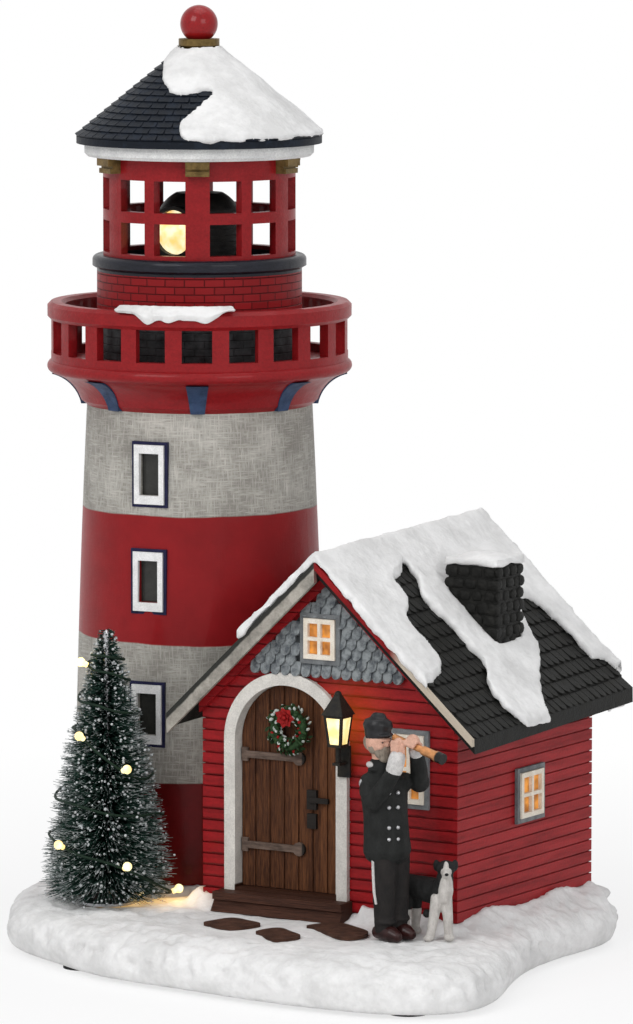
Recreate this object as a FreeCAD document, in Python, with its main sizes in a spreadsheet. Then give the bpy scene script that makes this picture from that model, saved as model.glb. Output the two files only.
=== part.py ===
import FreeCAD, Part
import Sketcher
import math
import operator
import os

from FreeCAD import Placement, Rotation, Vector

os.makedirs("parts", exist_ok=True)
doc = FreeCAD.newDocument("LighthouseOrnament")

UP = Vector(0, 0, 1)
ACROSS = Vector(1, 0, 0)
BACK = Vector(0, 1, 0)
ORIGIN = Vector(0, 0, 0)
FULL_TURN = 360

# Driving dimensions, in millimetres, degrees and counts
SIZES = {
    # Snow-covered base, open below
    "base_width": 203,
    "base_depth": 164,
    "foot_height": 1.2,
    "foot_radius": 6,
    "ground_height": 15.5,
    "bank_height": 2.5,
    "bank_spread": 7,
    "base_wall": 6.5,
    "base_roof": 4,
    "plate_thickness": 3,
    "plate_gap": 0.3,
    "boss_radius": 3.6,
    "screw_radius": 1.1,
    "screw_head_radius": 2.5,
    "screw_head_height": 1.3,
    "screw_length": 8,
    "screw_gap": 0.05,
    "cutter_overrun": 1,
    # Battery bay, switch and lamp board
    "bay_x": 24.6,
    "bay_y": 25,
    "bay_length": 56,
    "bay_width": 46,
    "bay_height": 15.4,
    "bay_wall": 1.5,
    "cell_radius": 7.1,
    "cell_length": 48.5,
    "cell_pitch": 15,
    "cell_lift": 0.4,
    "cell_tip_radius": 2.6,
    "cell_tip_length": 1,
    "contact_thickness": 0.5,
    "contact_width": 10,
    "contact_button_radius": 2.8,
    "door_thickness": 1.6,
    "door_gap": 0.15,
    "door_margin": 2,
    "door_travel": 12,
    "door_tongue": 1.2,
    "door_tongue_height": 0.7,
    "grip_width": 16,
    "grip_groove": 0.9,
    "grip_depth": 0.6,
    "grip_pitch": 2,
    "grip_count": 4,
    "switch_x": 24.6,
    "switch_y": -22,
    "switch_length": 12,
    "switch_width": 6,
    "switch_height": 5,
    "switch_wall": 1,
    "switch_recess_margin": 2,
    "switch_recess_depth": 1.4,
    "knob_width": 3,
    "knob_length": 4,
    "knob_travel": 3,
    "knob_drop": 1,
    "board_length": 34,
    "board_width": 24,
    "board_thickness": 1.6,
    "led_radius": 2.5,
    "led_height": 6,
    "chip_size": 6,
    "chip_height": 1.8,
    "lead_radius": 0.8,
    "lead_bend": 12,
    "lead_port_radius": 2.5,
    # Tower
    "tower_x": -53,
    "tower_y": 33.4,
    "tower_height": 147,
    "tower_foot_radius": 40,
    "tower_top_radius": 35.5,
    "tower_bow_radius": 3900,
    "tower_wall": 3.2,
    "tower_window_turn": 7.2,
    "tower_window_width": 6.7,
    "tower_window_height": 13.1,
    "tower_casing_width": 1.7,
    "tower_casing_rise": 2.7,
    "tower_casing_proud": 1.7,
    "tower_surround_width": 0.9,
    "tower_surround_proud": 1,
    "tower_pane_thickness": 1,
    "tower_pane_depth": 0.9,
    "low_window_height": 71.3,
    "mid_window_height": 112.7,
    "high_window_height": 146,
    "seat_gap": 0.05,
    # Gallery
    "view_turn": 31.1,
    "deck_height": 14,
    "deck_hole_radius": 24,
    "deck_cove_radius": 13,
    "deck_lip_height": 1.6,
    "deck_lip_radius": 37.4,
    "deck_flare_radius": 44.6,
    "deck_flare_height": 9.5,
    "deck_nose_round": 2,
    "rail_radius": 46.7,
    "rail_wall": 3.2,
    "rail_height": 18.4,
    "rail_cap_radius": 47.8,
    "rail_cap_height": 5.6,
    "rail_foot_height": 2.6,
    "rail_opening_width": 9.4,
    "rail_opening_count": 20,
    "bracket_count": 8,
    "bracket_width": 7,
    "bracket_foot_width": 4.4,
    "bracket_proud": 1.8,
    "bracket_hollow_radius": 12,
    "gallery_snow_turn": 45,
    "gallery_snow_start": 270,
    "gallery_snow_thickness": 1.9,
    "gallery_snow_drop": 3.2,
    # Lantern
    "plinth_radius": 32.2,
    "plinth_wall": 3,
    "plinth_height": 28,
    "plinth_ledge": 2.2,
    "sill_height": 5,
    "sill_radius": 33.6,
    "sill_neck_radius": 31.4,
    "sill_inner_radius": 27,
    "cage_radius": 30.2,
    "cage_wall": 3.5,
    "cage_height": 31,
    "cage_bay_count": 6,
    "pane_width": 10,
    "pane_height": 9.9,
    "pane_foot": 1.3,
    "mullion_width": 3.4,
    "transom_height": 3.4,
    "capital_width": 7.4,
    "capital_height": 4.6,
    "capital_proud": 4.2,
    "capital_step": 0.8,
    "soffit_height": 4,
    "soffit_radius": 36,
    "soffit_chamfer": 1,
    "roof_eave_radius": 38.5,
    "roof_rim_height": 2.2,
    "roof_neck_radius": 5.6,
    "roof_rise": 26.9,
    "roof_shell": 4,
    "tower_snow_thickness": 1.7,
    "tower_snow_eave_margin": 0.6,
    "collar_radius": 6.4,
    "collar_height": 3.4,
    "ball_radius": 5.9,
    "ball_sink": 1.3,
    # Turning beacon and its drive
    "beacon_deck_thickness": 2,
    "beacon_deck_gap": 0.3,
    "post_radius": 2,
    "post_height": 15,
    "post_flange_radius": 4,
    "post_flange_height": 0.8,
    "bearing_gap": 0.08,
    "thrust_gap": 0.15,
    "gear_module": 0.8,
    "wheel_teeth": 36,
    "pinion_teeth": 12,
    "gear_face": 3,
    "gear_backlash": 0.2,
    "turntable_radius": 12.4,
    "turntable_height": 1.6,
    "hood_radius": 12.4,
    "hood_wall": 1.6,
    "hood_height": 21,
    "hood_dome_rise": 5,
    "hood_top_radius": 7.4,
    "hood_rib_count": 6,
    "hood_rib_pitch": 2,
    "hood_rib_depth": 0.5,
    "barrel_radius": 8.2,
    "barrel_bore": 7,
    "barrel_reach": 15.6,
    "barrel_height": 9.3,
    "lens_thickness": 1.2,
    "lens_bulge": 2,
    "lens_curve_radius": 13,
    "motor_radius": 6,
    "motor_height": 13,
    "shaft_radius": 0.75,
    "shaft_hole_radius": 1.4,
    # House
    "house_x": -20.5,
    "house_y": -17,
    "house_width": 90.3,
    "house_depth": 84,
    "house_wall": 3,
    "roof_pitch": 42.9,
    "roof_lean": 2,
    "roof_apex_height": 121.3,
    "roof_half_span": 54,
    "roof_thickness": 3.4,
    "roof_front_overhang": 7,
    "roof_back_overhang": 8.5,
    "roof_course_count": 14,
    "roof_course_step": 0.5,
    "clapboard_pitch": 3.5,
    "clapboard_depth": 0.6,
    "clapboard_groove": 0.4,
    "clapboard_count": 20,
    "tower_joint_gap": 0.1,
    "door_center": 30.6,
    "door_width": 36,
    "door_foot_height": 21.5,
    "door_spring_height": 68.2,
    "door_trim_width": 3.9,
    "door_trim_proud": 1.6,
    "door_leaf_thickness": 2,
    "door_leaf_depth": 2.4,
    "door_leaf_gap": 0.2,
    "door_sill": 1,
    "plank_count": 7,
    "plank_groove": 0.7,
    "plank_groove_depth": 0.5,
    "strap_length": 22.5,
    "strap_width": 4.2,
    "strap_thickness": 1,
    "strap_inset": 0.4,
    "low_strap_height": 35.5,
    "high_strap_height": 63.5,
    "latch_x": 38.2,
    "latch_height": 51.2,
    "latch_plate_width": 3.4,
    "latch_plate_height": 6,
    "latch_lever_length": 7,
    "latch_lever_width": 1.6,
    "latch_proud": 1.4,
    "lock_height": 44.6,
    "lock_width": 3.2,
    "lock_plate_height": 4.6,
    "step_width": 46,
    "step_depth": 8,
    "step_slope": 2.2,
    "step_lip": 2.4,
    "wreath_radius": 6,
    "wreath_thickness": 2.1,
    "wreath_height": 72.6,
    "wreath_x": 31.4,
    "wreath_bow_radius": 2.3,
    "shingle_foot_height": 91,
    "shingle_half_width": 27.5,
    "shingle_thickness": 1.2,
    "shingle_row_height": 4,
    "shingle_row_count": 7,
    "window_surround_width": 1.4,
    "window_surround_proud": 1,
    "window_frame_width": 1.5,
    "window_frame_proud": 1.6,
    "window_bar_width": 1.1,
    "window_pane_thickness": 0.8,
    "window_fit_gap": 0.1,
    "window_seat": 0.1,
    "window_bar_depth": 1.2,
    "gable_window_x": 43.3,
    "gable_window_height": 101.4,
    "gable_window_width": 11,
    "gable_window_tall": 12.4,
    "front_window_x": 74,
    "front_window_height": 63.9,
    "front_window_width": 10.5,
    "front_window_tall": 21,
    "side_window_y": 43.5,
    "side_window_height": 51.9,
    "side_window_width": 14,
    "side_window_tall": 14,
    "board_left_width": 4.6,
    "board_right_width": 1.6,
    "board_thickness_front": 1.6,
    "rake_trim_width": 2.6,
    "rake_trim_proud": 2.2,
    "chimney_x": 50.8,
    "chimney_y": 32.5,
    "chimney_width": 17.5,
    "chimney_depth": 17,
    "chimney_top_height": 121,
    "chimney_flue_depth": 3,
    "chimney_corner": 2,
    "chimney_drop": 40,
    "chimney_wall": 4,
    "chimney_snow_overhang": 0.8,
    "roof_snow_thickness": 2.4,
    # Wall lamp beside the door
    "lamp_x": 51.9,
    "lamp_reach": 5.7,
    "lamp_foot_height": 69.6,
    "lamp_glass_height": 9.8,
    "lamp_foot_width": 4.6,
    "lamp_head_width": 6.6,
    "lamp_bar": 0.8,
    "lamp_plate": 0.8,
    "lamp_roof_height": 6.2,
    "lamp_roof_width": 7.6,
    "lamp_knob_radius": 1.1,
    "lamp_pane_gap": 0.1,
    "lamp_arm_width": 2.6,
    "lamp_arm_drop": 9.8,
    "lamp_backplate_width": 4.4,
    "lamp_bulb_radius": 1.1,
    # Standing figure, sitting dog and stepping stones
    "keeper_x": 60.2,
    "keeper_y": -36.4,
    "keeper_height": 67.6,
    "telescope_front_radius": 1.7,
    "dog_x": 74.6,
    "dog_y": -28.2,
    "dog_height": 24.6,
    "stone_spread": 84,
    "stone_thickness": 1,
    # Brush tree with its string of lamps
    "tree_x": -48.5,
    "tree_y": -28,
    "tree_height": 85,
    "tree_radius": 18.4,
    "tree_skirt_height": 5.5,
    "tree_tier_count": 9,
    "tree_tier_step": 1.1,
    "trunk_radius": 1.1,
    "trunk_gap": 0.1,
    "tree_stand_radius": 9,
    "tree_stand_height": 1.6,
    "light_wire_radius": 0.4,
    "light_wire_gap": 0.3,
    "light_wire_slack": 0.5,
    "tree_lamp_radius": 1.4,
    "tree_lamp_length": 3.6,
}

# Outline of the base, seen from above, as shares of its width and depth
OUTLINE_SHARES = (
    (-0.5, 0.165), (-0.436, -0.14), (-0.347, -0.293), (-0.249, -0.366), (-0.126, -0.439),
    (0.022, -0.47), (0.16, -0.494), (0.318, -0.5), (0.421, -0.476), (0.49, -0.402),
    (0.5, -0.323), (0.466, -0.171), (0.42, 0.012), (0.408, 0.195), (0.4, 0.378),
    (0.34, 0.475), (0.148, 0.494), (-0.08, 0.497), (-0.261, 0.5), (-0.4, 0.45), (-0.475, 0.33),
)
# Height of each ring of the base as a share of the ground height, with its inset as a share of the wall
RING_SHARES = ((0.0, 0.25), (0.3, 0.0), (0.6, 0.08), (0.84, 0.6), (1.0, 1.75))
FOOT_SHARES = ((-0.39, 0.1), (-0.2, -0.33), (0.4, -0.4), (0.33, 0.38), (-0.3, 0.4))
BOSS_SHARES = ((-0.42, 0.2), (-0.27, -0.24), (0.42, -0.3), (0.356, 0.3))
# Snow on the tower roof: turn from the view, share of the way from the neck to the eave
TOWER_SNOW_SHARES = (
    (-150, 0.072), (-100, 0.101), (-60, 0.221), (-32, 0.412), (-21, 0.496), (-6, 0.493), (12, 0.472),
    (5, 0.6), (-4, 0.725), (-9, 0.866), (-4, 1.009), (15, 1), (45, 1), (75, 1), (105, 1), (135, 0.985),
    (160, 0.728), (180, 0.37), (195, 0.131),
)
# Snow on the house roof and its bare patches, as shares of the house depth from the front of the ridge
ROOF_SNOW_SHARES = (
    (-0.3155, -0.106), (-0.1429, -0.106), (0, -0.106), (0.1667, -0.106), (0.3333, -0.106), (0.5, -0.106),
    (0.6571, -0.1024), (0.6667, 0.0476), (0.6667, 0.2381), (0.6667, 0.4286), (0.6667, 0.619),
    (0.6667, 0.8095), (0.6667, 1), (0.6571, 1.1226), (0.5, 1.1262), (0.3333, 1.1262), (0.1667, 1.1262),
    (0, 1.1262), (-0.1429, 1.1262), (-0.2381, 1.1214), (-0.2619, 0.9524), (-0.2024, 0.7857),
    (-0.25, 0.619), (-0.1905, 0.4524), (-0.2381, 0.2857), (-0.2202, 0.1429), (-0.2857, 0.0238),
)
BARE_SHARES = (
    (
        (0.0429, 0.3798), (0.1071, 0.35), (0.1464, 0.2155), (0.2048, 0.2083), (0.2476, 0.1286),
        (0.3202, 0.1024), (0.406, 0.1024), (0.4429, 0.0262), (0.4702, -0.1036), (0.5357, -0.1488),
        (0.6964, -0.131), (0.7202, 0.0952), (0.6845, 0.2964), (0.6012, 0.2452), (0.5071, 0.2667),
        (0.4536, 0.3393), (0.3762, 0.3429), (0.2774, 0.3393), (0.2, 0.3214), (0.1131, 0.3929),
    ),
    (
        (0.3036, 0.8833), (0.3095, 0.9643), (0.375, 0.9857), (0.4667, 1.006), (0.5238, 1.0167),
        (0.5512, 1.0845), (0.6512, 1.0881), (0.6631, 1.019), (0.6607, 0.7143), (0.6548, 0.4536),
        (0.5726, 0.5512), (0.5036, 0.6655), (0.4286, 0.7524), (0.3488, 0.8143),
    ),
)
# Outlines of the stepping stones from the front left corner of the house, as shares of their spread
STONE_SHARES = (
    (
        (0.231, -0.3607), (0.2971, -0.389), (0.3702, -0.394), (0.4053, -0.3377), (0.4143, -0.2738),
        (0.3428, -0.2366), (0.2643, -0.2226), (0.2346, -0.2879),
    ),
    (
        (0.4857, -0.4167), (0.5584, -0.4734), (0.6357, -0.5107), (0.6623, -0.4657), (0.6619, -0.4036),
        (0.5893, -0.3463), (0.5119, -0.3083), (0.4853, -0.354),
    ),
    (
        (0.5798, -0.2214), (0.7042, -0.2943), (0.8345, -0.3452), (0.851, -0.288), (0.8286, -0.2107),
        (0.7422, -0.1503), (0.65, -0.1119), (0.5954, -0.1566),
    ),
)
# Stages of each limb of the figure: right, away, up and radii, as shares of its height
KEEPER_LIMB_SHARES = (
    (
        (0.0044, 0.0311, 0.0296, 0.0385), (0.0044, 0.0311, 0.1331, 0.0473),
        (0.003, 0.0311, 0.2663, 0.0533), (0, 0.0266, 0.4142, 0.0592),
    ),
    (
        (-0.0577, -0.0311, 0.0296, 0.0385), (-0.0577, -0.0311, 0.1331, 0.0473),
        (-0.0562, -0.0311, 0.2663, 0.0533), (-0.0533, -0.0266, 0.4142, 0.0592),
    ),
    (
        (-0.0237, 0.0592, 0.0325, 0.0311), (0.0044, 0.0311, 0.0399, 0.0399),
        (0.0399, -0.0044, 0.0311, 0.037), (0.0651, -0.0296, 0.0237, 0.0237),
    ),
    (
        (-0.0858, -0.003, 0.0325, 0.0311), (-0.0577, -0.0311, 0.0399, 0.0399),
        (-0.0222, -0.0666, 0.0311, 0.037), (0.003, -0.0917, 0.0237, 0.0237),
    ),
    (
        (-0.0444, 0, 0.3964, 0.108, 0.0947), (-0.0473, 0, 0.4586, 0.1021, 0.0888),
        (-0.0518, 0, 0.5621, 0.0991, 0.0858), (-0.0577, 0, 0.6509, 0.105, 0.0828),
        (-0.0621, 0, 0.7175, 0.0976, 0.0725), (-0.0621, -0.003, 0.7618, 0.0592, 0.0533),
        (-0.0725, -0.0074, 0.8432, 0.0414, 0.0414),
    ),
    (
        (-0.0621, -0.0044, 0.7426, 0.0666, 0.0607), (-0.0666, -0.0074, 0.784, 0.0621, 0.0577),
    ),
    (
        (-0.0074, 0.0222, 0.7041, 0.0444), (0.0503, 0.0355, 0.6953, 0.0444),
        (0.0962, 0.0296, 0.6967, 0.0429),
    ),
    (
        (0.0976, 0.0281, 0.6982, 0.0414), (0.0947, -0.0148, 0.7633, 0.0385),
        (0.0858, -0.0562, 0.8284, 0.0325), (0.0769, -0.0858, 0.8728, 0.0281),
    ),
    (
        (-0.1213, -0.0059, 0.7115, 0.0444), (-0.1257, -0.0355, 0.6657, 0.0444),
        (-0.1065, -0.074, 0.6287, 0.0414),
    ),
    (
        (-0.108, -0.077, 0.6257, 0.0414), (-0.0562, -0.108, 0.6997, 0.0385),
        (-0.0118, -0.1198, 0.7751, 0.0325), (-0.003, -0.1154, 0.8432, 0.0281),
    ),
    (
        (-0.0873, -0.0133, 0.9157, 0.0562), (-0.0873, -0.0118, 0.9393, 0.0577),
        (-0.0858, -0.0104, 0.9586, 0.068), (-0.0843, -0.0074, 0.9808, 0.0592),
        (-0.0828, -0.0059, 0.9985, 0.0325),
    ),
)
# Rounded masses of the figure: place and half sizes as shares of its height, with a turn
KEEPER_LUMP_SHARES = (
    ((-0.0858, -0.0148, 0.8861, 0.0547, 0.0562, 0.0621), 0),
    ((-0.0459, -0.0547, 0.8802, 0.0118, 0.0118, 0.0148), 0),
    ((-0.0636, -0.0385, 0.8432, 0.04, 0.04, 0.034), 0),
    ((-0.0562, -0.0459, 0.9216, 0.0444, 0.034, 0.0104), -45),
    ((-0.0044, 0.0192, 0.6997, 0.0488, 0.0488, 0.0488), 0),
    ((-0.1198, -0.0089, 0.6982, 0.0488, 0.0488, 0.0488), 0),
    ((0.0976, 0.0281, 0.6982, 0.0459, 0.0459, 0.0459), 0),
    ((-0.1065, -0.0754, 0.6272, 0.0444, 0.0444, 0.0444), 0),
    ((0.0666, -0.1021, 0.9009, 0.0385, 0.034, 0.037), 0),
    ((0.0044, -0.1021, 0.8757, 0.0355, 0.0281, 0.0518), 0),
)
TELESCOPE_SHARES = (
    (-0.0148, -0.0518, 0.9112), (0.1967, -0.2604, 0.8447),
)
TELESCOPE_TUBE_SHARES = (
    (0.0, 0.62, 0.62), (0.6, 0.88, 0.84), (0.86, 1.0, 1.0),
)
# The same for the dog, as shares of its height
DOG_LIMB_SHARES = (
    (
        (-0.5285, 0.4065, 0.6098, 0.122, 0.1341), (-0.4268, 0.3171, 0.5894, 0.1341, 0.1504),
        (-0.2846, 0.2033, 0.5772, 0.1423, 0.1626), (-0.1504, 0.061, 0.5691, 0.1382, 0.1707),
        (-0.0976, 0, 0.5772, 0.1016, 0.1301),
    ),
    (
        (-0.1301, 0.0203, 0.5894, 0.1301), (-0.0976, -0.0203, 0.7317, 0.1098),
        (-0.0854, -0.0407, 0.8333, 0.0935),
    ),
    (
        (-0.1911, -0.0203, 0.5691, 0.0813), (-0.2276, -0.061, 0.2846, 0.061),
        (-0.2724, -0.0976, 0.0407, 0.0528),
    ),
    (
        (-0.0813, -0.0203, 0.5691, 0.0813), (-0.0569, -0.0569, 0.2846, 0.061),
        (-0.0467, -0.061, 0.0407, 0.0528),
    ),
    (
        (-0.4472, 0.439, 0.5488, 0.1016), (-0.4268, 0.4146, 0.2846, 0.061),
        (-0.4472, 0.439, 0.0407, 0.0528),
    ),
    (
        (-0.5691, 0.3455, 0.5488, 0.1016), (-0.5488, 0.3211, 0.2846, 0.061),
        (-0.5691, 0.3455, 0.0407, 0.0528),
    ),
    (
        (-0.5285, 0.4065, 0.6504, 0.0569), (-0.6301, 0.4959, 0.5894, 0.0447),
        (-0.6707, 0.5488, 0.4472, 0.0366),
    ),
    (
        (-0.0813, -0.0813, 0.8618, 0.0813), (-0.0793, -0.1423, 0.8374, 0.061),
        (-0.0772, -0.1911, 0.8252, 0.0488),
    ),
)
DOG_LUMP_SHARES = (
    ((-0.0833, -0.0447, 0.8821, 0.1138, 0.1016, 0.1016), 0),
    ((-0.2927, -0.1179, 0.0325, 0.0691, 0.0732, 0.0407), 0),
    ((-0.0427, -0.0894, 0.0325, 0.0691, 0.0732, 0.0407), 0),
    ((-0.4309, 0.4146, 0.0325, 0.0691, 0.0732, 0.0407), 0),
    ((-0.5528, 0.3211, 0.0325, 0.0691, 0.0732, 0.0407), 0),
    ((-0.1992, -0.0203, 0.9228, 0.0407, 0.0325, 0.0691), 0),
    ((0.0285, -0.0203, 0.9228, 0.0407, 0.0325, 0.0691), 0),
)
# Brush outline: height and radius shares; the light wire: turns from the view and shares
TREE_SHARES = (
    (0.065, 1.0), (0.112, 1.03), (0.32, 0.88), (0.518, 0.685), (0.812, 0.337), (1.0, 0.087),
)
WIRE_TAIL_SHARES = (
    (101, 0.6, 0.019), (94, 0.82, 0.031), (80, 1.08, 0.043),
)
WIRE_WIND_SHARES = (
    (60, 0.075), (17, 0.159), (-43, 0.226), (-699, 0.505), (-754, 0.614), (-1505, 0.871), (-1865, 0.91),
)
# Lamps: turn from the view, reach share of the brush radius, height share and how far the lamp tips up
LAMP_SHARES = (
    (-65, 0.21, 0.91, 0.5), (-65, 0.27, 0.871, 0.5), (-34, 0.64, 0.614, 0.5), (21, 0.76, 0.505, 0.5),
    (-43, 1.0, 0.226, 0.5), (17, 1.05, 0.159, 0.5), (80, 1.08, 0.043, 0.5), (101, 0.6, 0.019, 2.0),
)
# Bulb outline: share of the lamp length and of its radius
BULB_SHARES = (
    (0.3, 0.55), (0.5, 0.95), (0.7, 1.0), (0.9, 0.7), (1.0, 0.3),
)
HOLDER_SHARE = 0.6
WIRE_FOOT_TURN = 105
WIRE_STEP = 110
PRESSURE_ANGLE = math.radians(20)
ADDENDUM_SHARE = 0.8
DEDENDUM_SHARE = 1.05
FLANK_STEPS = 5
RING_STEPS = 8
HALF_STEP = 0.5


class Length:
    """A value that also knows the sheet formula it comes from."""

    def __init__(self, value, formula):
        self.value = value
        self.formula = formula

    def __float__(self):
        return float(self.value)

    def __add__(self, other):
        return worked_out(self, "+", other)

    def __radd__(self, other):
        return worked_out(other, "+", self)

    def __sub__(self, other):
        return worked_out(self, "-", other)

    def __rsub__(self, other):
        return worked_out(other, "-", self)

    def __mul__(self, other):
        return worked_out(self, "*", other)

    def __rmul__(self, other):
        return worked_out(other, "*", self)

    def __truediv__(self, other):
        return worked_out(self, "/", other)

    def __rtruediv__(self, other):
        return worked_out(other, "/", self)

    def __neg__(self):
        return worked_out(0, "-", self)


SIGNS = {"+": operator.add, "-": operator.sub, "*": operator.mul, "/": operator.truediv}


def as_length(value):
    return value if isinstance(value, Length) else Length(value, repr(value))


def worked_out(left, sign, right):
    left = as_length(left)
    right = as_length(right)
    return Length(SIGNS[sign](left.value, right.value), f"({left.formula} {sign} {right.formula})")


def sine(angle):
    return Length(math.sin(math.radians(float(angle))), f"sin({as_length(angle).formula})")


def cosine(angle):
    return Length(math.cos(math.radians(float(angle))), f"cos({as_length(angle).formula})")


def tangent(angle):
    return Length(math.tan(math.radians(float(angle))), f"tan({as_length(angle).formula})")


class Sizes:
    """The named sizes of the sheet, each as a Length."""


def fill_sheet():
    sheet = doc.addObject("Spreadsheet::Sheet", "Sizes")
    for row, (alias, value) in enumerate(SIZES.items(), 1):
        sheet.set(f"A{row}", alias)
        sheet.set(f"B{row}", str(value))
        sheet.setAlias(f"B{row}", alias)
        setattr(Sizes, alias, Length(value, f"Sizes.{alias}"))
    doc.recompute()


fill_sheet()
s = Sizes

# Levels and centres that several pieces share
plate_bottom = s.foot_height
plate_top = s.foot_height + s.plate_thickness
bank_top = s.ground_height + s.bank_height
tower_top = bank_top + s.tower_height
floor_level = tower_top + s.deck_height
plinth_top = floor_level + s.plinth_height
cage_foot = plinth_top + s.sill_height
cage_top = cage_foot + s.cage_height
eave_level = cage_top + s.soffit_height
roof_neck_level = eave_level + s.roof_rim_height + s.roof_rise
collar_top = roof_neck_level + s.collar_height
ledge_level = plinth_top - s.beacon_deck_thickness - s.plinth_ledge
wheel_level = ledge_level + s.beacon_deck_thickness + s.post_flange_height + s.thrust_gap
turntable_level = wheel_level + s.gear_face
hood_level = turntable_level + s.turntable_height
wheel_pitch_radius = s.gear_module * s.wheel_teeth / 2
pinion_pitch_radius = s.gear_module * s.pinion_teeth / 2
gear_centers = wheel_pitch_radius + pinion_pitch_radius
house_middle = s.house_x + s.house_width / 2
house_back = s.house_y + s.house_depth
house_right = s.house_x + s.house_width
door_middle = s.house_x + s.door_center
box_top = plate_top + s.bay_height + s.bay_wall
bracket_top = tower_top + s.deck_flare_height
NODES = []


def vector(x, y, z):
    return Vector(float(x), float(y), float(z))


def polar(radius, degrees, height):
    angle = math.radians(float(degrees))
    return vector(float(radius) * math.cos(angle), float(radius) * math.sin(angle), height)


def settle(obj, place=None, turn=None):
    """Bind an object's place and its turn about the vertical to the sheet."""
    for axis, size in zip("xyz", place or ()):
        if isinstance(size, Length):
            obj.setExpression(f"Placement.Base.{axis}", size.formula)
    if turn is not None:
        if obj.Placement.Rotation.Angle == 0:
            obj.Placement = Placement(ORIGIN, Rotation(UP, float(turn)))
        obj.setExpression("Placement.Rotation.Angle", as_length(turn).formula)
    return obj


def bind(obj, **sizes):
    for name, size in sizes.items():
        setattr(obj, name, float(size))
        if isinstance(size, Length):
            obj.setExpression(name, size.formula)
    return obj


def node(obj):
    """Note an object as a piece of the finished part."""
    NODES.append(obj)
    return obj


# Sketches


def body_named(label):
    body = doc.addObject("PartDesign::Body", label)
    body.Label = label
    return body


def sketch_in(body, role, level=None):
    plane = next(item for item in body.Origin.OriginFeatures if item.Role == role)
    sketch = body.newObject("Sketcher::SketchObject", f"{body.Label}_sketch")
    sketch.AttachmentSupport = [(plane, "")]
    sketch.MapMode = "FlatFace"
    if level is not None:
        sketch.AttachmentOffset = Placement(Vector(0, 0, float(level)), Rotation())
        sketch.setExpression("AttachmentOffset.Base.z", as_length(level).formula)
    return sketch


def arc_between(start, end, radius, side):
    """A short arc; side 1 bulges to the right of the way from start to end, -1 to the left."""
    chord = end - start
    middle = (start + end) / 2
    left = Vector(-chord.y, chord.x, 0)
    left.normalize()
    reach = math.sqrt(max(radius ** 2 - (chord.Length / 2) ** 2, 0))
    center = middle + left * (side * reach)
    first, last = (start, end) if side > 0 else (end, start)
    low = math.atan2(first.y - center.y, first.x - center.x)
    high = math.atan2(last.y - center.y, last.x - center.x)
    if high < low:
        high += math.radians(FULL_TURN)
    return Part.ArcOfCircle(Part.Circle(center, UP, radius), low, high)


def draw(sketch, corners):
    """Draw a closed loop. A corner is (x, y), or (x, y, radius, side) where an arc leaves it."""
    points = [vector(corner[0], corner[1], 0) for corner in corners]
    first = sketch.GeometryCount
    ends = []
    for index, corner in enumerate(corners):
        start = points[index]
        end = points[(index + 1) % len(corners)]
        if len(corner) == 2:
            sketch.addGeometry(Part.LineSegment(start, end), False)
            ends.append((1, 2))
            continue
        sketch.addGeometry(arc_between(start, end, float(corner[2]), corner[3]), False)
        ends.append((1, 2) if corner[3] > 0 else (2, 1))
    for index, corner in enumerate(corners):
        following = (index + 1) % len(corners)
        meet = ("Coincident", first + index, ends[index][1], first + following, ends[following][0])
        sketch.addConstraint(Sketcher.Constraint(*meet))
        for kind, size in (("DistanceX", corner[0]), ("DistanceY", corner[1])):
            limit = Sketcher.Constraint(kind, -1, 1, first + index, ends[index][0], float(size))
            number = sketch.addConstraint(limit)
            sketch.setExpression(f"Constraints[{number}]", as_length(size).formula)
        if len(corner) > 2:
            number = sketch.addConstraint(Sketcher.Constraint("Radius", first + index, float(corner[2])))
            sketch.setExpression(f"Constraints[{number}]", as_length(corner[2]).formula)


def rectangle(left, low, wide, tall):
    return [(left, low), (left + wide, low), (left + wide, low + tall), (left, low + tall)]


# Part Design features


def revolve(body, corners):
    sketch = sketch_in(body, "XZ_Plane")
    draw(sketch, corners)
    feature = body.newObject("PartDesign::Revolution", f"{body.Label}_turned")
    feature.Profile = (sketch, [""])
    feature.ReferenceAxis = (sketch, ["V_Axis"])
    feature.Angle = FULL_TURN
    return feature


def pad(body, role, loops, length, level=None, backwards=False, both=False):
    sketch = sketch_in(body, role, level)
    for corners in loops:
        draw(sketch, corners)
    feature = body.newObject("PartDesign::Pad", f"{body.Label}_pad")
    feature.Profile = sketch
    feature.Reversed = backwards
    if both:
        feature.SideType = "Symmetric"
    return bind(feature, Length=length)


def pocket(body, role, loops, length, level=None, backwards=False, both=False):
    sketch = sketch_in(body, role, level)
    for corners in loops:
        draw(sketch, corners)
    feature = body.newObject("PartDesign::Pocket", f"{body.Label}_pocket")
    feature.Profile = sketch
    feature.Reversed = backwards
    if both:
        feature.SideType = "Symmetric"
    return bind(feature, Length=length)


def ring_pattern(body, feature, count):
    pattern = body.newObject("PartDesign::PolarPattern", f"{body.Label}_ring")
    pattern.Originals = [feature]
    axis = next(item for item in body.Origin.OriginFeatures if item.Role == "Z_Axis")
    pattern.Axis = (axis, [""])
    pattern.Angle = FULL_TURN
    pattern.Occurrences = int(count.value)
    pattern.setExpression("Occurrences", count.formula)
    body.Tip = pattern
    return pattern


def row_pattern(body, feature, role, length, count):
    pattern = body.newObject("PartDesign::LinearPattern", f"{body.Label}_row")
    pattern.Originals = [feature]
    axis = next(item for item in body.Origin.OriginFeatures if item.Role == role)
    pattern.Direction = (axis, [""])
    bind(pattern, Length=length)
    pattern.Occurrences = int(count.value)
    pattern.setExpression("Occurrences", count.formula)
    body.Tip = pattern
    return pattern


def turned(label, corners, place=None, turn=None):
    body = body_named(label)
    revolve(body, corners)
    return settle(body, place, turn)


# Part primitives and booleans


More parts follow.
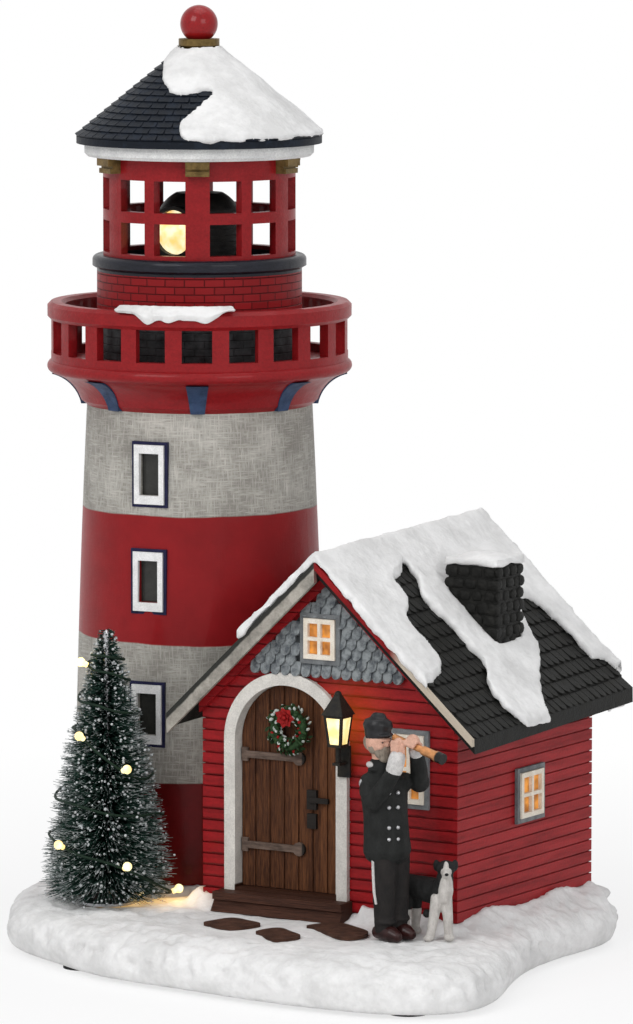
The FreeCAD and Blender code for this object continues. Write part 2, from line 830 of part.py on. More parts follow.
def box(label, length, width, height, corner, turn=None):
    obj = bind(doc.addObject("Part::Box", label), Length=length, Width=width, Height=height)
    return settle(obj, [as_length(size) for size in corner], turn)


def cylinder(label, radius, height, foot):
    obj = bind(doc.addObject("Part::Cylinder", label), Radius=radius, Height=height)
    return settle(obj, [as_length(size) for size in foot])


def cone(label, low_radius, high_radius, height, foot):
    obj = bind(doc.addObject("Part::Cone", label), Radius1=low_radius, Radius2=high_radius, Height=height)
    return settle(obj, [as_length(size) for size in foot])


def ball(label, radius, middle):
    obj = bind(doc.addObject("Part::Sphere", label), Radius=radius)
    return settle(obj, [as_length(size) for size in middle])


def cut(label, base, *tools):
    tool = tools[0] if len(tools) == 1 else fused(f"{label}_tools", *tools)
    obj = doc.addObject("Part::Cut", label)
    obj.Base = base
    obj.Tool = tool
    return obj


def fused(label, *pieces):
    obj = doc.addObject("Part::MultiFuse", label)
    obj.Shapes = list(pieces)
    obj.Refine = True
    return obj


def gathered(label, *pieces):
    """One node of separate solids."""
    obj = doc.addObject("Part::Compound", label)
    obj.Links = list(pieces)
    return obj


def shaped(label, shape, place=None, turn=0):
    """A free-form piece; its shape is set first and its place after it."""
    obj = doc.addObject("Part::Feature", label)
    obj.Shape = shape
    if place is not None:
        obj.Placement = Placement(vector(*place), Rotation(UP, float(turn)))
    return obj


# Free-form shapes


def edges_of(corners):
    """Edges of a closed loop drawn flat, with the same corners as a sketch."""
    points = [vector(corner[0], corner[1], 0) for corner in corners]
    edges = []
    for index, corner in enumerate(corners):
        start = points[index]
        end = points[(index + 1) % len(corners)]
        if len(corner) == 2:
            edges.append(Part.LineSegment(start, end).toShape())
        else:
            edges.append(arc_between(start, end, float(corner[2]), corner[3]).toShape())
    return edges


def flat_face(corners):
    return Part.Face(Part.Wire(Part.__sortEdges__(edges_of(corners))))


def upright(shape):
    """Turn a shape drawn flat so that its second axis points up."""
    return shape.rotate(ORIGIN, ACROSS, FULL_TURN / 4)


def turned_solid(corners, degrees=FULL_TURN):
    return upright(flat_face(corners)).revolve(ORIGIN, UP, degrees)


def smooth_loop(points):
    curve = Part.BSplineCurve()
    curve.interpolate(Points=points, PeriodicFlag=True)
    return curve


def outline_points(inset, level):
    """Points of the base outline, moved inwards square to it, at a level."""
    loose = [Vector(across, along, 0) for across, along in OUTLINE_SHARES]
    seen = smooth_loop(loose).discretize(len(loose) * len(loose))
    low = Vector(min(point.x for point in seen), min(point.y for point in seen), 0)
    high = Vector(max(point.x for point in seen), max(point.y for point in seen), 0)
    middle = (low + high) / 2
    across = float(s.base_width) / (high.x - low.x)
    along = float(s.base_depth) / (high.y - low.y)
    points = [Vector((p.x - middle.x) * across, (p.y - middle.y) * along, float(level)) for p in loose]
    moved = []
    for index, point in enumerate(points):
        run = points[(index + 1) % len(points)] - points[index - 1]
        inwards = Vector(-run.y, run.x, 0)
        inwards.normalize()
        moved.append(point + inwards * float(inset))
    return moved


def outline_prism(inset, low, high):
    wire = Part.Wire(smooth_loop(outline_points(inset, low)).toShape())
    return Part.Face(wire).extrude(vector(0, 0, high - low))


def block(low, high):
    size = [float(top) - float(bottom) for bottom, top in zip(low, high)]
    return Part.makeBox(*size, vector(*low))


def rounded_block(left, front, right, back, corner, low, high, spread):
    """A raised bank whose rounded outline spreads downwards."""
    wires = []
    for level, grow in ((low, float(spread)), (high, 0.0)):
        x0, y0 = float(left) - grow, float(front) - grow
        x1, y1 = float(right) + grow, float(back) + grow
        turn = float(corner) + grow
        loop = [
            (x0 + turn, y0), (x1 - turn, y0, turn, 1), (x1, y0 + turn), (x1, y1 - turn, turn, 1),
            (x1 - turn, y1), (x0 + turn, y1, turn, 1), (x0, y1 - turn), (x0, y0 + turn, turn, 1),
        ]
        wire = Part.Wire(edges_of(loop))
        wire.translate(vector(0, 0, level))
        wires.append(wire)
    return Part.makeLoft(wires, True, True)


def limb(stations):
    """A smooth solid through round sections; a station is (place, radius) or (place, wide, deep)."""
    places = [station[0] for station in stations]
    wires = []
    for index, station in enumerate(stations):
        way = places[min(index + 1, len(places) - 1)] - places[max(index - 1, 0)]
        way.normalize()
        side = ACROSS - way * ACROSS.dot(way)
        side.normalize()
        other = way.cross(side)
        points = []
        for step in range(RING_STEPS):
            angle = math.radians(FULL_TURN * step / RING_STEPS)
            across = side * (float(station[1]) * math.cos(angle))
            points.append(station[0] + across + other * (float(station[-1]) * math.sin(angle)))
        points.append(points[0])
        arcs = [Part.Arc(*points[first:first + 3]).toShape() for first in range(0, RING_STEPS, 2)]
        wires.append(Part.Wire(arcs))
    return Part.makeLoft(wires, True, False)


def merged(shapes):
    whole = shapes[0].fuse(list(shapes[1:]))
    return whole.removeSplitter()


def tower_profile(extra):
    return [
        (0, bank_top - extra), (s.tower_foot_radius + extra, bank_top - extra, s.tower_bow_radius, 1),
        (s.tower_top_radius + extra, tower_top), (0, tower_top),
    ]


# Base with its plate, feet and screws


def make_base_shell():
    rise = s.ground_height - s.foot_height
    rings = []
    for level_share, inset_share in RING_SHARES:
        points = outline_points(s.base_wall * inset_share, s.foot_height + rise * level_share)
        rings.append(Part.Wire(smooth_loop(points).toShape()))
    shell = Part.makeLoft(rings, True, False)
    sunk = s.ground_height - s.cutter_overrun
    bank = rounded_block(
        s.house_x - s.cutter_overrun, s.house_y - s.cutter_overrun,
        s.house_x + s.house_width + s.cutter_overrun, house_back + s.cutter_overrun,
        s.bank_height, sunk, bank_top, s.bank_spread)
    round_bank = Part.makeCone(
        float(s.tower_foot_radius + s.bank_spread), float(s.tower_foot_radius + s.cutter_overrun),
        float(bank_top - sunk), vector(s.tower_x, s.tower_y, sunk))
    shell = merged([shell, bank, round_bank])
    ceiling = s.ground_height - s.base_roof
    shell = shell.cut(outline_prism(s.base_wall, 0, ceiling))
    inset = s.house_wall + s.base_roof
    well = block((s.house_x + inset, s.house_y + inset, 0),
                 (s.house_x + s.house_width - inset, house_back - inset, bank_top + s.cutter_overrun))
    tower_well = Part.makeCylinder(
        float(s.tower_foot_radius - s.tower_wall - s.base_roof), float(bank_top + s.cutter_overrun),
        vector(s.tower_x, s.tower_y, 0))
    step_seat = block((s.house_x + s.door_center - s.step_width / 2, s.house_y - s.step_depth, s.ground_height),
                      (s.house_x + s.door_center + s.step_width / 2, s.house_y, s.door_foot_height))
    shell = shell.cut([well, tower_well, step_seat])
    bosses = []
    pilots = []
    for place in boss_places():
        boss = Part.makeCylinder(float(s.boss_radius), float(ceiling - plate_top + s.cutter_overrun),
                                 place + vector(0, 0, plate_top))
        pilot = Part.makeCylinder(float(s.screw_radius + s.screw_gap), float(s.screw_length - s.plate_thickness),
                                  place + vector(0, 0, plate_top))
        bosses.append(boss)
        pilots.append(pilot)
    wire_hole = Part.makeCylinder(float(s.light_wire_radius + s.light_wire_gap), float(bank_top),
                                  light_wire_foot())
    shell = merged([shell] + bosses).cut(pilots + [wire_hole])
    return node(shaped("base_shell", shell))


def boss_places():
    return [vector(across * s.base_width, along * s.base_depth, 0) for across, along in BOSS_SHARES]


def light_wire_foot():
    reach = s.tree_stand_radius + s.light_wire_radius + s.light_wire_gap
    return vector(s.tree_x, s.tree_y, 0) + polar(reach, WIRE_FOOT_TURN + s.view_turn - FULL_TURN / 4, 0)


def bay_block(grow, low, high):
    half_long = s.bay_length / 2 + grow
    half_wide = s.bay_width / 2 + grow
    return block((s.bay_x - half_long, s.bay_y - half_wide, low), (s.bay_x + half_long, s.bay_y + half_wide, high))


def make_base_plate():
    plate = outline_prism(s.base_wall + s.plate_gap, plate_bottom, plate_top)
    half_long = s.bay_length / 2 + s.door_margin + s.door_gap
    half_wide = s.bay_width / 2 + s.door_margin + s.door_gap
    pocket_top = plate_bottom + s.door_thickness + s.door_gap
    recess = block((s.bay_x - half_long, s.bay_y - half_wide, 0),
                   (s.bay_x + half_long + s.door_travel, s.bay_y + half_wide, pocket_top))
    groove_low = plate_bottom + (s.door_thickness - s.door_tongue_height) / 2 - s.door_gap
    groove_reach = half_wide + s.door_tongue
    groove = block((s.bay_x - half_long, s.bay_y - groove_reach, groove_low),
                   (s.bay_x + half_long + s.door_travel, s.bay_y + groove_reach,
                    groove_low + s.door_tongue_height + s.door_gap * 2))
    slot_long = (s.knob_length + s.knob_travel) / 2 + s.door_gap
    slot_wide = s.knob_width / 2 + s.door_gap
    slot = block((s.switch_x - slot_long, s.switch_y - slot_wide, 0),
                 (s.switch_x + slot_long, s.switch_y + slot_wide, plate_top + s.cutter_overrun))
    margin = s.switch_recess_margin
    finger = block((s.switch_x - slot_long - margin, s.switch_y - slot_wide - margin, 0),
                   (s.switch_x + slot_long + margin, s.switch_y + slot_wide + margin,
                    plate_bottom + s.switch_recess_depth))
    cuts = [bay_block(0, 0, plate_top + s.cutter_overrun), recess, groove, slot, finger]
    for place in boss_places():
        cuts.append(Part.makeCylinder(float(s.screw_radius + s.screw_gap), float(plate_top + s.cutter_overrun), place))
        cuts.append(Part.makeCylinder(float(s.screw_head_radius + s.plate_gap),
                                      float(plate_bottom + s.screw_head_height), place))
    return node(shaped("base_plate", plate.cut(cuts)))


def make_feet():
    feet = []
    for number, (across, along) in enumerate(FOOT_SHARES, 1):
        foot = cylinder(f"foot_{number}", s.foot_radius, s.foot_height, (s.base_width * across, s.base_depth * along, 0))
        feet.append(foot)
    return node(gathered("base_feet", *feet))


def make_screws():
    head_low = plate_bottom
    head = Part.makeCylinder(float(s.screw_head_radius), float(s.screw_head_height), vector(0, 0, head_low))
    shank = Part.makeCylinder(float(s.screw_radius), float(s.screw_length - s.screw_head_height),
                              vector(0, 0, head_low + s.screw_head_height))
    slot = block((-s.screw_head_radius, -s.contact_thickness / 2, 0),
                 (s.screw_head_radius, s.contact_thickness / 2, head_low + s.contact_thickness))
    screw = head.fuse(shank).removeSplitter().cut(slot)
    screws = [screw.translated(place) for place in boss_places()]
    return node(shaped("base_screws", Part.makeCompound(screws)))


# Battery bay, its cells and contacts, the sliding door, the switch and the lamp board


def make_battery_box():
    walls = bay_block(s.bay_wall, plate_top, box_top)
    return node(shaped("battery_box", walls.cut(bay_block(0, plate_top, box_top - s.bay_wall))))


def cell_rows():
    """Side and direction of each cell; neighbours lie head to tail."""
    return ((s.cell_pitch * row, 1 - 2 * (row % 2)) for row in (-1, 0, 1))


def make_cells():
    cells = []
    height = plate_top + s.cell_lift + s.cell_radius
    for shift, way in cell_rows():
        side = s.bay_y + shift
        can = Part.makeCylinder(float(s.cell_radius), float(s.cell_length),
                                vector(s.bay_x - s.cell_length / 2, side, height), ACROSS)
        tip = Part.makeCylinder(float(s.cell_tip_radius), float(s.cell_tip_length),
                                vector(s.bay_x + s.cell_length / 2 * way, side, height), ACROSS * way)
        cells.append(can.fuse(tip).removeSplitter())
    return node(shaped("battery_cells", Part.makeCompound(cells)))


def make_contacts():
    contacts = []
    height = plate_top + s.cell_lift + s.cell_radius
    half = s.contact_width / 2
    for shift, way in cell_rows():
        side = s.bay_y + shift
        for end in (-1, 1):
            wall = s.bay_x + s.bay_length / 2 * end
            inner = wall - s.contact_thickness * end
            reach = s.bay_length / 2 - s.contact_thickness - s.cell_length / 2
            if end == way:
                reach = reach - s.cell_tip_length
            low_x, high_x = sorted((float(wall), float(inner)))
            strip = block((low_x, side - half, height - half), (high_x, side + half, height + half))
            button = Part.makeCylinder(float(s.contact_button_radius), float(reach),
                                       vector(inner, side, height), ACROSS * -end)
            contacts.append(strip.fuse(button).removeSplitter())
    return node(shaped("battery_contacts", Part.makeCompound(contacts)))


def make_battery_door():
    body = body_named("battery_door")
    long = s.bay_length + s.door_margin * 2
    wide = s.bay_width + s.door_margin * 2
    low = plate_bottom
    tongue_low = low + (s.door_thickness - s.door_tongue_height) / 2
    tongue_high = tongue_low + s.door_tongue_height
    half = wide / 2
    reach = half + s.door_tongue
    section = [
        (-half, low), (half, low), (half, tongue_low), (reach, tongue_low), (reach, tongue_high),
        (half, tongue_high), (half, low + s.door_thickness), (-half, low + s.door_thickness),
        (-half, tongue_high), (-reach, tongue_high), (-reach, tongue_low), (-half, tongue_low),
    ]
    pad(body, "YZ_Plane", [section], long, both=True)
    grip = rectangle(-long / 2 + s.door_margin * 2, -s.grip_width / 2, s.grip_groove, s.grip_width)
    groove = pocket(body, "XY_Plane", [grip], plate_bottom + s.grip_depth, backwards=True)
    row_pattern(body, groove, "X_Axis", s.grip_pitch * (s.grip_count - 1), s.grip_count)
    return node(settle(body, (s.bay_x, s.bay_y, 0)))


def make_switch():
    left = s.switch_x - s.switch_length / 2
    front = s.switch_y - s.switch_width / 2
    case = box("switch_case", s.switch_length, s.switch_width, s.switch_height, (left, front, plate_top))
    hollow = box("switch_hollow", s.switch_length - s.switch_wall * 2, s.switch_width - s.switch_wall * 2,
                 s.switch_height - s.switch_wall, (left + s.switch_wall, front + s.switch_wall, plate_top))
    node(cut("switch_body", case, hollow))
    start = s.switch_x - s.knob_travel / 2
    stem_low = plate_bottom + s.switch_recess_depth - s.knob_drop
    stem = box("knob_stem", s.knob_length, s.knob_width, plate_top + s.switch_wall * 2 - stem_low,
               (start - s.knob_length / 2, s.switch_y - s.knob_width / 2, stem_low))
    head = box("knob_head", s.knob_length + s.switch_wall * 2, s.knob_width + s.switch_wall / 2, s.switch_wall * 2,
               (start - s.knob_length / 2 - s.switch_wall, s.switch_y - s.knob_width / 2 - s.switch_wall / 4,
                plate_top + s.door_gap))
    node(fused("switch_knob", stem, head))


def make_lamp_board():
    board = box("board_plate", s.board_length, s.board_width, s.board_thickness,
                (s.bay_x - s.board_length / 2, s.bay_y - s.board_width / 2, box_top))
    top = box_top + s.board_thickness
    can = cylinder("led_can", s.led_radius, s.led_height - s.led_radius, (s.bay_x, s.bay_y, top))
    dome = ball("led_dome", s.led_radius, (s.bay_x, s.bay_y, top + s.led_height - s.led_radius))
    led = fused("led", can, dome)
    chip = box("board_chip", s.chip_size, s.chip_size, s.chip_height,
               (s.bay_x + s.board_length / 4, s.bay_y - s.chip_size / 2, top))
    node(gathered("house_lamp_board", board, led, chip))


def make_lamp_lead():
    height = box_top + s.board_thickness + s.lead_radius
    start = vector(s.bay_x - s.board_length / 4, s.tower_y, height)
    corner = vector(s.tower_x + gear_centers, s.tower_y, height)
    end = vector(s.tower_x + gear_centers, s.tower_y, ledge_level - s.motor_height)
    bend = float(s.lead_bend)
    before = corner + ACROSS * bend
    after = corner + UP * bend
    middle = corner + (ACROSS + UP) * bend * (1 - math.sqrt(0.5))
    path = Part.Wire([
        Part.LineSegment(start, before).toShape(), Part.Arc(before, middle, after).toShape(),
        Part.LineSegment(after, end).toShape()])
    section = Part.Wire(Part.Circle(start, ACROSS, float(s.lead_radius)).toShape())
    lead = path.makePipeShell([section], True, False)
    return node(shaped("lamp_lead", lead))


# Tower with its relief windows


def make_tower_shell():
    body = body_named("tower_casting")
    revolve(body, [
        (s.tower_foot_radius - s.tower_wall, bank_top), (s.tower_foot_radius, bank_top, s.tower_bow_radius, 1),
        (s.tower_top_radius, tower_top), (s.tower_top_radius - s.tower_wall, tower_top)])
    openings = []
    for height in tower_window_heights():
        openings.append(rectangle(-s.tower_window_width / 2, height - s.tower_window_height / 2,
                                  s.tower_window_width, s.tower_window_height))
    pocket(body, "XZ_Plane", openings, s.tower_foot_radius + s.cutter_overrun, backwards=True)
    settle(body, (s.tower_x, s.tower_y, 0), s.tower_window_turn)
    port = doc.addObject("Part::Cylinder", "lead_port")
    bind(port, Radius=s.lead_port_radius, Height=s.tower_foot_radius + s.cutter_overrun)
    port.Placement = Placement(ORIGIN, Rotation(BACK, FULL_TURN / 4))
    settle(port, (s.tower_x, s.tower_y, box_top + s.board_thickness + s.lead_radius))
    return node(cut("tower_shell", body, port))


def tower_window_heights():
    return (s.low_window_height, s.mid_window_height, s.high_window_height)


def upright_ring(outer_wide, outer_tall, inner_wide, inner_tall, near, far):
    """An upright rectangular ring facing the front, between two depths."""
    ring = block((-outer_wide / 2, near, -outer_tall / 2), (outer_wide / 2, far, outer_tall / 2))
    hole = block((-inner_wide / 2, near - s.cutter_overrun, -inner_tall / 2),
                 (inner_wide / 2, far + s.cutter_overrun, inner_tall / 2))
    return ring.cut(hole)


def make_tower_windows():
    wall = turned_solid(tower_profile(s.seat_gap))
    surrounds, casings, panes = [], [], []
    wide, tall = s.tower_window_width, s.tower_window_height
    case_wide = wide + s.tower_casing_width * 2
    case_tall = tall + s.tower_casing_rise * 2
    trim_wide = case_wide + s.seat_gap * 2
    trim_tall = case_tall + s.seat_gap * 2
    border = s.tower_surround_width * 2
    for height in tower_window_heights():
        taper = (s.tower_foot_radius - s.tower_top_radius) * ((height - bank_top) / s.tower_height)
        face = taper - s.tower_foot_radius
        casing = upright_ring(case_wide, case_tall, wide, tall, face - s.tower_casing_proud, face + s.tower_wall)
        surround = upright_ring(trim_wide + border, trim_tall + border, trim_wide, trim_tall,
                                face - s.tower_surround_proud, face + s.tower_wall)
        pane = block((s.seat_gap - wide / 2, face + s.tower_pane_depth, s.seat_gap - tall / 2),
                     (wide / 2 - s.seat_gap, face + s.tower_pane_depth + s.tower_pane_thickness,
                      tall / 2 - s.seat_gap))
        casings.append(casing.translated(vector(0, 0, height)).cut(wall))
        surrounds.append(surround.translated(vector(0, 0, height)).cut(wall))
        panes.append(pane.translated(vector(0, 0, height)))
    place = (s.tower_x, s.tower_y, 0)
    node(shaped("tower_window_surrounds", Part.makeCompound(surrounds), place, s.tower_window_turn))
    node(shaped("tower_window_frames", Part.makeCompound(casings), place, s.tower_window_turn))
    node(shaped("tower_window_panes", Part.makeCompound(panes), place, s.tower_window_turn))


# Gallery: deck, brackets, pierced rail and its patch of snow


def deck_corners():
    flare_top = tower_top + s.deck_flare_height
    nose_low = flare_top + s.deck_lip_height / 2
    return [
        (s.deck_hole_radius, tower_top), (s.tower_top_radius, tower_top),
        (s.deck_lip_radius, tower_top + s.deck_lip_height, s.deck_cove_radius, -1),
        (s.deck_flare_radius, flare_top), (s.rail_radius, nose_low, s.deck_nose_round, 1),
        (s.rail_radius, floor_level), (s.deck_hole_radius, floor_level),
    ]


def rail_corners():
    cap_low = floor_level + s.rail_height - s.rail_cap_height
    cap_high = floor_level + s.rail_height
    inner = s.rail_radius - s.rail_wall
    step = s.rail_cap_radius - s.rail_radius
    return [
        (inner, floor_level), (s.rail_radius, floor_level), (s.rail_radius, cap_low),
        (s.rail_cap_radius, cap_low + step), (s.rail_cap_radius, cap_high - step),
        (s.rail_radius, cap_high), (inner, cap_high), (inner - step, cap_high - step),
        (inner - step, cap_low + step), (inner, cap_low),
    ]


def make_gallery():
    node(turned("gallery_deck", deck_corners(), (s.tower_x, s.tower_y, 0)))
    rail = body_named("gallery_rail")
    revolve(rail, rail_corners())
    opening_low = floor_level + s.rail_foot_height
    opening_tall = s.rail_height - s.rail_foot_height - s.rail_cap_height
    opening = rectangle(-s.rail_opening_width / 2, opening_low, s.rail_opening_width, opening_tall)
    hole = pocket(rail, "XZ_Plane", [opening], s.rail_cap_radius + s.cutter_overrun, backwards=True)
    ring_pattern(rail, hole, s.rail_opening_count)
    node(settle(rail, (s.tower_x, s.tower_y, 0), s.view_turn))
    make_brackets()
    make_gallery_snow()


def make_brackets():
    low = tower_top + s.seat_gap
    inner = s.tower_top_radius - s.bracket_proud
    section = [
        (inner, low), (s.tower_top_radius + s.bracket_proud, low, s.bracket_hollow_radius, -1),
        (s.deck_flare_radius + s.bracket_proud, bracket_top), (inner, bracket_top),
    ]
    deck = turned_solid([(inner - s.bracket_proud, tower_top)] + deck_corners()[1:6]
                        + [(inner - s.bracket_proud, floor_level)])
    half = s.bracket_width / 2
    foot = s.bracket_foot_width / 2
    slab = upright(flat_face(section)).extrude(vector(0, s.bracket_width, 0))
    slab.translate(vector(0, -half, 0))
    taper = Part.Face(Part.makePolygon([
        vector(0, -foot, low), vector(0, foot, low), vector(0, half, bracket_top),
        vector(0, -half, bracket_top), vector(0, -foot, low)])).extrude(vector(s.rail_cap_radius, 0, 0))
    bracket = slab.common(taper).cut(deck)
    step = FULL_TURN / int(s.bracket_count.value)
    ring = []
    for index in range(int(s.bracket_count.value)):
        copy = bracket.copy()
        copy.rotate(ORIGIN, UP, index * step)
        ring.append(copy)
    facing = s.view_turn - FULL_TURN / 4
    node(shaped("gallery_brackets", Part.makeCompound(ring), (s.tower_x, s.tower_y, 0), facing))


def make_gallery_snow():
    top = floor_level + s.rail_height
    thick = s.gallery_snow_thickness
    inner = s.rail_radius - s.rail_wall
    lip = s.rail_cap_radius + thick
    section = [
        (inner, top), (inner, top + thick / 2), (inner + thick, top + thick),
        (s.rail_radius, top + thick), (lip, top - thick / 2), (lip - thick / 2, top - s.gallery_snow_drop),
        (s.rail_radius, top - s.gallery_snow_drop),
    ]
    patch = turned_solid(section, float(s.gallery_snow_turn)).cut(turned_solid(rail_corners()))
    node(shaped("gallery_snow", patch, (s.tower_x, s.tower_y, 0), s.gallery_snow_start))


# Lantern room: brick drum, sill, pierced cage, capitals and ceiling


def make_lantern():
    inner = s.plinth_radius - s.plinth_wall
    lip = inner - s.plinth_ledge
    place = (s.tower_x, s.tower_y, 0)
    node(turned("lantern_plinth", [
        (inner, floor_level), (s.plinth_radius, floor_level), (s.plinth_radius, plinth_top),
        (inner, plinth_top), (inner, ledge_level), (lip, ledge_level),
        (lip, ledge_level - s.plinth_ledge), (inner, ledge_level - s.plinth_ledge * 2)], place))
    third = s.sill_height / 3
    node(turned("lantern_sill", [
        (s.sill_inner_radius, plinth_top), (s.plinth_radius, plinth_top),
        (s.plinth_radius, plinth_top + third / 2), (s.sill_radius, plinth_top + third),
        (s.sill_radius, plinth_top + third * 2, third, 1), (s.sill_neck_radius, cage_foot),
        (s.sill_inner_radius, cage_foot)], place))
    cage = body_named("lantern_cage")
    revolve(cage, [
        (s.cage_radius - s.cage_wall, cage_foot), (s.cage_radius, cage_foot), (s.cage_radius, cage_top),
        (s.cage_radius - s.cage_wall, cage_top)])
    openings = []
    for column in (-1, 1):
        left = s.mullion_width / 2 if column > 0 else -s.mullion_width / 2 - s.pane_width
        for row in (0, 1):
            low = cage_foot + s.pane_foot + (s.pane_height + s.transom_height) * row
            openings.append(rectangle(left, low, s.pane_width, s.pane_height))
    panes = pocket(cage, "XZ_Plane", openings, s.cage_radius + s.cutter_overrun, backwards=True)
    ring_pattern(cage, panes, s.cage_bay_count)
    half_bay = FULL_TURN / 2 / s.cage_bay_count
    node(settle(cage, place, s.view_turn + half_bay))
    make_capitals()
    node(turned("tower_roof_soffit", [
        (s.cage_radius - s.cage_wall - s.plinth_ledge, cage_top), (s.soffit_radius - s.soffit_chamfer, cage_top),
        (s.soffit_radius, cage_top + s.soffit_chamfer), (s.soffit_radius, eave_level),
        (s.cage_radius - s.cage_wall - s.plinth_ledge, eave_level)], place))


def make_capitals():
    top = cage_top - s.seat_gap
    low = top - s.capital_height
    third = s.capital_height / 3
    inner = s.cage_radius - s.cage_wall
    outer = s.cage_radius + s.capital_proud
    step = s.capital_step
    section = [
        (inner, low), (outer - step, low), (outer - step, low + third), (outer - step * 2, low + third),
        (outer - step * 2, low + third * 3 / 2), (outer, low + third * 3 / 2), (outer, top), (inner, top),
    ]
    slab = upright(flat_face(section)).extrude(vector(0, s.capital_width, 0))
    slab.translate(vector(0, -s.capital_width / 2, 0))
    core = Part.makeCylinder(float(s.cage_radius), float(s.cage_height), vector(0, 0, cage_foot))
    capital = slab.cut(core)
    count = int(s.cage_bay_count.value)
    ring = []
    for index in range(count):
        copy = capital.copy()
        copy.rotate(ORIGIN, UP, index * FULL_TURN / count)
        ring.append(copy)
    facing = s.view_turn - FULL_TURN / 4
    node(shaped("lantern_capitals", Part.makeCompound(ring), (s.tower_x, s.tower_y, 0), facing))


def roof_slope(extra):
    """The outer line of the tower roof, moved out square to itself."""
    run = s.roof_eave_radius - s.roof_neck_radius
    length = math.hypot(float(run), float(s.roof_rise))
    out = extra * (float(s.roof_rise) / length)
    rise = extra * (float(run) / length)
    low = (s.roof_eave_radius + out, eave_level + s.roof_rim_height + rise)
    high = (s.roof_neck_radius + out, roof_neck_level + rise)
    return low, high


def make_tower_roof():
    place = (s.tower_x, s.tower_y, 0)
    shell = s.roof_shell
    node(turned("tower_roof", [
        (0, roof_neck_level - shell), (s.roof_eave_radius - shell * 2, eave_level),
        (s.roof_eave_radius, eave_level), (s.roof_eave_radius, eave_level + s.roof_rim_height),
        (s.roof_neck_radius, roof_neck_level), (0, roof_neck_level)], place))
    low, high = roof_slope(s.tower_snow_thickness)
    under_low, under_high = roof_slope(s.seat_gap)
    cap = turned_solid([under_low, low, high, under_high])
    outline = []
    for turn, share in TOWER_SNOW_SHARES:
        reach = s.roof_neck_radius + (s.roof_eave_radius + s.tower_snow_eave_margin - s.roof_neck_radius) * share
        outline.append(polar(reach, turn, eave_level))
    patch = Part.Face(Part.Wire(smooth_loop(outline).toShape()))
    patch = patch.extrude(vector(0, 0, s.roof_rise + s.roof_rim_height * 2))
    neck = Part.makeCylinder(float(s.collar_radius + s.seat_gap), float(s.roof_rise), vector(0, 0, roof_neck_level - s.collar_height))
    facing = s.view_turn - FULL_TURN / 4
    snow = cap.common(patch).cut(neck)
    node(shaped("tower_roof_snow", snow, place, facing))
    node(turned("finial_collar", [
        (0, roof_neck_level), (s.collar_radius - s.ball_sink, roof_neck_level),
        (s.collar_radius, roof_neck_level + s.ball_sink), (s.collar_radius, collar_top),
        (s.collar_radius - s.ball_sink, collar_top), (0, collar_top - s.ball_sink)], place))
    seat_top = collar_top + s.seat_gap
    knob = ball("finial_sphere", s.ball_radius, (s.tower_x, s.tower_y, collar_top - s.ball_sink + s.ball_radius))
    seat = turned("finial_seat", [
        (0, roof_neck_level), (s.collar_radius * 2, roof_neck_level), (s.collar_radius * 2, seat_top),
        (s.collar_radius - s.ball_sink, seat_top), (0, seat_top - s.ball_sink)], place)
    node(cut("finial_ball", knob, seat))


# Beacon: fixed deck, motor and lamp post, turning wheel, hood and lens


def gear_solid(teeth, bore, level):
    """A spur gear with involute flanks, its first tooth pointing across."""
    count = int(teeth.value)
    module = float(s.gear_module)
    pitch = module * count / 2
    tip = pitch + module * ADDENDUM_SHARE
    root = pitch - module * DEDENDUM_SHARE
    base = pitch * math.cos(PRESSURE_ANGLE)
    half_tooth = math.pi / 2 / count - float(s.gear_backlash) / 2 / pitch
    involute = math.tan(PRESSURE_ANGLE) - PRESSURE_ANGLE
    flank = []
    foot = max(base, root)
    for step in range(FLANK_STEPS + 1):
        radius = foot + (tip - foot) * step / FLANK_STEPS
        angle = math.acos(min(base / radius, 1.0))
        flank.append((radius, half_tooth + involute - (math.tan(angle) - angle)))
    if root < base:
        flank.insert(0, (root, flank[0][1]))
    points = []
    for index in range(count):
        middle = 2 * math.pi * index / count
        for radius, half in flank:
            points.append(Vector(radius * math.cos(middle - half), radius * math.sin(middle - half), 0))
        for radius, half in reversed(flank):
            points.append(Vector(radius * math.cos(middle + half), radius * math.sin(middle + half), 0))
    blank = Part.Face(Part.makePolygon(points + points[:1])).extrude(vector(0, 0, s.gear_face))
    if bore is not None:
        blank = blank.cut(Part.makeCylinder(float(bore), float(s.gear_face)))
    return blank.translated(vector(0, 0, level))


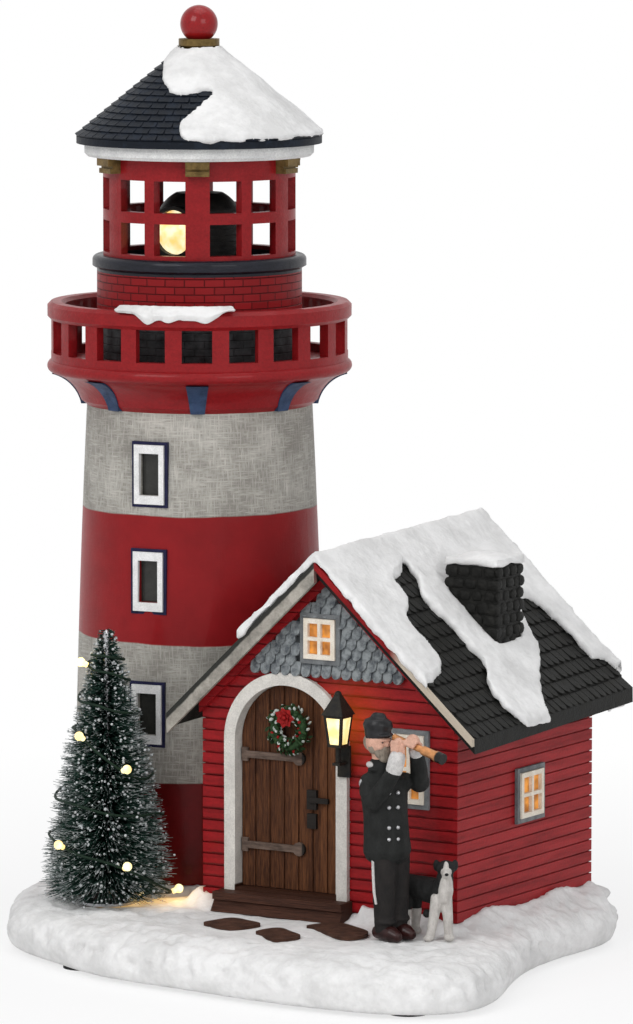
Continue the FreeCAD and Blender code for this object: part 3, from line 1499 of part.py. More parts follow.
def make_beacon_drive():
    place = (s.tower_x, s.tower_y, 0)
    deck_top = ledge_level + s.beacon_deck_thickness
    deck = cylinder("deck_disc", s.plinth_radius - s.plinth_wall - s.beacon_deck_gap, s.beacon_deck_thickness,
                    (s.tower_x, s.tower_y, ledge_level))
    hole = cylinder("deck_shaft_hole", s.shaft_hole_radius, s.beacon_deck_thickness + s.cutter_overrun * 2,
                    (s.tower_x + gear_centers, s.tower_y, ledge_level - s.cutter_overrun))
    node(cut("beacon_deck", deck, hole))
    motor = cylinder("motor_can", s.motor_radius, s.motor_height - s.seat_gap,
                     (s.tower_x + gear_centers, s.tower_y, ledge_level - s.motor_height))
    bore = cylinder("motor_bore", s.shaft_radius + s.bearing_gap, s.gear_face + s.cutter_overrun,
                    (s.tower_x + gear_centers, s.tower_y, ledge_level - s.gear_face))
    node(cut("beacon_motor", motor, bore))
    shaft_low = ledge_level - s.gear_face + s.thrust_gap
    pinion = gear_solid(s.pinion_teeth, None, wheel_level)
    pinion.rotate(ORIGIN, UP, FULL_TURN / 2 / s.pinion_teeth.value)
    shaft = Part.makeCylinder(float(s.shaft_radius), float(turntable_level - shaft_low), vector(0, 0, shaft_low))
    node(shaped("motor_pinion", merged([pinion, shaft]), (s.tower_x + gear_centers, s.tower_y, 0)))
    node(turned("beacon_lamp_post", [
        (0, deck_top), (s.post_flange_radius, deck_top), (s.post_flange_radius, deck_top + s.post_flange_height),
        (s.post_radius, deck_top + s.post_flange_height), (s.post_radius, deck_top + s.post_height),
        (0, deck_top + s.post_height + s.post_radius)], place))
    running = s.post_radius + s.bearing_gap
    wheel = gear_solid(s.wheel_teeth, running, wheel_level)
    table = Part.makeCylinder(float(s.turntable_radius), float(s.turntable_height), vector(0, 0, turntable_level))
    table = table.cut(Part.makeCylinder(float(running), float(s.turntable_height), vector(0, 0, turntable_level)))
    node(shaped("beacon_wheel", merged([wheel, table]), place))
    make_hood(place)


def make_hood(place):
    shoulder = hood_level + s.hood_height - s.hood_dome_rise
    top = hood_level + s.hood_height
    outside = [(s.hood_radius, hood_level)]
    for rib in range(int(s.hood_rib_count.value)):
        low = hood_level + s.hood_rib_pitch * (rib + 1)
        outside += [
            (s.hood_radius, low), (s.hood_radius - s.hood_rib_depth, low),
            (s.hood_radius - s.hood_rib_depth, low + s.hood_rib_pitch / 2),
            (s.hood_radius, low + s.hood_rib_pitch / 2)]
    outside += [(s.hood_radius, shoulder, s.hood_radius, 1), (s.hood_top_radius, top), (0, top)]
    bell = turned("hood_bell", [(s.hood_radius - s.hood_wall, hood_level)] + outside + [
        (0, top - s.hood_wall), (s.hood_top_radius - s.hood_wall, top - s.hood_wall),
        (s.hood_radius - s.hood_wall, shoulder)], place)
    middle = hood_level + s.barrel_height
    reach = s.barrel_reach
    barrel = bind(doc.addObject("Part::Cylinder", "hood_barrel"), Radius=s.barrel_radius, Height=reach)
    barrel.Placement = Placement(ORIGIN, Rotation(ACROSS, FULL_TURN / 4))
    settle(barrel, (s.tower_x, s.tower_y, middle))
    room = cylinder("hood_room", s.hood_radius - s.hood_wall, shoulder - hood_level,
                    (s.tower_x, s.tower_y, hood_level))
    tube = cut("hood_tube", barrel, room)
    bore = bind(doc.addObject("Part::Cylinder", "hood_bore"), Radius=s.barrel_bore, Height=reach + s.cutter_overrun)
    bore.Placement = Placement(ORIGIN, Rotation(ACROSS, FULL_TURN / 4))
    settle(bore, (s.tower_x, s.tower_y, middle))
    node(cut("beacon_hood", fused("hood_whole", bell, tube), bore))
    disc = bind(doc.addObject("Part::Cylinder", "lens_disc"), Radius=s.barrel_bore - s.seat_gap,
                Height=s.lens_thickness + s.lens_bulge)
    disc.Placement = Placement(ORIGIN, Rotation(ACROSS, FULL_TURN / 4))
    settle(disc, (s.tower_x, s.tower_y - reach + s.lens_thickness + s.lens_bulge, middle))
    dome = ball("lens_dome", s.lens_curve_radius, (s.tower_x, s.tower_y - reach + s.lens_curve_radius, middle))
    node(common("beacon_lens", disc, dome))


# House: walls, gable, windows, door


def common(label, base, tool):
    obj = doc.addObject("Part::Common", label)
    obj.Base = base
    obj.Tool = tool
    return obj


def leaned(obj):
    """Place a roof piece at the front of the ridge and lean it to the back."""
    obj.Placement = Placement(ORIGIN, Rotation(ACROSS, float(s.roof_lean)))
    return settle(obj, (house_middle, s.house_y, s.roof_apex_height), s.roof_lean)


def roof_point(reach, lift):
    """A point on a line along the slope, lifted square to it; a minus reach lies left of the ridge."""
    fall = reach * tangent(s.roof_pitch)
    if float(reach) > 0:
        fall = -fall
    return (reach, fall + lift / cosine(s.roof_pitch))


def roof_strip(span, low_lift, high_lift):
    return [
        roof_point(-span, low_lift), roof_point(span * 0, low_lift), roof_point(span, low_lift),
        roof_point(span, high_lift), roof_point(span * 0, high_lift), roof_point(-span, high_lift)]


def roof_prism(label, corners, near, length):
    """A prism along the house in the leaned frame of the roof, from `near` before the front wall."""
    body = body_named(label)
    pad(body, "XZ_Plane", [corners], length, near, backwards=True)
    return leaned(body)


def arch(half, foot, spring, middle):
    return [
        (middle - half, foot), (middle + half, foot), (middle + half, spring, half, 1),
        (middle, spring + half, half, 1), (middle - half, spring)]


def window_list():
    return (
        ("gable", s.house_x + s.gable_window_x, s.gable_window_height, s.gable_window_width, s.gable_window_tall,
         s.shingle_thickness),
        ("front", s.house_x + s.front_window_x, s.front_window_height, s.front_window_width, s.front_window_tall,
         s.window_seat),
        ("side", s.house_y + s.side_window_y, s.side_window_height, s.side_window_width, s.side_window_tall,
         s.window_seat),
    )


def wall_box(label, wall, middle, height, wide, tall, near, far):
    """A box centred on a window, between two depths behind the outer face of its wall."""
    low = height - tall / 2
    if wall == "side":
        return box(label, far - near, wide, tall, (house_right - far, middle - wide / 2, low))
    return box(label, wide, far - near, tall, (middle - wide / 2, s.house_y + near, low))


def make_tower_clearance():
    return turned("tower_clearance", tower_profile(s.tower_joint_gap), (s.tower_x, s.tower_y, 0))


def make_house_walls(clearance):
    body = body_named("wall_block")
    tall = s.roof_apex_height + s.roof_back_overhang - bank_top
    outer = rectangle(s.house_x, s.house_y, s.house_width, s.house_depth)
    inner = rectangle(s.house_x + s.house_wall, s.house_y + s.house_wall, s.house_width - s.house_wall * 2,
                      s.house_depth - s.house_wall * 2)
    pad(body, "XY_Plane", [outer, inner], tall, bank_top)
    over = s.cutter_overrun
    deep = s.clapboard_depth
    beyond = rectangle(s.house_x - over, s.house_y - over, s.house_width + over * 2, s.house_depth + over * 2)
    within = rectangle(s.house_x + deep, s.house_y + deep, s.house_width - deep * 2, s.house_depth - deep * 2)
    groove = pocket(body, "XY_Plane", [beyond, within], s.clapboard_groove, bank_top + s.clapboard_pitch)
    row_pattern(body, groove, "Z_Axis", s.clapboard_pitch * (s.clapboard_count - 1), s.clapboard_count)
    half = s.door_width / 2 + s.door_trim_width + s.seat_gap
    door = arch(half, s.door_foot_height, s.door_spring_height, door_middle)
    pocket(body, "XZ_Plane", [door], s.house_wall + over, over - s.house_y)
    trim = body_named("rake_trim")
    half = s.house_width / 2
    pad(trim, "XZ_Plane", [roof_strip(half, -s.rake_trim_width, s.window_seat)],
        s.rake_trim_proud + s.house_wall / 2, s.rake_trim_proud, backwards=True)
    settle(trim, (house_middle, s.house_y, s.roof_apex_height))
    limit = roof_prism("wall_limit", [
        roof_point(-s.roof_half_span, -s.seat_gap), roof_point(s.seat_gap * 0, -s.seat_gap),
        roof_point(s.roof_half_span, -s.seat_gap), (s.roof_half_span, -s.roof_apex_height),
        (-s.roof_half_span, -s.roof_apex_height)], s.roof_front_overhang, s.house_depth + s.roof_front_overhang * 2)
    tools = [clearance]
    for wall, middle, height, wide, tall, seat in window_list():
        gap = s.window_fit_gap * 2
        tools.append(wall_box(f"{wall}_opening", wall, middle, height, wide + gap, tall + gap,
                              -s.rake_trim_proud, s.house_wall + over))
    node(cut("house_walls", common("walls_below_roof", fused("walls_and_trim", body, trim), limit), *tools))


def make_gable_shingles():
    body = body_named("shingle_rows")
    foot = s.shingle_foot_height
    face = s.house_y - s.seat_gap
    count = int(s.shingle_row_count.value)
    rows = [(face, foot)]
    for row in range(count):
        low = foot + s.shingle_row_height * row
        rows += [(face - s.shingle_thickness, low),
                 (face - s.shingle_thickness / 2, low + s.shingle_row_height)]
    rows.append((face, foot + s.shingle_row_height * count))
    pad(body, "YZ_Plane", [rows], s.shingle_half_width * 2, both=True)
    settle(body, (house_middle,))
    gable = body_named("shingle_gable")
    tip = foot + s.shingle_half_width * tangent(s.roof_pitch)
    loop = [(house_middle - s.shingle_half_width, foot), (house_middle + s.shingle_half_width, foot),
            (house_middle, tip)]
    pad(gable, "XZ_Plane", [loop], s.shingle_thickness * 2, s.shingle_thickness * 2 - s.house_y, backwards=True)
    wall, middle, height, wide, tall, seat = window_list()[0]
    border = (s.window_surround_width + s.window_fit_gap * 2) * 2
    hole = wall_box("shingle_opening", wall, middle, height, wide + border, tall + border,
                    -s.shingle_thickness * 2, s.house_wall)
    node(cut("gable_shingles", common("shingle_panel", body, gable), hole))


def make_windows():
    surrounds, frames, panes = [], [], []
    for wall, middle, height, wide, tall, seat in window_list():
        gap = s.window_fit_gap
        face = -seat - s.window_surround_proud
        border = s.window_surround_width * 2 + gap * 2
        rim = wall_box(f"{wall}_surround_block", wall, middle, height, wide + border, tall + border,
                       face, -s.seat_gap)
        hole = wall_box(f"{wall}_surround_hole", wall, middle, height, wide + gap * 2, tall + gap * 2,
                        face - s.cutter_overrun, s.cutter_overrun)
        surrounds.append(cut(f"{wall}_surround", rim, hole))
        frame_face = -seat - s.window_frame_proud
        ring = s.window_frame_width * 2
        block_box = wall_box(f"{wall}_frame_block", wall, middle, height, wide, tall, frame_face, s.house_wall)
        inner = wall_box(f"{wall}_frame_hole", wall, middle, height, wide - ring, tall - ring,
                         frame_face - s.cutter_overrun, s.house_wall + s.cutter_overrun)
        casing = cut(f"{wall}_casing", block_box, inner)
        bar_deep = frame_face + s.window_bar_depth
        post = wall_box(f"{wall}_bar_upright", wall, middle, height, s.window_bar_width, tall - ring / 2,
                        frame_face, bar_deep)
        rail = wall_box(f"{wall}_bar_across", wall, middle, height, wide - ring / 2, s.window_bar_width,
                        frame_face, bar_deep)
        frames.append(fused(f"{wall}_frame", casing, post, rail))
        near = bar_deep + s.seat_gap
        panes.append(wall_box(f"{wall}_pane", wall, middle, height, wide - ring - s.seat_gap * 2,
                              tall - ring - s.seat_gap * 2, near, near + s.window_pane_thickness))
    node(gathered("window_surrounds", *surrounds))
    node(gathered("window_frames", *frames))
    node(gathered("window_panes", *panes))


def make_door():
    outer = arch(s.door_width / 2 + s.door_trim_width, s.door_foot_height, s.door_spring_height, door_middle)
    inner = arch(s.door_width / 2, s.door_foot_height + s.door_sill, s.door_spring_height, door_middle)
    trim = body_named("door_surround")
    pad(trim, "XZ_Plane", [outer, inner], s.door_trim_proud + s.house_wall, s.door_trim_proud - s.house_y,
        backwards=True)
    node(trim)
    leaf_half = s.door_width / 2 - s.door_leaf_gap
    leaf_foot = s.door_foot_height + s.door_sill + s.door_leaf_gap
    shape = arch(leaf_half, leaf_foot, s.door_spring_height, door_middle)
    leaf = body_named("door_leaf")
    face = -s.house_y - s.door_leaf_depth
    pad(leaf, "XZ_Plane", [shape], s.door_leaf_thickness, face, backwards=True)
    pitch = s.door_width / s.plank_count
    first = door_middle - s.door_width / 2 + pitch - s.plank_groove / 2
    groove = rectangle(first, leaf_foot - s.cutter_overrun, s.plank_groove,
                       s.door_spring_height - leaf_foot + s.door_width / 2 + s.cutter_overrun * 2)
    row = pocket(leaf, "XZ_Plane", [groove], s.plank_groove_depth + s.cutter_overrun, face + s.cutter_overrun)
    row_pattern(leaf, row, "X_Axis", pitch * (s.plank_count - 2), s.plank_count - 1)
    node(leaf)
    front = s.house_y + s.door_leaf_depth - s.seat_gap
    iron = []
    left = door_middle - leaf_half + s.strap_inset
    for name, height in (("low", s.low_strap_height), ("high", s.high_strap_height)):
        bar = box(f"{name}_strap_bar", s.strap_length - s.strap_width / 2, s.strap_thickness, s.strap_width / 2,
                  (left, front - s.strap_thickness, height - s.strap_width / 4))
        tip = bind(doc.addObject("Part::Cylinder", f"{name}_strap_tip"), Radius=s.strap_width / 2,
                   Height=s.strap_thickness)
        tip.Placement = Placement(ORIGIN, Rotation(ACROSS, FULL_TURN / 4))
        settle(tip, (left + s.strap_length - s.strap_width / 2, front, height))
        root = box(f"{name}_strap_root", s.strap_width / 2, s.strap_thickness, s.strap_width,
                   (left, front - s.strap_thickness, height - s.strap_width / 2))
        iron.append(fused(f"{name}_strap", bar, tip, root))
    latch_x = s.house_x + s.latch_x
    plate = box("latch_plate", s.latch_plate_width, s.strap_thickness, s.latch_plate_height,
                (latch_x - s.latch_plate_width / 2, front - s.strap_thickness,
                 s.latch_height - s.latch_plate_height / 2))
    lever = box("latch_lever", s.latch_lever_length, s.strap_thickness, s.latch_lever_width,
                (latch_x - s.latch_plate_width / 4, front - s.strap_thickness - s.latch_proud / 2,
                 s.latch_height - s.latch_lever_width / 2))
    lock = box("lock_plate", s.lock_width, s.strap_thickness, s.lock_plate_height,
               (latch_x - s.lock_width / 2, front - s.strap_thickness, s.lock_height - s.lock_plate_height / 2))
    iron += [fused("latch", plate, lever), lock]
    node(gathered("door_ironwork", *iron))
    step = body_named("doorstep")
    low = s.house_y - s.step_depth
    back = s.house_y - s.seat_gap
    top = s.door_foot_height
    pad(step, "YZ_Plane", [[
        (low, s.ground_height), (back, s.ground_height), (back, top), (low + s.step_slope / 2, top),
        (low + s.step_slope / 2, top - s.step_lip), (low + s.step_slope, top - s.step_lip)]],
        s.step_width - s.seat_gap * 2, both=True)
    node(settle(step, (door_middle,)))
    make_wreath(front)


def make_wreath(front):
    depth = front - s.strap_thickness - s.wreath_thickness
    top = s.wreath_height + s.wreath_radius
    corners = []
    for step in range(RING_STEPS):
        angle = math.radians(FULL_TURN * (step + HALF_STEP) / RING_STEPS)
        corners.append((s.wreath_radius + s.wreath_thickness * math.cos(angle), -s.wreath_thickness * math.sin(angle)))
    ring = turned_solid(corners)
    ring.rotate(ORIGIN, ACROSS, FULL_TURN / 4)
    ring.translate(vector(0, depth, s.wreath_height))
    loops = []
    for side in (-1, 0, 1):
        share = 1 - abs(side) / 4
        loops.append(Part.makeSphere(float(s.wreath_bow_radius * share),
                                     vector(s.wreath_bow_radius * side, depth - s.wreath_thickness, top)))
    bow = merged(loops).cut(ring)
    nail = Part.makeCylinder(float(s.wreath_thickness / 3), float(s.strap_thickness + s.wreath_thickness),
                             vector(0, front, top), -BACK).cut(ring)
    node(shaped("wreath", Part.makeCompound([ring, bow, nail]), (s.house_x + s.wreath_x, 0, 0)))


# House roof with its boards, snow and chimney


def make_house_roof(clearance):
    span = s.roof_half_span
    full = s.roof_thickness
    low = full - s.roof_course_step
    run = span / s.roof_course_count
    count = int(s.roof_course_count.value)
    corners = [roof_point(span * 0, span * 0), roof_point(span, span * 0)]
    for course in range(count, 0, -1):
        corners.append(roof_point(run * course, full))
        corners.append(roof_point(run * (course - 1), low))
    for course in range(1, count + 1):
        corners.append(roof_point(-run * course, full))
        if course < count:
            corners.append(roof_point(-run * course, low))
    corners.append(roof_point(-span, span * 0))
    length = s.house_depth + s.roof_front_overhang + s.roof_back_overhang
    slab = roof_prism("roof_slab", corners, s.roof_front_overhang, length)
    node(cut("house_roof", slab, clearance))
    boards = []
    near = s.roof_front_overhang + s.board_thickness_front + s.seat_gap
    for side, width in ((-1, s.board_left_width), (1, s.board_right_width)):
        top = full
        start = span * 0
        strip = [roof_point(start, top - width), roof_point(span * side, top - width),
                 roof_point(span * side, top), roof_point(start, top)]
        boards.append(roof_prism(f"bargeboard_{side + 2}", strip, near, s.board_thickness_front))
    whole = fused("bargeboard_pair", *boards)
    node(cut("bargeboards", whole, clearance))


def roof_limit(label, lift):
    """Everything below a surface lifted square to the roof."""
    far = s.roof_half_span * 2
    return roof_prism(label, [
        roof_point(-far, lift), roof_point(far * 0, lift), roof_point(far, lift), (far, -s.roof_apex_height * 2),
        (-far, -s.roof_apex_height * 2)], s.roof_front_overhang * 3, s.house_depth + s.roof_front_overhang * 6)


def plan_prism(shares, low, high):
    """A smooth outline in shares of the house depth from the front of the ridge, drawn straight up."""
    depth = float(s.house_depth)
    points = [Vector(float(house_middle) + v * depth, float(s.house_y) + u * depth, float(low)) for v, u in shares]
    return Part.Face(Part.Wire(smooth_loop(points).toShape())).extrude(vector(0, 0, high - low))


def make_roof_snow(clearance):
    ready = [roof_limit("snow_top", s.roof_thickness + s.roof_snow_thickness),
             roof_limit("snow_foot", s.roof_thickness + s.seat_gap)]
    doc.recompute()
    top, foot = (item.Shape for item in ready)
    low = s.ground_height
    high = s.roof_apex_height + s.house_wall * 10
    snow = plan_prism(ROOF_SNOW_SHARES, low, high)
    snow = snow.cut([plan_prism(shares, low, high) for shares in BARE_SHARES])
    snow = snow.common(top).cut([foot, clearance.Shape])
    stack = chimney_block(s.seat_gap, low, high)
    snow = snow.cut(stack)
    solids = [solid for solid in snow.Solids if solid.Volume > float(s.roof_thickness) ** 3]
    cap = chimney_block(s.chimney_snow_overhang, s.chimney_top_height + s.seat_gap,
                        s.chimney_top_height + s.roof_snow_thickness)
    flue = chimney_block(-s.chimney_wall, low, high)
    solids.append(cap.cut(flue))
    node(shaped("house_roof_snow", Part.makeCompound(solids)))


def chimney_block(grow, low, high):
    half = s.chimney_width / 2 + grow
    deep = s.chimney_depth / 2 + grow
    return rounded_block(s.chimney_x - half, s.chimney_y - deep, s.chimney_x + half, s.chimney_y + deep,
                         s.chimney_corner, low, high, 0)


def make_chimney():
    stack = body_named("chimney_stack")
    half = s.chimney_width / 2
    deep = s.chimney_depth / 2
    turn = s.chimney_corner
    left, right = s.chimney_x - half, s.chimney_x + half
    near, far = s.chimney_y - deep, s.chimney_y + deep
    low = s.chimney_top_height - s.chimney_drop
    pad(stack, "XY_Plane", [[
        (left + turn, near), (right - turn, near, turn, 1), (right, near + turn), (right, far - turn, turn, 1),
        (right - turn, far), (left + turn, far, turn, 1), (left, far - turn), (left, near + turn, turn, 1)]],
        s.chimney_drop, low)
    wall = s.chimney_wall
    hole = rectangle(left + wall, near + wall, s.chimney_width - wall * 2, s.chimney_depth - wall * 2)
    pocket(stack, "XY_Plane", [hole], s.chimney_flue_depth, s.chimney_top_height)
    node(cut("chimney", stack, roof_limit("chimney_foot", s.roof_thickness + s.seat_gap)))


# Wall lamp


def tapered(low_half, high_half, low, high):
    """A square frustum centred on the axis."""
    wires = []
    for half, level in ((low_half, low), (high_half, high)):
        reach = float(half)
        corners = [Vector(-reach, -reach, float(level)), Vector(reach, -reach, float(level)),
                   Vector(reach, reach, float(level)), Vector(-reach, reach, float(level))]
        wires.append(Part.makePolygon(corners + corners[:1]))
    return Part.makeLoft(wires, True, True)


def make_wall_lamp():
    foot = s.lamp_foot_height
    top = foot + s.lamp_glass_height
    low_half, high_half = s.lamp_foot_width / 2, s.lamp_head_width / 2
    bar, plate = s.lamp_bar, s.lamp_plate
    room_foot, room_top = foot + plate, top - plate
    cage = tapered(low_half, high_half, foot, top)
    cage = cage.cut(tapered(low_half - bar, high_half - bar, room_foot, room_top))
    slope = (s.lamp_head_width - s.lamp_foot_width) / 2 / s.lamp_glass_height
    low_open = low_half - bar + slope * bar
    high_open = high_half - bar - slope * bar
    for turn in (0, 1):
        hole = Part.makeLoft([
            Part.makePolygon([
                vector(-half, -s.lamp_head_width, level), vector(half, -s.lamp_head_width, level),
                vector(half, s.lamp_head_width, level), vector(-half, s.lamp_head_width, level),
                vector(-half, -s.lamp_head_width, level)])
            for half, level in ((low_open, room_foot), (high_open, room_top))], True, True)
        hole.rotate(ORIGIN, UP, FULL_TURN / 4 * turn)
        cage = cage.cut(hole)
    roof = tapered(s.lamp_roof_width / 2, bar, top, top + s.lamp_roof_height)
    knob = Part.makeSphere(float(s.lamp_knob_radius), vector(0, 0, top + s.lamp_roof_height))
    stem = Part.makeCylinder(float(bar), float(s.lamp_arm_drop / 2), vector(0, 0, foot - s.lamp_arm_drop / 2))
    arm_half = s.lamp_arm_width / 2
    reach = s.lamp_reach - s.door_trim_proud - s.seat_gap
    arm = block((-arm_half, -arm_half, foot - s.lamp_arm_drop / 2 - bar), (arm_half, reach, foot - s.lamp_arm_drop / 2))
    half_plate = s.lamp_backplate_width / 2
    back = block((-half_plate, reach - bar, foot - s.lamp_arm_drop), (half_plate, reach, foot))
    bulb = Part.makeSphere(float(s.lamp_bulb_radius), vector(0, 0, foot + plate + s.lamp_bulb_radius))
    post = Part.makeCylinder(float(bar / 2), float(plate + s.lamp_bulb_radius), vector(0, 0, foot))
    lamp = merged([cage, roof, knob, stem, arm, back, post, bulb])
    place = (s.house_x + s.lamp_x, s.house_y - s.lamp_reach, 0)
    node(shaped("wall_lamp", lamp, place))
    panes = []
    gap = s.lamp_pane_gap
    thin = bar - gap * 2
    shell = tapered(low_half - gap, high_half - gap, foot, top)
    shell = shell.cut(tapered(low_half - gap - thin, high_half - gap - thin, foot, top))
    for turn in range(4):
        wedge = Part.makeLoft([
            Part.makePolygon([
                vector(-half + gap, -s.lamp_head_width, level), vector(half - gap, -s.lamp_head_width, level),
                vector(half - gap, 0, level), vector(-half + gap, 0, level),
                vector(-half + gap, -s.lamp_head_width, level)])
            for half, level in ((low_open, room_foot + gap), (high_open, room_top - gap))], True, True)
        pane = wedge.common(shell)
        pane.rotate(ORIGIN, UP, FULL_TURN / 4 * turn)
        panes.append(pane)
    node(shaped("wall_lamp_panes", Part.makeCompound(panes), place))


# Standing figure, its telescope, the sitting dog and the stones


def ellipsoid(middle, across, along, tall, turn=0):
    shape = Part.makeSphere(1)
    matrix = FreeCAD.Matrix()
    matrix.scale(float(across), float(along), float(tall))
    shape = shape.transformGeometry(matrix)
    shape.rotate(ORIGIN, UP, float(turn))
    return shape.translated(middle)


def stations(shares, size):
    """Turn rows of shares into places and radii."""
    unit = float(size)
    rows = []
    for row in shares:
        place = Vector(row[0] * unit, row[1] * unit, row[2] * unit)
        rows.append((place,) + tuple(value * unit for value in row[3:]))
    return rows


def lump(row, size, turn=0):
    unit = float(size)
    middle = Vector(row[0] * unit, row[1] * unit, row[2] * unit)
    return ellipsoid(middle, row[3] * unit, row[4] * unit, row[5] * unit, turn)


def telescope_tubes(grow):
    start, end = (Vector(*[value * float(s.keeper_height) for value in row]) for row in TELESCOPE_SHARES)
    way = end - start
    way.normalize()
    length = (end - start).Length
    tubes = []
    for first, last, radius_share in TELESCOPE_TUBE_SHARES:
        radius = float(s.telescope_front_radius) * radius_share + float(grow)
        tubes.append(Part.makeCylinder(radius, length * (last - first), start + way * length * first, way))
    return tubes


def make_keeper():
    size = s.keeper_height
    pieces = [limb(stations(shares, size)) for shares in KEEPER_LIMB_SHARES]
    pieces += [lump(row, size, turn) for row, turn in KEEPER_LUMP_SHARES]
    figure = merged(pieces)
    unit = float(size)
    below = Part.makeBox(unit, unit, unit, Vector(-unit / 2, -unit / 2, -unit))
    figure = figure.cut([below, telescope_tubes(s.seat_gap)[0]])
    place = (s.keeper_x, s.keeper_y, s.ground_height)
    node(shaped("keeper_figure", figure, place, s.view_turn))
    node(shaped("keeper_telescope", merged(telescope_tubes(0)), place, s.view_turn))


def make_dog():
    size = s.dog_height
    pieces = [limb(stations(shares, size)) for shares in DOG_LIMB_SHARES]
    pieces += [lump(row, size, turn) for row, turn in DOG_LUMP_SHARES]
    unit = float(size)
    below = Part.makeBox(unit * 2, unit * 2, unit, Vector(-unit, -unit, -unit))
    node(shaped("dog", merged(pieces).cut(below), (s.dog_x, s.dog_y, s.ground_height), s.view_turn))


def make_stones():
    stones = []
    spread = float(s.stone_spread)
    for shares in STONE_SHARES:
        points = [Vector(float(s.house_x) + across * spread, float(s.house_y) + along * spread,
                         float(s.ground_height)) for across, along in shares]
        stones.append(Part.Face(Part.Wire(smooth_loop(points).toShape())).extrude(vector(0, 0, s.stone_thickness)))
    node(shaped("stepping_stones", Part.makeCompound(stones)))


# Brush tree with its lights


def tree_reach(height):
    """Radius of the brush at a height above the ground."""
    share = float(height) / float(s.tree_height)
    low = TREE_SHARES[0]
    for high in TREE_SHARES[1:]:
        if share <= high[0]:
            break
        low = high
    mix = (share - low[0]) / (high[0] - low[0])
    return float(s.tree_radius) * (low[1] + (high[1] - low[1]) * mix)


def make_tree():
    ground = s.ground_height
    count = int(s.tree_tier_count.value)
    bore = s.trunk_radius + s.trunk_gap
    run = (s.tree_height - s.tree_skirt_height) / s.tree_tier_count
    corners = [(bore, ground + s.tree_skirt_height)]
    for tier in range(count):
        low = s.tree_skirt_height + run * tier
        high = low + run
        corners.append((as_length(tree_reach(low)), ground + low))
        corners.append((as_length(tree_reach(high)) - s.tree_tier_step * (1 - tier / count), ground + high))
    corners.append((bore, ground + s.tree_height))
    node(turned("tree_bristles", corners, (s.tree_x, s.tree_y, 0)))
    stand_top = ground + s.tree_stand_height
    node(turned("tree_trunk", [
        (0, ground), (s.tree_stand_radius, ground), (s.tree_stand_radius, ground + s.tree_stand_height / 2),
        (s.tree_stand_radius - s.tree_stand_height, stand_top), (s.trunk_radius * 2, stand_top),
        (s.trunk_radius, stand_top + s.trunk_radius), (s.trunk_radius, ground + s.tree_height - s.trunk_radius),
        (0, ground + s.tree_height)], (s.tree_x, s.tree_y, 0)))
    make_tree_lights()


def wire_stations():
    """Points of the light wire round the brush, from the base upwards, in the frame of the view."""
    out = float(s.light_wire_radius + s.light_wire_gap + s.light_wire_slack)
    foot = polar(light_wire_foot_reach(), WIRE_FOOT_TURN, 0)
    points = [foot - UP * float(s.ground_height - s.foot_height) / 2, foot]
    for turn, reach_share, height_share in WIRE_TAIL_SHARES:
        points.append(polar(s.tree_radius * reach_share, turn, s.tree_height * height_share))
    rows = WIRE_WIND_SHARES
    for (turn, height), (next_turn, next_height) in zip(rows, rows[1:]):
        steps = max(1, round(abs(next_turn - turn) / WIRE_STEP))
        for step in range(steps):
            mix = step / steps
            level = float(s.tree_height) * (height + (next_height - height) * mix)
            points.append(polar(tree_reach(level) + out, turn + (next_turn - turn) * mix, level))
    level = float(s.tree_height) * rows[-1][1]
    points.append(polar(tree_reach(level) + out, rows[-1][0], level))
    return points


def light_wire_foot_reach():
    return s.tree_stand_radius + s.light_wire_radius + s.light_wire_gap


def wire_ways(points):
    """Direction of the wire at each point, from the circle through its neighbours."""
    ways = []
    for index, point in enumerate(points):
        if index <= 1:
            way = points[1] - points[0]
        elif index < len(points) - 1:
            before = point - points[index - 1]
            after = points[index + 1] - point
            way = before / before.dot(before) + after / after.dot(after)
        else:
            chord = point - points[index - 1]
            way = chord * (2 * ways[-1].dot(chord) / chord.dot(chord)) - ways[-1]
        way.normalize()
        ways.append(way)
    return ways


def biarcs(points):
    """Two tangent arcs between each pair of points."""
    ways = wire_ways(points)
    edges = []
    for index in range(len(points) - 1):
        start, end = points[index], points[index + 1]
        first, last = ways[index], ways[index + 1]
        span = end - start
        both = first + last
        spare = 2 * (1 - first.dot(last))
        if spare < 1e-9:
            edges.append(Part.LineSegment(start, end).toShape())
            continue
        lead = (math.sqrt(span.dot(both) ** 2 + spare * span.dot(span)) - span.dot(both)) / spare
        meet = (start + end + (first - last) * lead) / 2
        edges.append(tangent_arc(start, meet, first))
        edges.append(tangent_arc(meet, end, None, last))
    return edges


def tangent_arc(start, end, leaving, arriving=None):
    chord = end - start
    way = leaving if leaving is not None else arriving
    along = chord.dot(way) / chord.Length
    if abs(along) > 1 - 1e-9:
        return Part.LineSegment(start, end).toShape()
    unit = Vector(chord)
    unit.normalize()
    square = way - unit * way.dot(unit)
    square.normalize()
    if leaving is None:
        square = -square
    half_angle = math.acos(max(-1.0, min(1.0, along)))
    bulge = chord.Length / 2 * math.tan(half_angle / 2)
    middle = (start + end) / 2 + square * bulge
    return Part.Arc(start, middle, end).toShape()


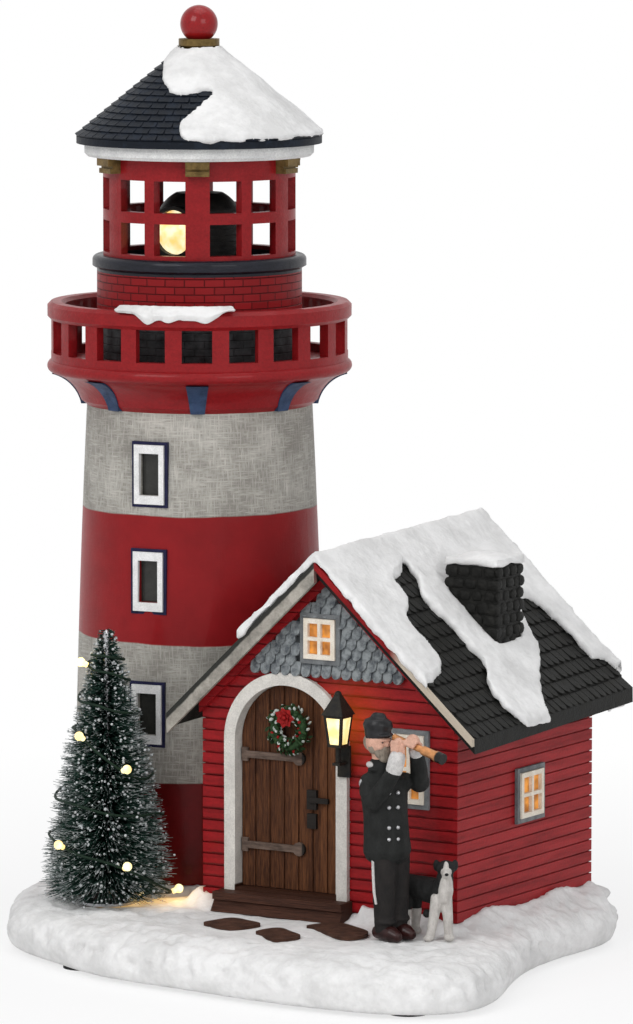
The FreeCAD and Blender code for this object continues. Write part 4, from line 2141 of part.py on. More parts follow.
def make_tree_lights():
    points = wire_stations()
    ways = wire_ways(points)
    edges = biarcs(points)
    path = Part.Wire(edges)
    section = Part.Wire(Part.Circle(points[0], ways[0], float(s.light_wire_radius)).toShape())
    wire = path.makePipeShell([section], True, False)
    place = (s.tree_x, s.tree_y, s.ground_height)
    facing = s.view_turn - FULL_TURN / 4
    report_wire(edges)
    node(shaped("tree_light_wire", wire, place, facing))
    lamps = []
    long = float(s.tree_lamp_length)
    radius = float(s.tree_lamp_radius)
    for turn, reach_share, height_share, lift in LAMP_SHARES:
        aim = polar(s.tree_radius * reach_share, turn, s.tree_height * height_share)
        index = min(range(2, len(points) - 1), key=lambda place: (points[place] - aim).Length)
        point = points[index]
        along = ways[index]
        outwards = Vector(point.x, point.y, 0)
        outwards.normalize()
        outwards += UP * lift
        outwards -= along * outwards.dot(along)
        outwards.normalize()
        inner = point + outwards * float(s.light_wire_radius + s.light_wire_gap)
        holder = Part.makeCylinder(radius * HOLDER_SHARE, long / 2, inner, outwards)
        bulb = limb([(inner + outwards * long * along_share, radius * wide_share)
                     for along_share, wide_share in BULB_SHARES])
        lamps.append(merged([holder, bulb]))
    node(shaped("tree_lamps", Part.makeCompound(lamps), place, facing))


def report_wire(edges):
    radii = [edge.Curve.Radius for edge in edges if hasattr(edge.Curve, "Radius")]
    gap = min(
        first.distToShape(last)[0]
        for index, first in enumerate(edges) for last in edges[index + 6:])
    print("light wire: tube radius", float(s.light_wire_radius), "least bend", round(min(radii), 2),
          "least gap to itself", round(gap - 2 * float(s.light_wire_radius), 2))


# Build, check and write out every piece


def build():
    make_base_shell()
    make_base_plate()
    make_feet()
    make_screws()
    make_battery_box()
    make_cells()
    make_contacts()
    make_battery_door()
    make_switch()
    make_lamp_board()
    make_lamp_lead()
    make_tower_shell()
    make_tower_windows()
    make_gallery()
    make_lantern()
    make_tower_roof()
    make_beacon_drive()
    clearance = make_tower_clearance()
    make_house_walls(clearance)
    make_gable_shingles()
    make_windows()
    make_door()
    make_house_roof(clearance)
    make_roof_snow(clearance)
    make_chimney()
    make_wall_lamp()
    make_keeper()
    make_dog()
    make_stones()
    make_tree()


def write_out():
    doc.recompute()
    faults = []
    for obj in doc.Objects:
        if "Invalid" in obj.State or "Error" in obj.State:
            faults.append(f"{obj.Label}: {obj.State}")
    for obj in NODES:
        if obj.Shape.isNull() or not obj.Shape.isValid():
            faults.append(f"{obj.Label}: shape")
    if faults:
        raise RuntimeError("; ".join(faults))
    for obj in NODES:
        obj.Shape.exportStep(os.path.join("parts", f"{obj.Label}.step"))
    print(len(NODES), "pieces written")


build()
write_out()
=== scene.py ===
import math
import random

import bmesh
import bpy
from bpy.props import FloatProperty, FloatVectorProperty, IntProperty, PointerProperty
from mathutils import Matrix, Vector, noise


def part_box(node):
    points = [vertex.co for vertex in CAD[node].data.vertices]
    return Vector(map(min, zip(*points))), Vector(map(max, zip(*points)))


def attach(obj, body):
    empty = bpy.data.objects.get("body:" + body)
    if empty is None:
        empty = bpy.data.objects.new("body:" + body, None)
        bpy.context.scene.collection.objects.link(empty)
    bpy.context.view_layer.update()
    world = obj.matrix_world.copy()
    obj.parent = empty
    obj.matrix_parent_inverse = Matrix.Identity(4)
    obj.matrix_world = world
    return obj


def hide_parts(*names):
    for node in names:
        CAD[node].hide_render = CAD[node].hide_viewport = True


bl_info = {
    "name": "Winter lighthouse ornament",
    "version": (1, 0, 0),
    "blender": (4, 5, 0),
    "location": "3D View > Sidebar > Ornament",
    "description": "Painted finishes and detail pieces of a lit lighthouse ornament",
    "category": "Object",
}

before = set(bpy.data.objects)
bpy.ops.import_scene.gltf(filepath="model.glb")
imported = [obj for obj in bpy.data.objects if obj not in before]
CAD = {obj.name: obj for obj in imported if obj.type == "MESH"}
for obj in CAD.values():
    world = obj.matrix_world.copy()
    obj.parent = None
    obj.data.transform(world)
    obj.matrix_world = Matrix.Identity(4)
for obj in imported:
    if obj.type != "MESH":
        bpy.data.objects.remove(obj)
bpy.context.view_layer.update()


def corners(name):
    """Lowest and highest corner of a CAD piece, to a hundredth of a millimetre."""
    return [[round(number, 5) for number in corner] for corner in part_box(name)]


# Places and sizes of the construction, in metres. X runs right along the house's front, Y back and Z up.

# Ground: level of the yard, top of the bank under the walls, and where the rounded edge begins
GROUND = corners("keeper_figure")[0][2]
BANK_TOP = corners("base_shell")[1][2]
EDGE_START = 0.004
# Stretches along X that the drifts leave clear before the step, and where the stepping stones lie
STEP_LEFT, STEP_RIGHT = -0.016, 0.036
PATH_LEFT, PATH_RIGHT, PATH_FRONT = -0.01, 0.06, -0.062
DRIFT_REACH = 0.0035

# Tower: axis, the radius that tiles and drifts keep clear of, and the edges of its painted bands
TOWER_LOW, TOWER_HIGH = corners("tower_shell")
TOWER = Vector(((TOWER_LOW[0] + TOWER_HIGH[0]) / 2, (TOWER_LOW[1] + TOWER_HIGH[1]) / 2, 0))
TOWER_CLEAR = (TOWER_HIGH[0] - TOWER_LOW[0]) / 2 + 0.0005
TOWER_TURN = math.radians(-58.9)
BAND_LEVELS = (0.050, 0.093, 0.133)
BAND_EDGE = 0.0002
# Drum of bricks under the lantern, near-black with painted shade up to a soft edge that the rail hides
PLINTH_RADIUS = 0.0322
DRUM_EDGE_LOW, DRUM_EDGE_HIGH = 0.1925, 0.1945
# Snow on the rail: its top, and its stretch round the tower in degrees
RAIL_SNOW_TOP = 0.1991
RAIL_SNOW_START, RAIL_SNOW_SWEEP = -90.5, 48.5
# Slates of the lantern's roof, from the eave up to the neck
LANTERN_EAVE_RADIUS, LANTERN_EAVE_LEVEL = 0.0385, 0.2494
LANTERN_NECK_RADIUS, LANTERN_NECK_LEVEL = 0.0068, 0.2752
LANTERN_COURSES = 14
LANTERN_SLATE = 0.0052

# House: corners of its walls in plan, boards, door and step
HOUSE_LOW = Vector((corners("house_walls")[0][0], -0.017, 0))
HOUSE_HIGH = Vector((*corners("house_walls")[1][:2], 0))
BOARD_PITCH = 0.0035
BOARD_DEPTH = 0.0015
BOARD_START = BANK_TOP + 0.00035
DOOR_MIDDLE = 0.0101
DOOR_PLANK = 0.0051
SILL_LEFT, SILL_RIGHT, SILL_TOP = -0.0082, 0.0284, 0.0236
LATCH_START = 0.0140
# Roof: front end of the ridge, pitch of the slopes, lean of the ridge, and the spread of its tiles
RIDGE = Vector((0.02465, -0.017, 0.1213))
ROOF_PITCH = math.radians(42.9)
ROOF_LEAN = math.radians(2)
ROOF_THICKNESS = 0.0034
ROOF_COURSES = 14
ROOF_SPAN = 0.054
ROOF_FRONT = 0.007
ROOF_BACK = 0.0925
# Part of the right eave without snow, the way that its snow sinks into the tiles, and the spot past which
# a loose crumb of it would hang
EAVE_BARE_RIGHT, EAVE_BARE_BACK = 0.0742, 0.045
EAVE_SINK = Vector((-0.004, 0, -0.0045))
CRUMB_LIMIT = 0.077
# Scales of the gable, which leave its window free
GABLE_FACE = -0.0183
GABLE_FOOT, GABLE_TOP = 0.0893, 0.1177
GABLE_COURSES = 9
GABLE_COURSE = 0.0031
GABLE_WINDOW_MIDDLE, GABLE_WINDOW_HALF = 0.0228, 0.0072
GABLE_WINDOW_LOW, GABLE_WINDOW_HIGH = 0.0912, 0.1062
CHIMNEY_COURSES = 12

# Things on the door, in the yard and at the walls
WREATH_PLACE = Vector((0.0109, -0.0177, 0.0726))
WREATH_RADIUS = 0.0053
WREATH_THICKNESS = 0.0016
WALL_LAMP = Vector((0.0324, -0.0190, 0.0772))
GROUND_LAMPS = (Vector((-0.0285, -0.0200, 0.0170)), Vector((-0.0420, -0.0210, 0.0165)))
KEEPER_PLACE = Vector((0.0602, -0.0364, GROUND))
DOG_PLACE = Vector((0.0746, -0.0282, GROUND))
TREE_PLACE = Vector((-0.0485, -0.028, GROUND))

# The photograph's viewpoint, and the studio lamps: name, place, width and power
VIEW_TURN = math.radians(31.1)
VIEW_DOWN = math.radians(6.64)
EYE = (1.0259, -1.6833, 0.3664)
LENS = 227.5
LAMPS = (
    ("Key", (-0.2, -1.6, 1.3), 1.0, 16.0),
    ("Fill", (1.7, -1.0, 0.9), 1.0, 10.0),
    ("Top", (0.0, 0.1, 1.9), 1.4, 9.0),
)
LAMP_TARGET = Vector((0, 0, 0.13))


# Sizes and colours that a user would change


def tint(name, text, default):
    """A colour that a user can change."""
    return FloatVectorProperty(
        name=name, description=text, subtype="COLOR", size=3, min=0, max=1, default=default)


def length(name, text, default):
    """A length that a user can change."""
    return FloatProperty(name=name, description=text, unit="LENGTH", precision=5, min=0, default=default)


class OrnamentColours(bpy.types.PropertyGroup):
    snow: tint("Snow", "Chalky white of the snow", (0.84, 0.835, 0.825))
    # Snow shade is painted shade: the grey of the snow's hollows.
    snow_shade: tint("Snow shade", "Painted shade in the hollows of the snow", (0.70, 0.695, 0.685))
    house_red: tint("House red", "Paint of the boarded walls", (0.33, 0.011, 0.014))
    house_shade: tint("House red shade", "Brushed darker red of the walls", (0.17, 0.006, 0.008))
    tower_red: tint("Tower red", "Paint of the red bands", (0.21, 0.007, 0.009))
    tower_foot: tint("Tower foot", "Dark red of the lowest band", (0.085, 0.003, 0.003))
    stone_grey: tint("Band grey", "Light strokes of the pale bands", (0.56, 0.54, 0.49))
    stone_shade: tint("Band shade", "Dark strokes of the pale bands", (0.27, 0.255, 0.225))
    slate: tint("Slate", "Roof tiles and chimney stones", (0.008, 0.008, 0.0072))
    # Slate highlight is a painted highlight on the high spots of tiles and stones.
    slate_highlight: tint("Slate highlight", "Painted highlight on the high spots of tiles and stones", (0.024, 0.0235, 0.021))
    navy: tint("Navy", "Trim round the tower windows", (0.020, 0.021, 0.062))
    bracket_blue: tint("Bracket blue", "Brackets under the gallery", (0.045, 0.075, 0.15))
    gold: tint("Gold", "Gold paint of collar and capitals", (0.19, 0.125, 0.045))
    cream: tint("Cream", "Painted frames and trim", (0.72, 0.69, 0.64))
    timber: tint("Timber", "Light grain of the door", (0.19, 0.074, 0.031))
    timber_shade: tint("Timber shade", "Dark grain of the door", (0.042, 0.016, 0.009))
    amber: tint("Amber", "Lit panes", (0.72, 0.30, 0.055))
    lamplight: tint("Lamplight", "Lamps and lantern glass", (1.0, 0.80, 0.34))
    bristle: tint("Bristle", "Dark green of the brush tree", (0.008, 0.022, 0.016))
    coat: tint("Coat", "Dark cloth of the figure", (0.012, 0.0125, 0.012))
    skin: tint("Skin", "Face and hands", (0.68, 0.40, 0.30))
    copper: tint("Copper", "Telescope", (0.62, 0.28, 0.11))


class OrnamentSizes(bpy.types.PropertyGroup):
    keeper_height: length("Figure height", "Height of the standing figure", 0.0676)
    dog_height: length("Dog height", "Height of the standing dog", 0.0246)
    tree_height: length("Tree height", "Height of the brush tree", 0.085)
    tree_radius: length("Tree radius", "Radius of the brush at its foot", 0.0184)
    tile_width: length("Tile width", "Width of a roof tile", 0.0036)
    scale_width: length("Scale width", "Width of a gable scale", 0.0036)
    stone_width: length("Stone width", "Width of a chimney stone", 0.0043)
    snow_lift: length("Snow lift", "Height of the drifts at the walls", 0.0026)
    snow_ripple: length("Snow ripple", "Unevenness of the snow", 0.0009)
    bristle_count: IntProperty(
        name="Bristles", description="Number of bristles of the tree", default=8600, min=10)
    fleck_count: IntProperty(
        name="Flecks", description="Number of snow flecks on the tree", default=1300, min=10)


class OrnamentLooks(bpy.types.PropertyGroup):
    colours: PointerProperty(type=OrnamentColours)
    sizes: PointerProperty(type=OrnamentSizes)


def colours():
    """The colours that are set in the panel."""
    return bpy.context.scene.ornament.colours


def sizes():
    """The sizes that are set in the panel."""
    return bpy.context.scene.ornament.sizes


def scaled(values, by):
    """Values, such as those of a colour, times a factor."""
    return [value * by for value in values]


# Wiring of materials


class Wiring:
    """Adds and links the nodes of one material or group."""

    def __init__(self, tree):
        self.tree = tree

    def feed(self, socket, value):
        """Link an output to a socket, or set the socket's value."""
        if isinstance(value, bpy.types.NodeSocket):
            self.tree.links.new(value, socket)
        elif socket.type == "RGBA":
            socket.default_value = (value[0], value[1], value[2], 1)
        else:
            socket.default_value = value

    def add(self, kind, inputs=(), **settings):
        """A new node with its settings and inputs."""
        node = self.tree.nodes.new(kind)
        for key, value in settings.items():
            setattr(node, key, value)
        for key, value in dict(inputs).items():
            self.feed(node.inputs[key], value)
        return node

    def calc(self, operation, *values):
        node = self.add("ShaderNodeMath", enumerate(values), operation=operation)
        return node.outputs[0]

    def blend(self, factor, first, second, mode="MIX"):
        node = self.add("ShaderNodeMix", {0: factor, 6: first, 7: second}, data_type="RGBA", blend_type=mode)
        return node.outputs[2]

    def noise(self, vector, scale, detail=4.0, rough=0.55):
        wires = {"Vector": vector, "Scale": scale, "Detail": detail, "Roughness": rough}
        return self.add("ShaderNodeTexNoise", wires).outputs[0]

    def span(self, value, low, high, out_low=0.0, out_high=1.0):
        """The value carried from one range to another and kept inside it."""
        wires = enumerate((value, low, high, out_low, out_high))
        return self.add("ShaderNodeMapRange", wires, clamp=True).outputs[0]

    def stretch(self, vector, by):
        return self.add("ShaderNodeVectorMath", {0: vector, 1: by}, operation="MULTIPLY").outputs[0]

    def gap(self, vector, centre):
        return self.add("ShaderNodeVectorMath", {0: vector, 1: centre}, operation="DISTANCE").outputs[1]

    def parts(self, vector):
        return self.add("ShaderNodeSeparateXYZ", {0: vector}).outputs

    def group(self, tree, **inputs):
        node = self.add("ShaderNodeGroup", node_tree=tree)
        for key, value in inputs.items():
            self.feed(node.inputs[key], value)
        return node.outputs

    def bump(self, height, distance, strength=1.0):
        wires = {"Height": height, "Distance": distance, "Strength": strength}
        return self.add("ShaderNodeBump", wires).outputs[0]


SOCKETS = {"vector": "NodeSocketVector", "colour": "NodeSocketColor", "value": "NodeSocketFloat"}


def new_group(name, inputs, outputs):
    """A shader group with named sockets, with its wiring and its input and output nodes."""
    tree = bpy.data.node_groups.new(name, "ShaderNodeTree")
    for label, kind in inputs.items():
        tree.interface.new_socket(name=label, in_out="INPUT", socket_type=SOCKETS[kind])
    for label, kind in outputs.items():
        tree.interface.new_socket(name=label, in_out="OUTPUT", socket_type=SOCKETS[kind])
    wiring = Wiring(tree)
    start = wiring.add("NodeGroupInput").outputs
    end = wiring.add("NodeGroupOutput")
    return tree, wiring, start, end


def paint_group():
    """Hand-brushed paint: broad strokes of a second tone, with fine grain."""
    tree, w, start, end = new_group(
        "Brushed paint",
        {"Vector": "vector", "Colour": "colour", "Shade": "colour", "Scale": "value", "Streak": "vector",
         "Contrast": "value"},
        {"Colour": "colour", "Height": "value"})
    streaked = w.stretch(start["Vector"], start["Streak"])
    strokes = w.noise(streaked, start["Scale"], detail=5, rough=0.6)
    grain = w.noise(start["Vector"], w.calc("MULTIPLY", start["Scale"], 9), detail=3, rough=0.6)
    mask = w.calc("MULTIPLY", w.span(strokes, 0.36, 0.66), start["Contrast"])
    toned = w.blend(mask, start["Colour"], start["Shade"])
    light = w.span(grain, 0.3, 0.7, 0.86, 1.12)
    grey = w.add("ShaderNodeCombineColor", enumerate((light, light, light))).outputs[0]
    w.feed(end.inputs["Colour"], w.blend(1.0, toned, grey, "MULTIPLY"))
    w.feed(end.inputs["Height"], w.calc("MULTIPLY_ADD", grain, 0.35, strokes))
    return tree


def snow_group():
    """Chalky moulded snow: soft hollows, pits and a few bright grains, with painted shade greying the
    hollows.
    """
    tree, w, start, end = new_group(
        "Moulded snow", {"Vector": "vector", "Colour": "colour", "Shade": "colour"},
        {"Colour": "colour", "Height": "value", "Roughness": "value"})
    soft = w.noise(start["Vector"], scale=75, detail=5, rough=0.55)
    rough = w.noise(start["Vector"], scale=420, detail=5, rough=0.6)
    cells = w.add("ShaderNodeTexVoronoi", {"Vector": start["Vector"], "Scale": 1500}).outputs
    grains = w.span(cells["Distance"], 0.0, 0.3, 1.0, 0.0)
    height = w.calc("MULTIPLY_ADD", rough, 0.45, soft)
    # Painted shade: the colour turns to the snow shade where the height is low, in the hollows.
    w.feed(end.inputs["Colour"], w.blend(w.span(height, 0.58, 0.86), start["Shade"], start["Colour"]))
    w.feed(end.inputs["Height"], height)
    w.feed(end.inputs["Roughness"], w.span(grains, 0.0, 1.0, 0.82, 0.45))
    return tree


def glow_group():
    """Light of a lamp that falls off over a reach."""
    tree, w, start, end = new_group(
        "Warm glow", {"Vector": "vector", "Centre": "vector", "Reach": "value"}, {"Mask": "value"})
    share = w.calc("DIVIDE", w.gap(start["Vector"], start["Centre"]), start["Reach"])
    near = w.calc("MAXIMUM", w.calc("SUBTRACT", 1.0, share), 0.0)
    w.feed(end.inputs["Mask"], w.calc("MULTIPLY", near, near))
    return tree


# Level of the plain highlights, low because every finish is a dull paint
DULL_SPECULAR = 0.12
# Bluish cast of the lantern's slates over the grey of the house's
BLUE_CAST = (0.8, 1.1, 1.9)
GROUPS = {}


def group(name):
    """A shader group by its name, built when it is first asked for."""
    makers = {"paint": paint_group, "snow": snow_group, "glow": glow_group}
    if name not in GROUPS:
        GROUPS[name] = makers[name]()
    return GROUPS[name]


def blank(name, rough=0.5, metallic=0.0, coat=0.0):
    """A new material with its wiring, shader and object coordinates."""
    material = bpy.data.materials.new(name)
    material.use_nodes = True
    tree = material.node_tree
    shader = tree.nodes["Principled BSDF"]
    shader.inputs["Roughness"].default_value = rough
    shader.inputs["Metallic"].default_value = metallic
    shader.inputs["Coat Weight"].default_value = coat
    shader.inputs["Specular IOR Level"].default_value = DULL_SPECULAR
    w = Wiring(tree)
    place = w.add("ShaderNodeTexCoord").outputs["Object"]
    return material, w, shader, place


def brushed(w, place, colour, shade, scale, streak=(1, 1, 1), contrast=0.8):
    """Colour and height of a brushed paint."""
    settings = {"Scale": scale, "Streak": streak, "Contrast": contrast}
    return w.group(group("paint"), Vector=place, Colour=colour, Shade=shade, **settings)


def paint(name, colour, shade, rough=0.5, scale=160, streak=(1, 1, 1), contrast=0.8, relief=0.00025, coat=0.0,
          metallic=0.0):
    """A brushed paint of two tones."""
    material, w, shader, place = blank(name, rough, metallic, coat)
    out = brushed(w, place, colour, shade, scale, streak, contrast)
    w.feed(shader.inputs["Base Color"], out["Colour"])
    w.feed(shader.inputs["Roughness"], w.span(out["Height"], 0.3, 1.0, rough - 0.08, rough + 0.14))
    w.feed(shader.inputs["Normal"], w.bump(out["Height"], relief))
    return material


def add_glow(w, shader, place, centres, reach, colour, strength):
    """Warm light of near lamps, painted as a soft emission."""
    total = None
    for centre in centres:
        mask = w.group(group("glow"), Vector=place, Centre=centre, Reach=reach)["Mask"]
        total = mask if total is None else w.calc("ADD", total, mask)
    w.feed(shader.inputs["Emission Color"], w.blend(total, (0, 0, 0), colour))
    shader.inputs["Emission Strength"].default_value = strength


def snow_material():
    """Chalky snow, warmly lit where the lowest tree lamps lie near it."""
    c = colours()
    material, w, shader, place = blank("Moulded snow", 0.75)
    out = w.group(group("snow"), Vector=place, Colour=c.snow, Shade=c.snow_shade)
    w.feed(shader.inputs["Base Color"], out["Colour"])
    w.feed(shader.inputs["Roughness"], out["Roughness"])
    w.feed(shader.inputs["Normal"], w.bump(out["Height"], distance=0.0011, strength=0.8))
    add_glow(w, shader, place, GROUND_LAMPS, reach=0.019, colour=(1.0, 0.60, 0.20), strength=0.9)
    return material


def tower_material():
    """Painted bands: brushed pale grey and deep red, with a dark red foot."""
    c = colours()
    material, w, shader, place = blank("Tower bands", coat=0.1)
    up = w.parts(place)[2]
    wobble = w.noise(place, scale=45, detail=2, rough=0.5)
    level = w.calc("MULTIPLY_ADD", wobble, 0.0016, w.calc("SUBTRACT", up, 0.0008))
    strands = [w.noise(w.stretch(place, squeeze), scale=420, detail=4, rough=0.65)
               for squeeze in ((0.5, 0.5, 5.0), (5.0, 5.0, 0.5))]
    weave = w.calc("MAXIMUM", *strands)
    broad = w.noise(place, scale=60, detail=4, rough=0.6)
    strokes = w.span(w.calc("MULTIPLY_ADD", broad, 0.6, weave), 0.72, 1.05)
    grey = w.blend(strokes, c.stone_shade, c.stone_grey)
    red = w.blend(w.span(broad, 0.35, 0.75), c.tower_red, scaled(c.tower_red, 1.35))
    foot = w.blend(w.span(broad, 0.35, 0.75), c.tower_foot, c.tower_red)
    edges = [w.span(level, height - BAND_EDGE, height + BAND_EDGE) for height in BAND_LEVELS]
    colour = foot
    for edge, band in zip(edges, (grey, red, grey)):
        colour = w.blend(edge, colour, band)
    w.feed(shader.inputs["Base Color"], colour)
    low_grey = w.calc("MULTIPLY", edges[0], w.calc("SUBTRACT", 1.0, edges[1]))
    in_grey = w.calc("MAXIMUM", edges[2], low_grey)
    w.feed(shader.inputs["Roughness"], w.span(in_grey, 0, 1, 0.42, 0.72))
    height = w.calc("MULTIPLY", weave, w.span(in_grey, 0, 1, 0.25, 1.0))
    w.feed(shader.inputs["Normal"], w.bump(height, distance=0.0005, strength=0.8))
    return material


def board_material():
    """Painted boards: red strokes along the boards, painted shade as dark lines in the grooves between them,
    fainter on the right wall, and a painted pool of warm light from the wall lamp.
    """
    c = colours()
    material, w, shader, place = blank("Boarded walls", coat=0.08)
    out = brushed(w, place, c.house_red, c.house_shade, 110, streak=(0.35, 0.35, 3.2), contrast=0.75)
    up = w.parts(place)[2]
    wobble = w.noise(w.stretch(place, (1, 1, 0.2)), scale=130, detail=3, rough=0.5)
    level = w.calc("MULTIPLY_ADD", wobble, 0.0007, up)
    share = w.calc("FRACT", w.calc("DIVIDE", w.calc("SUBTRACT", level, BOARD_START), BOARD_PITCH))
    # Painted shade: a dark line in the groove under each board, broken up at random.
    line = w.calc("MAXIMUM", w.span(share, 0.0, 0.14, 1.0, 0.0), w.span(share, 0.93, 1.0))
    shade_breakup = w.span(w.noise(place, scale=170, detail=3, rough=0.6), 0.35, 0.6, 0.25, 0.8)
    groove_shade = w.calc("MULTIPLY", line, shade_breakup)
    # The painted groove shade is fainter on the right wall.
    face = HOUSE_HIGH.x - BOARD_DEPTH
    groove_shade = w.calc("MULTIPLY", groove_shade, w.span(w.parts(place)[0], face - 0.0001, face + 0.0001, 1.0, 0.35))
    w.feed(shader.inputs["Base Color"], w.blend(groove_shade, out["Colour"], (0.045, 0.003, 0.003)))
    w.feed(shader.inputs["Roughness"], w.span(out["Height"], 0.3, 1.0, 0.42, 0.62))
    height = w.calc("SUBTRACT", w.calc("MULTIPLY", out["Height"], 0.5), groove_shade)
    w.feed(shader.inputs["Normal"], w.bump(height, distance=0.0005, strength=0.9))
    # Painted light: a warm pool of the wall lamp's light on the boards.
    add_glow(w, shader, place, (WALL_LAMP,), reach=0.022, colour=(0.85, 0.16, 0.02), strength=0.3)
    return material


def plinth_material():
    """Brickwork round the lantern's foot, with painted shade below the rail: the drum in the trough behind it
    is near-black.
    """
    c = colours()
    material, w, shader, place = blank("Lantern bricks", coat=0.08)
    spot = w.parts(place)
    across = w.calc("SUBTRACT", spot[0], TOWER.x)
    along = w.calc("SUBTRACT", spot[1], TOWER.y)
    arc = w.calc("MULTIPLY", w.calc("ARCTAN2", along, across), PLINTH_RADIUS)
    flat = w.add("ShaderNodeCombineXYZ", enumerate((arc, spot[2], 0.0))).outputs[0]
    wires = {
        "Vector": flat, "Scale": 1.0, "Mortar Size": 0.00022, "Mortar Smooth": 1.0, "Brick Width": 0.0062,
        "Row Height": 0.0024, "Color1": c.tower_red, "Color2": scaled(c.tower_red, 1.3),
        "Mortar": (0.10, 0.005, 0.006)}
    bricks = w.add("ShaderNodeTexBrick", wires).outputs
    # Painted shade: below the rail the drum is near-black, for the shade in the trough behind the rail.
    low = w.span(spot[2], DRUM_EDGE_LOW, DRUM_EDGE_HIGH, 1.0, 0.0)
    patch = w.noise(place, scale=220, detail=4, rough=0.6)
    drum_shade = w.blend(w.span(patch, 0.4, 0.65), (0.016, 0.017, 0.018), (0.05, 0.053, 0.056))
    w.feed(shader.inputs["Base Color"], w.blend(low, bricks["Color"], drum_shade))
    height = w.calc("SUBTRACT", w.calc("MULTIPLY", patch, 0.3), bricks["Fac"])
    w.feed(shader.inputs["Normal"], w.bump(height, distance=0.0006, strength=0.9))
    return material


def timber_material(name, light, dark, along, plank=0.0):
    """Weathered wood with grain along one axis (0, 1 or 2)."""
    material, w, shader, place = blank(name, 0.55)
    streak = [9.0, 9.0, 9.0]
    streak[along] = 0.5
    grain = w.noise(w.stretch(place, streak), scale=190, detail=6, rough=0.65)
    rings = w.noise(w.stretch(place, scaled(streak, 2.4)), scale=260, detail=3, rough=0.5)
    tone = w.calc("MULTIPLY_ADD", rings, 0.5, grain)
    if plank:
        step = w.calc("FLOOR", w.calc("DIVIDE", w.calc("SUBTRACT", w.parts(place)[0], DOOR_MIDDLE), plank))
        shift = w.add("ShaderNodeTexWhiteNoise", {"W": step}, noise_dimensions="1D").outputs[0]
        tone = w.calc("ADD", tone, w.span(shift, 0, 1, -0.09, 0.09))
    w.feed(shader.inputs["Base Color"], w.blend(w.span(tone, 0.56, 0.98), dark, light))
    w.feed(shader.inputs["Roughness"], w.span(grain, 0.3, 0.7, 0.42, 0.66))
    w.feed(shader.inputs["Normal"], w.bump(tone, distance=0.0006, strength=0.9))
    return material


def lit_material(name, colour, deep, strength):
    """Glowing pane or lamp with a soft uneven light."""
    material, w, shader, place = blank(name, rough=0.35, coat=0.3)
    patch = w.noise(place, scale=260, detail=2, rough=0.5)
    mix = w.blend(w.span(patch, 0.35, 0.65), deep, colour)
    w.feed(shader.inputs["Base Color"], mix)
    w.feed(shader.inputs["Emission Color"], mix)
    shader.inputs["Emission Strength"].default_value = strength
    return material


def bristle_material():
    """Dark green bristles that turn white with frost at their tips."""
    c = colours()
    material, w, shader, place = blank("Frosted bristles", 0.7)
    tip = w.add("ShaderNodeAttribute", attribute_name="tip").outputs["Fac"]
    patch = w.noise(place, scale=300, detail=3, rough=0.6)
    frost = w.span(w.calc("MULTIPLY_ADD", patch, 0.9, tip), 1.30, 1.62)
    green = w.blend(w.span(w.noise(place, scale=900, detail=2), 0.4, 0.6), c.bristle, scaled(c.bristle, 2.6))
    w.feed(shader.inputs["Base Color"], w.blend(frost, green, (0.55, 0.58, 0.58)))
    w.feed(shader.inputs["Roughness"], w.span(frost, 0, 1, 0.6, 0.85))
    return material


def slate_material(name, relief, scale, cast=(1, 1, 1)):
    """Dark paint of tiles and stones, with a painted highlight on the high spots."""
    c = colours()
    material, w, shader, place = blank(name, 0.6)
    broad = w.noise(place, scale, detail=5, rough=0.65)
    fine = w.noise(place, scale * 6, detail=3, rough=0.6)
    height = w.calc("MULTIPLY_ADD", fine, 0.4, broad)
    # Painted highlight: the slate turns lighter on the high spots of the height.
    highlight = w.span(height, 0.68, 0.95)
    low, high = ([value * share for value, share in zip(dark, cast)] for dark in (c.slate, c.slate_highlight))
    w.feed(shader.inputs["Base Color"], w.blend(highlight, low, high))
    w.feed(shader.inputs["Roughness"], w.span(highlight, 0, 1, 0.5, 0.7))
    w.feed(shader.inputs["Normal"], w.bump(height, relief, strength=0.9))
    return material


def dress(material, *names):
    """Give CAD pieces a better finish."""
    for name in names:
        for slot in CAD[name].material_slots:
            slot.material = material


def paint_pieces(*rows):
    """Paint CAD pieces; a row is (name, colour, shade, settings, nodes)."""
    for name, colour, shade, settings, nodes in rows:
        dress(paint(name, colour, shade, **settings), *nodes.split())


# Making of meshes


def publish(mesh, name, *materials, stands_for=(), slot=None, body="ornament", smooth=True):
    """Put a finished mesh in the scene as a piece that rides on a body."""
    obj = bpy.data.objects.new(name, mesh)
    bpy.context.collection.objects.link(obj)
    if materials:
        mesh.materials.clear()
        for material in materials:
            mesh.materials.append(material)
    mesh.polygons.foreach_set("use_smooth", [smooth] * len(mesh.polygons))
    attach(obj, body)
    if stands_for:
        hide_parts(*stands_for)
    return obj


def mesh_of(bm, name):
    """A mesh with its faces turned outwards, from a bmesh that is then freed."""
    bmesh.ops.recalc_face_normals(bm, faces=bm.faces)
    mesh = bpy.data.meshes.new(name)
    bm.to_mesh(mesh)
    bm.free()
    return mesh


def evaluated(mesh, name, *modifiers):
    """A mesh after modifiers, each given as (kind, settings)."""
    obj = bpy.data.objects.new(name, mesh)
    bpy.context.collection.objects.link(obj)
    for kind, settings in modifiers:
        modifier = obj.modifiers.new(kind, kind)
        for key, value in settings.items():
            setattr(modifier, key, value)
    result = bpy.data.meshes.new_from_object(obj.evaluated_get(bpy.context.evaluated_depsgraph_get()))
    bpy.data.objects.remove(obj)
    return result


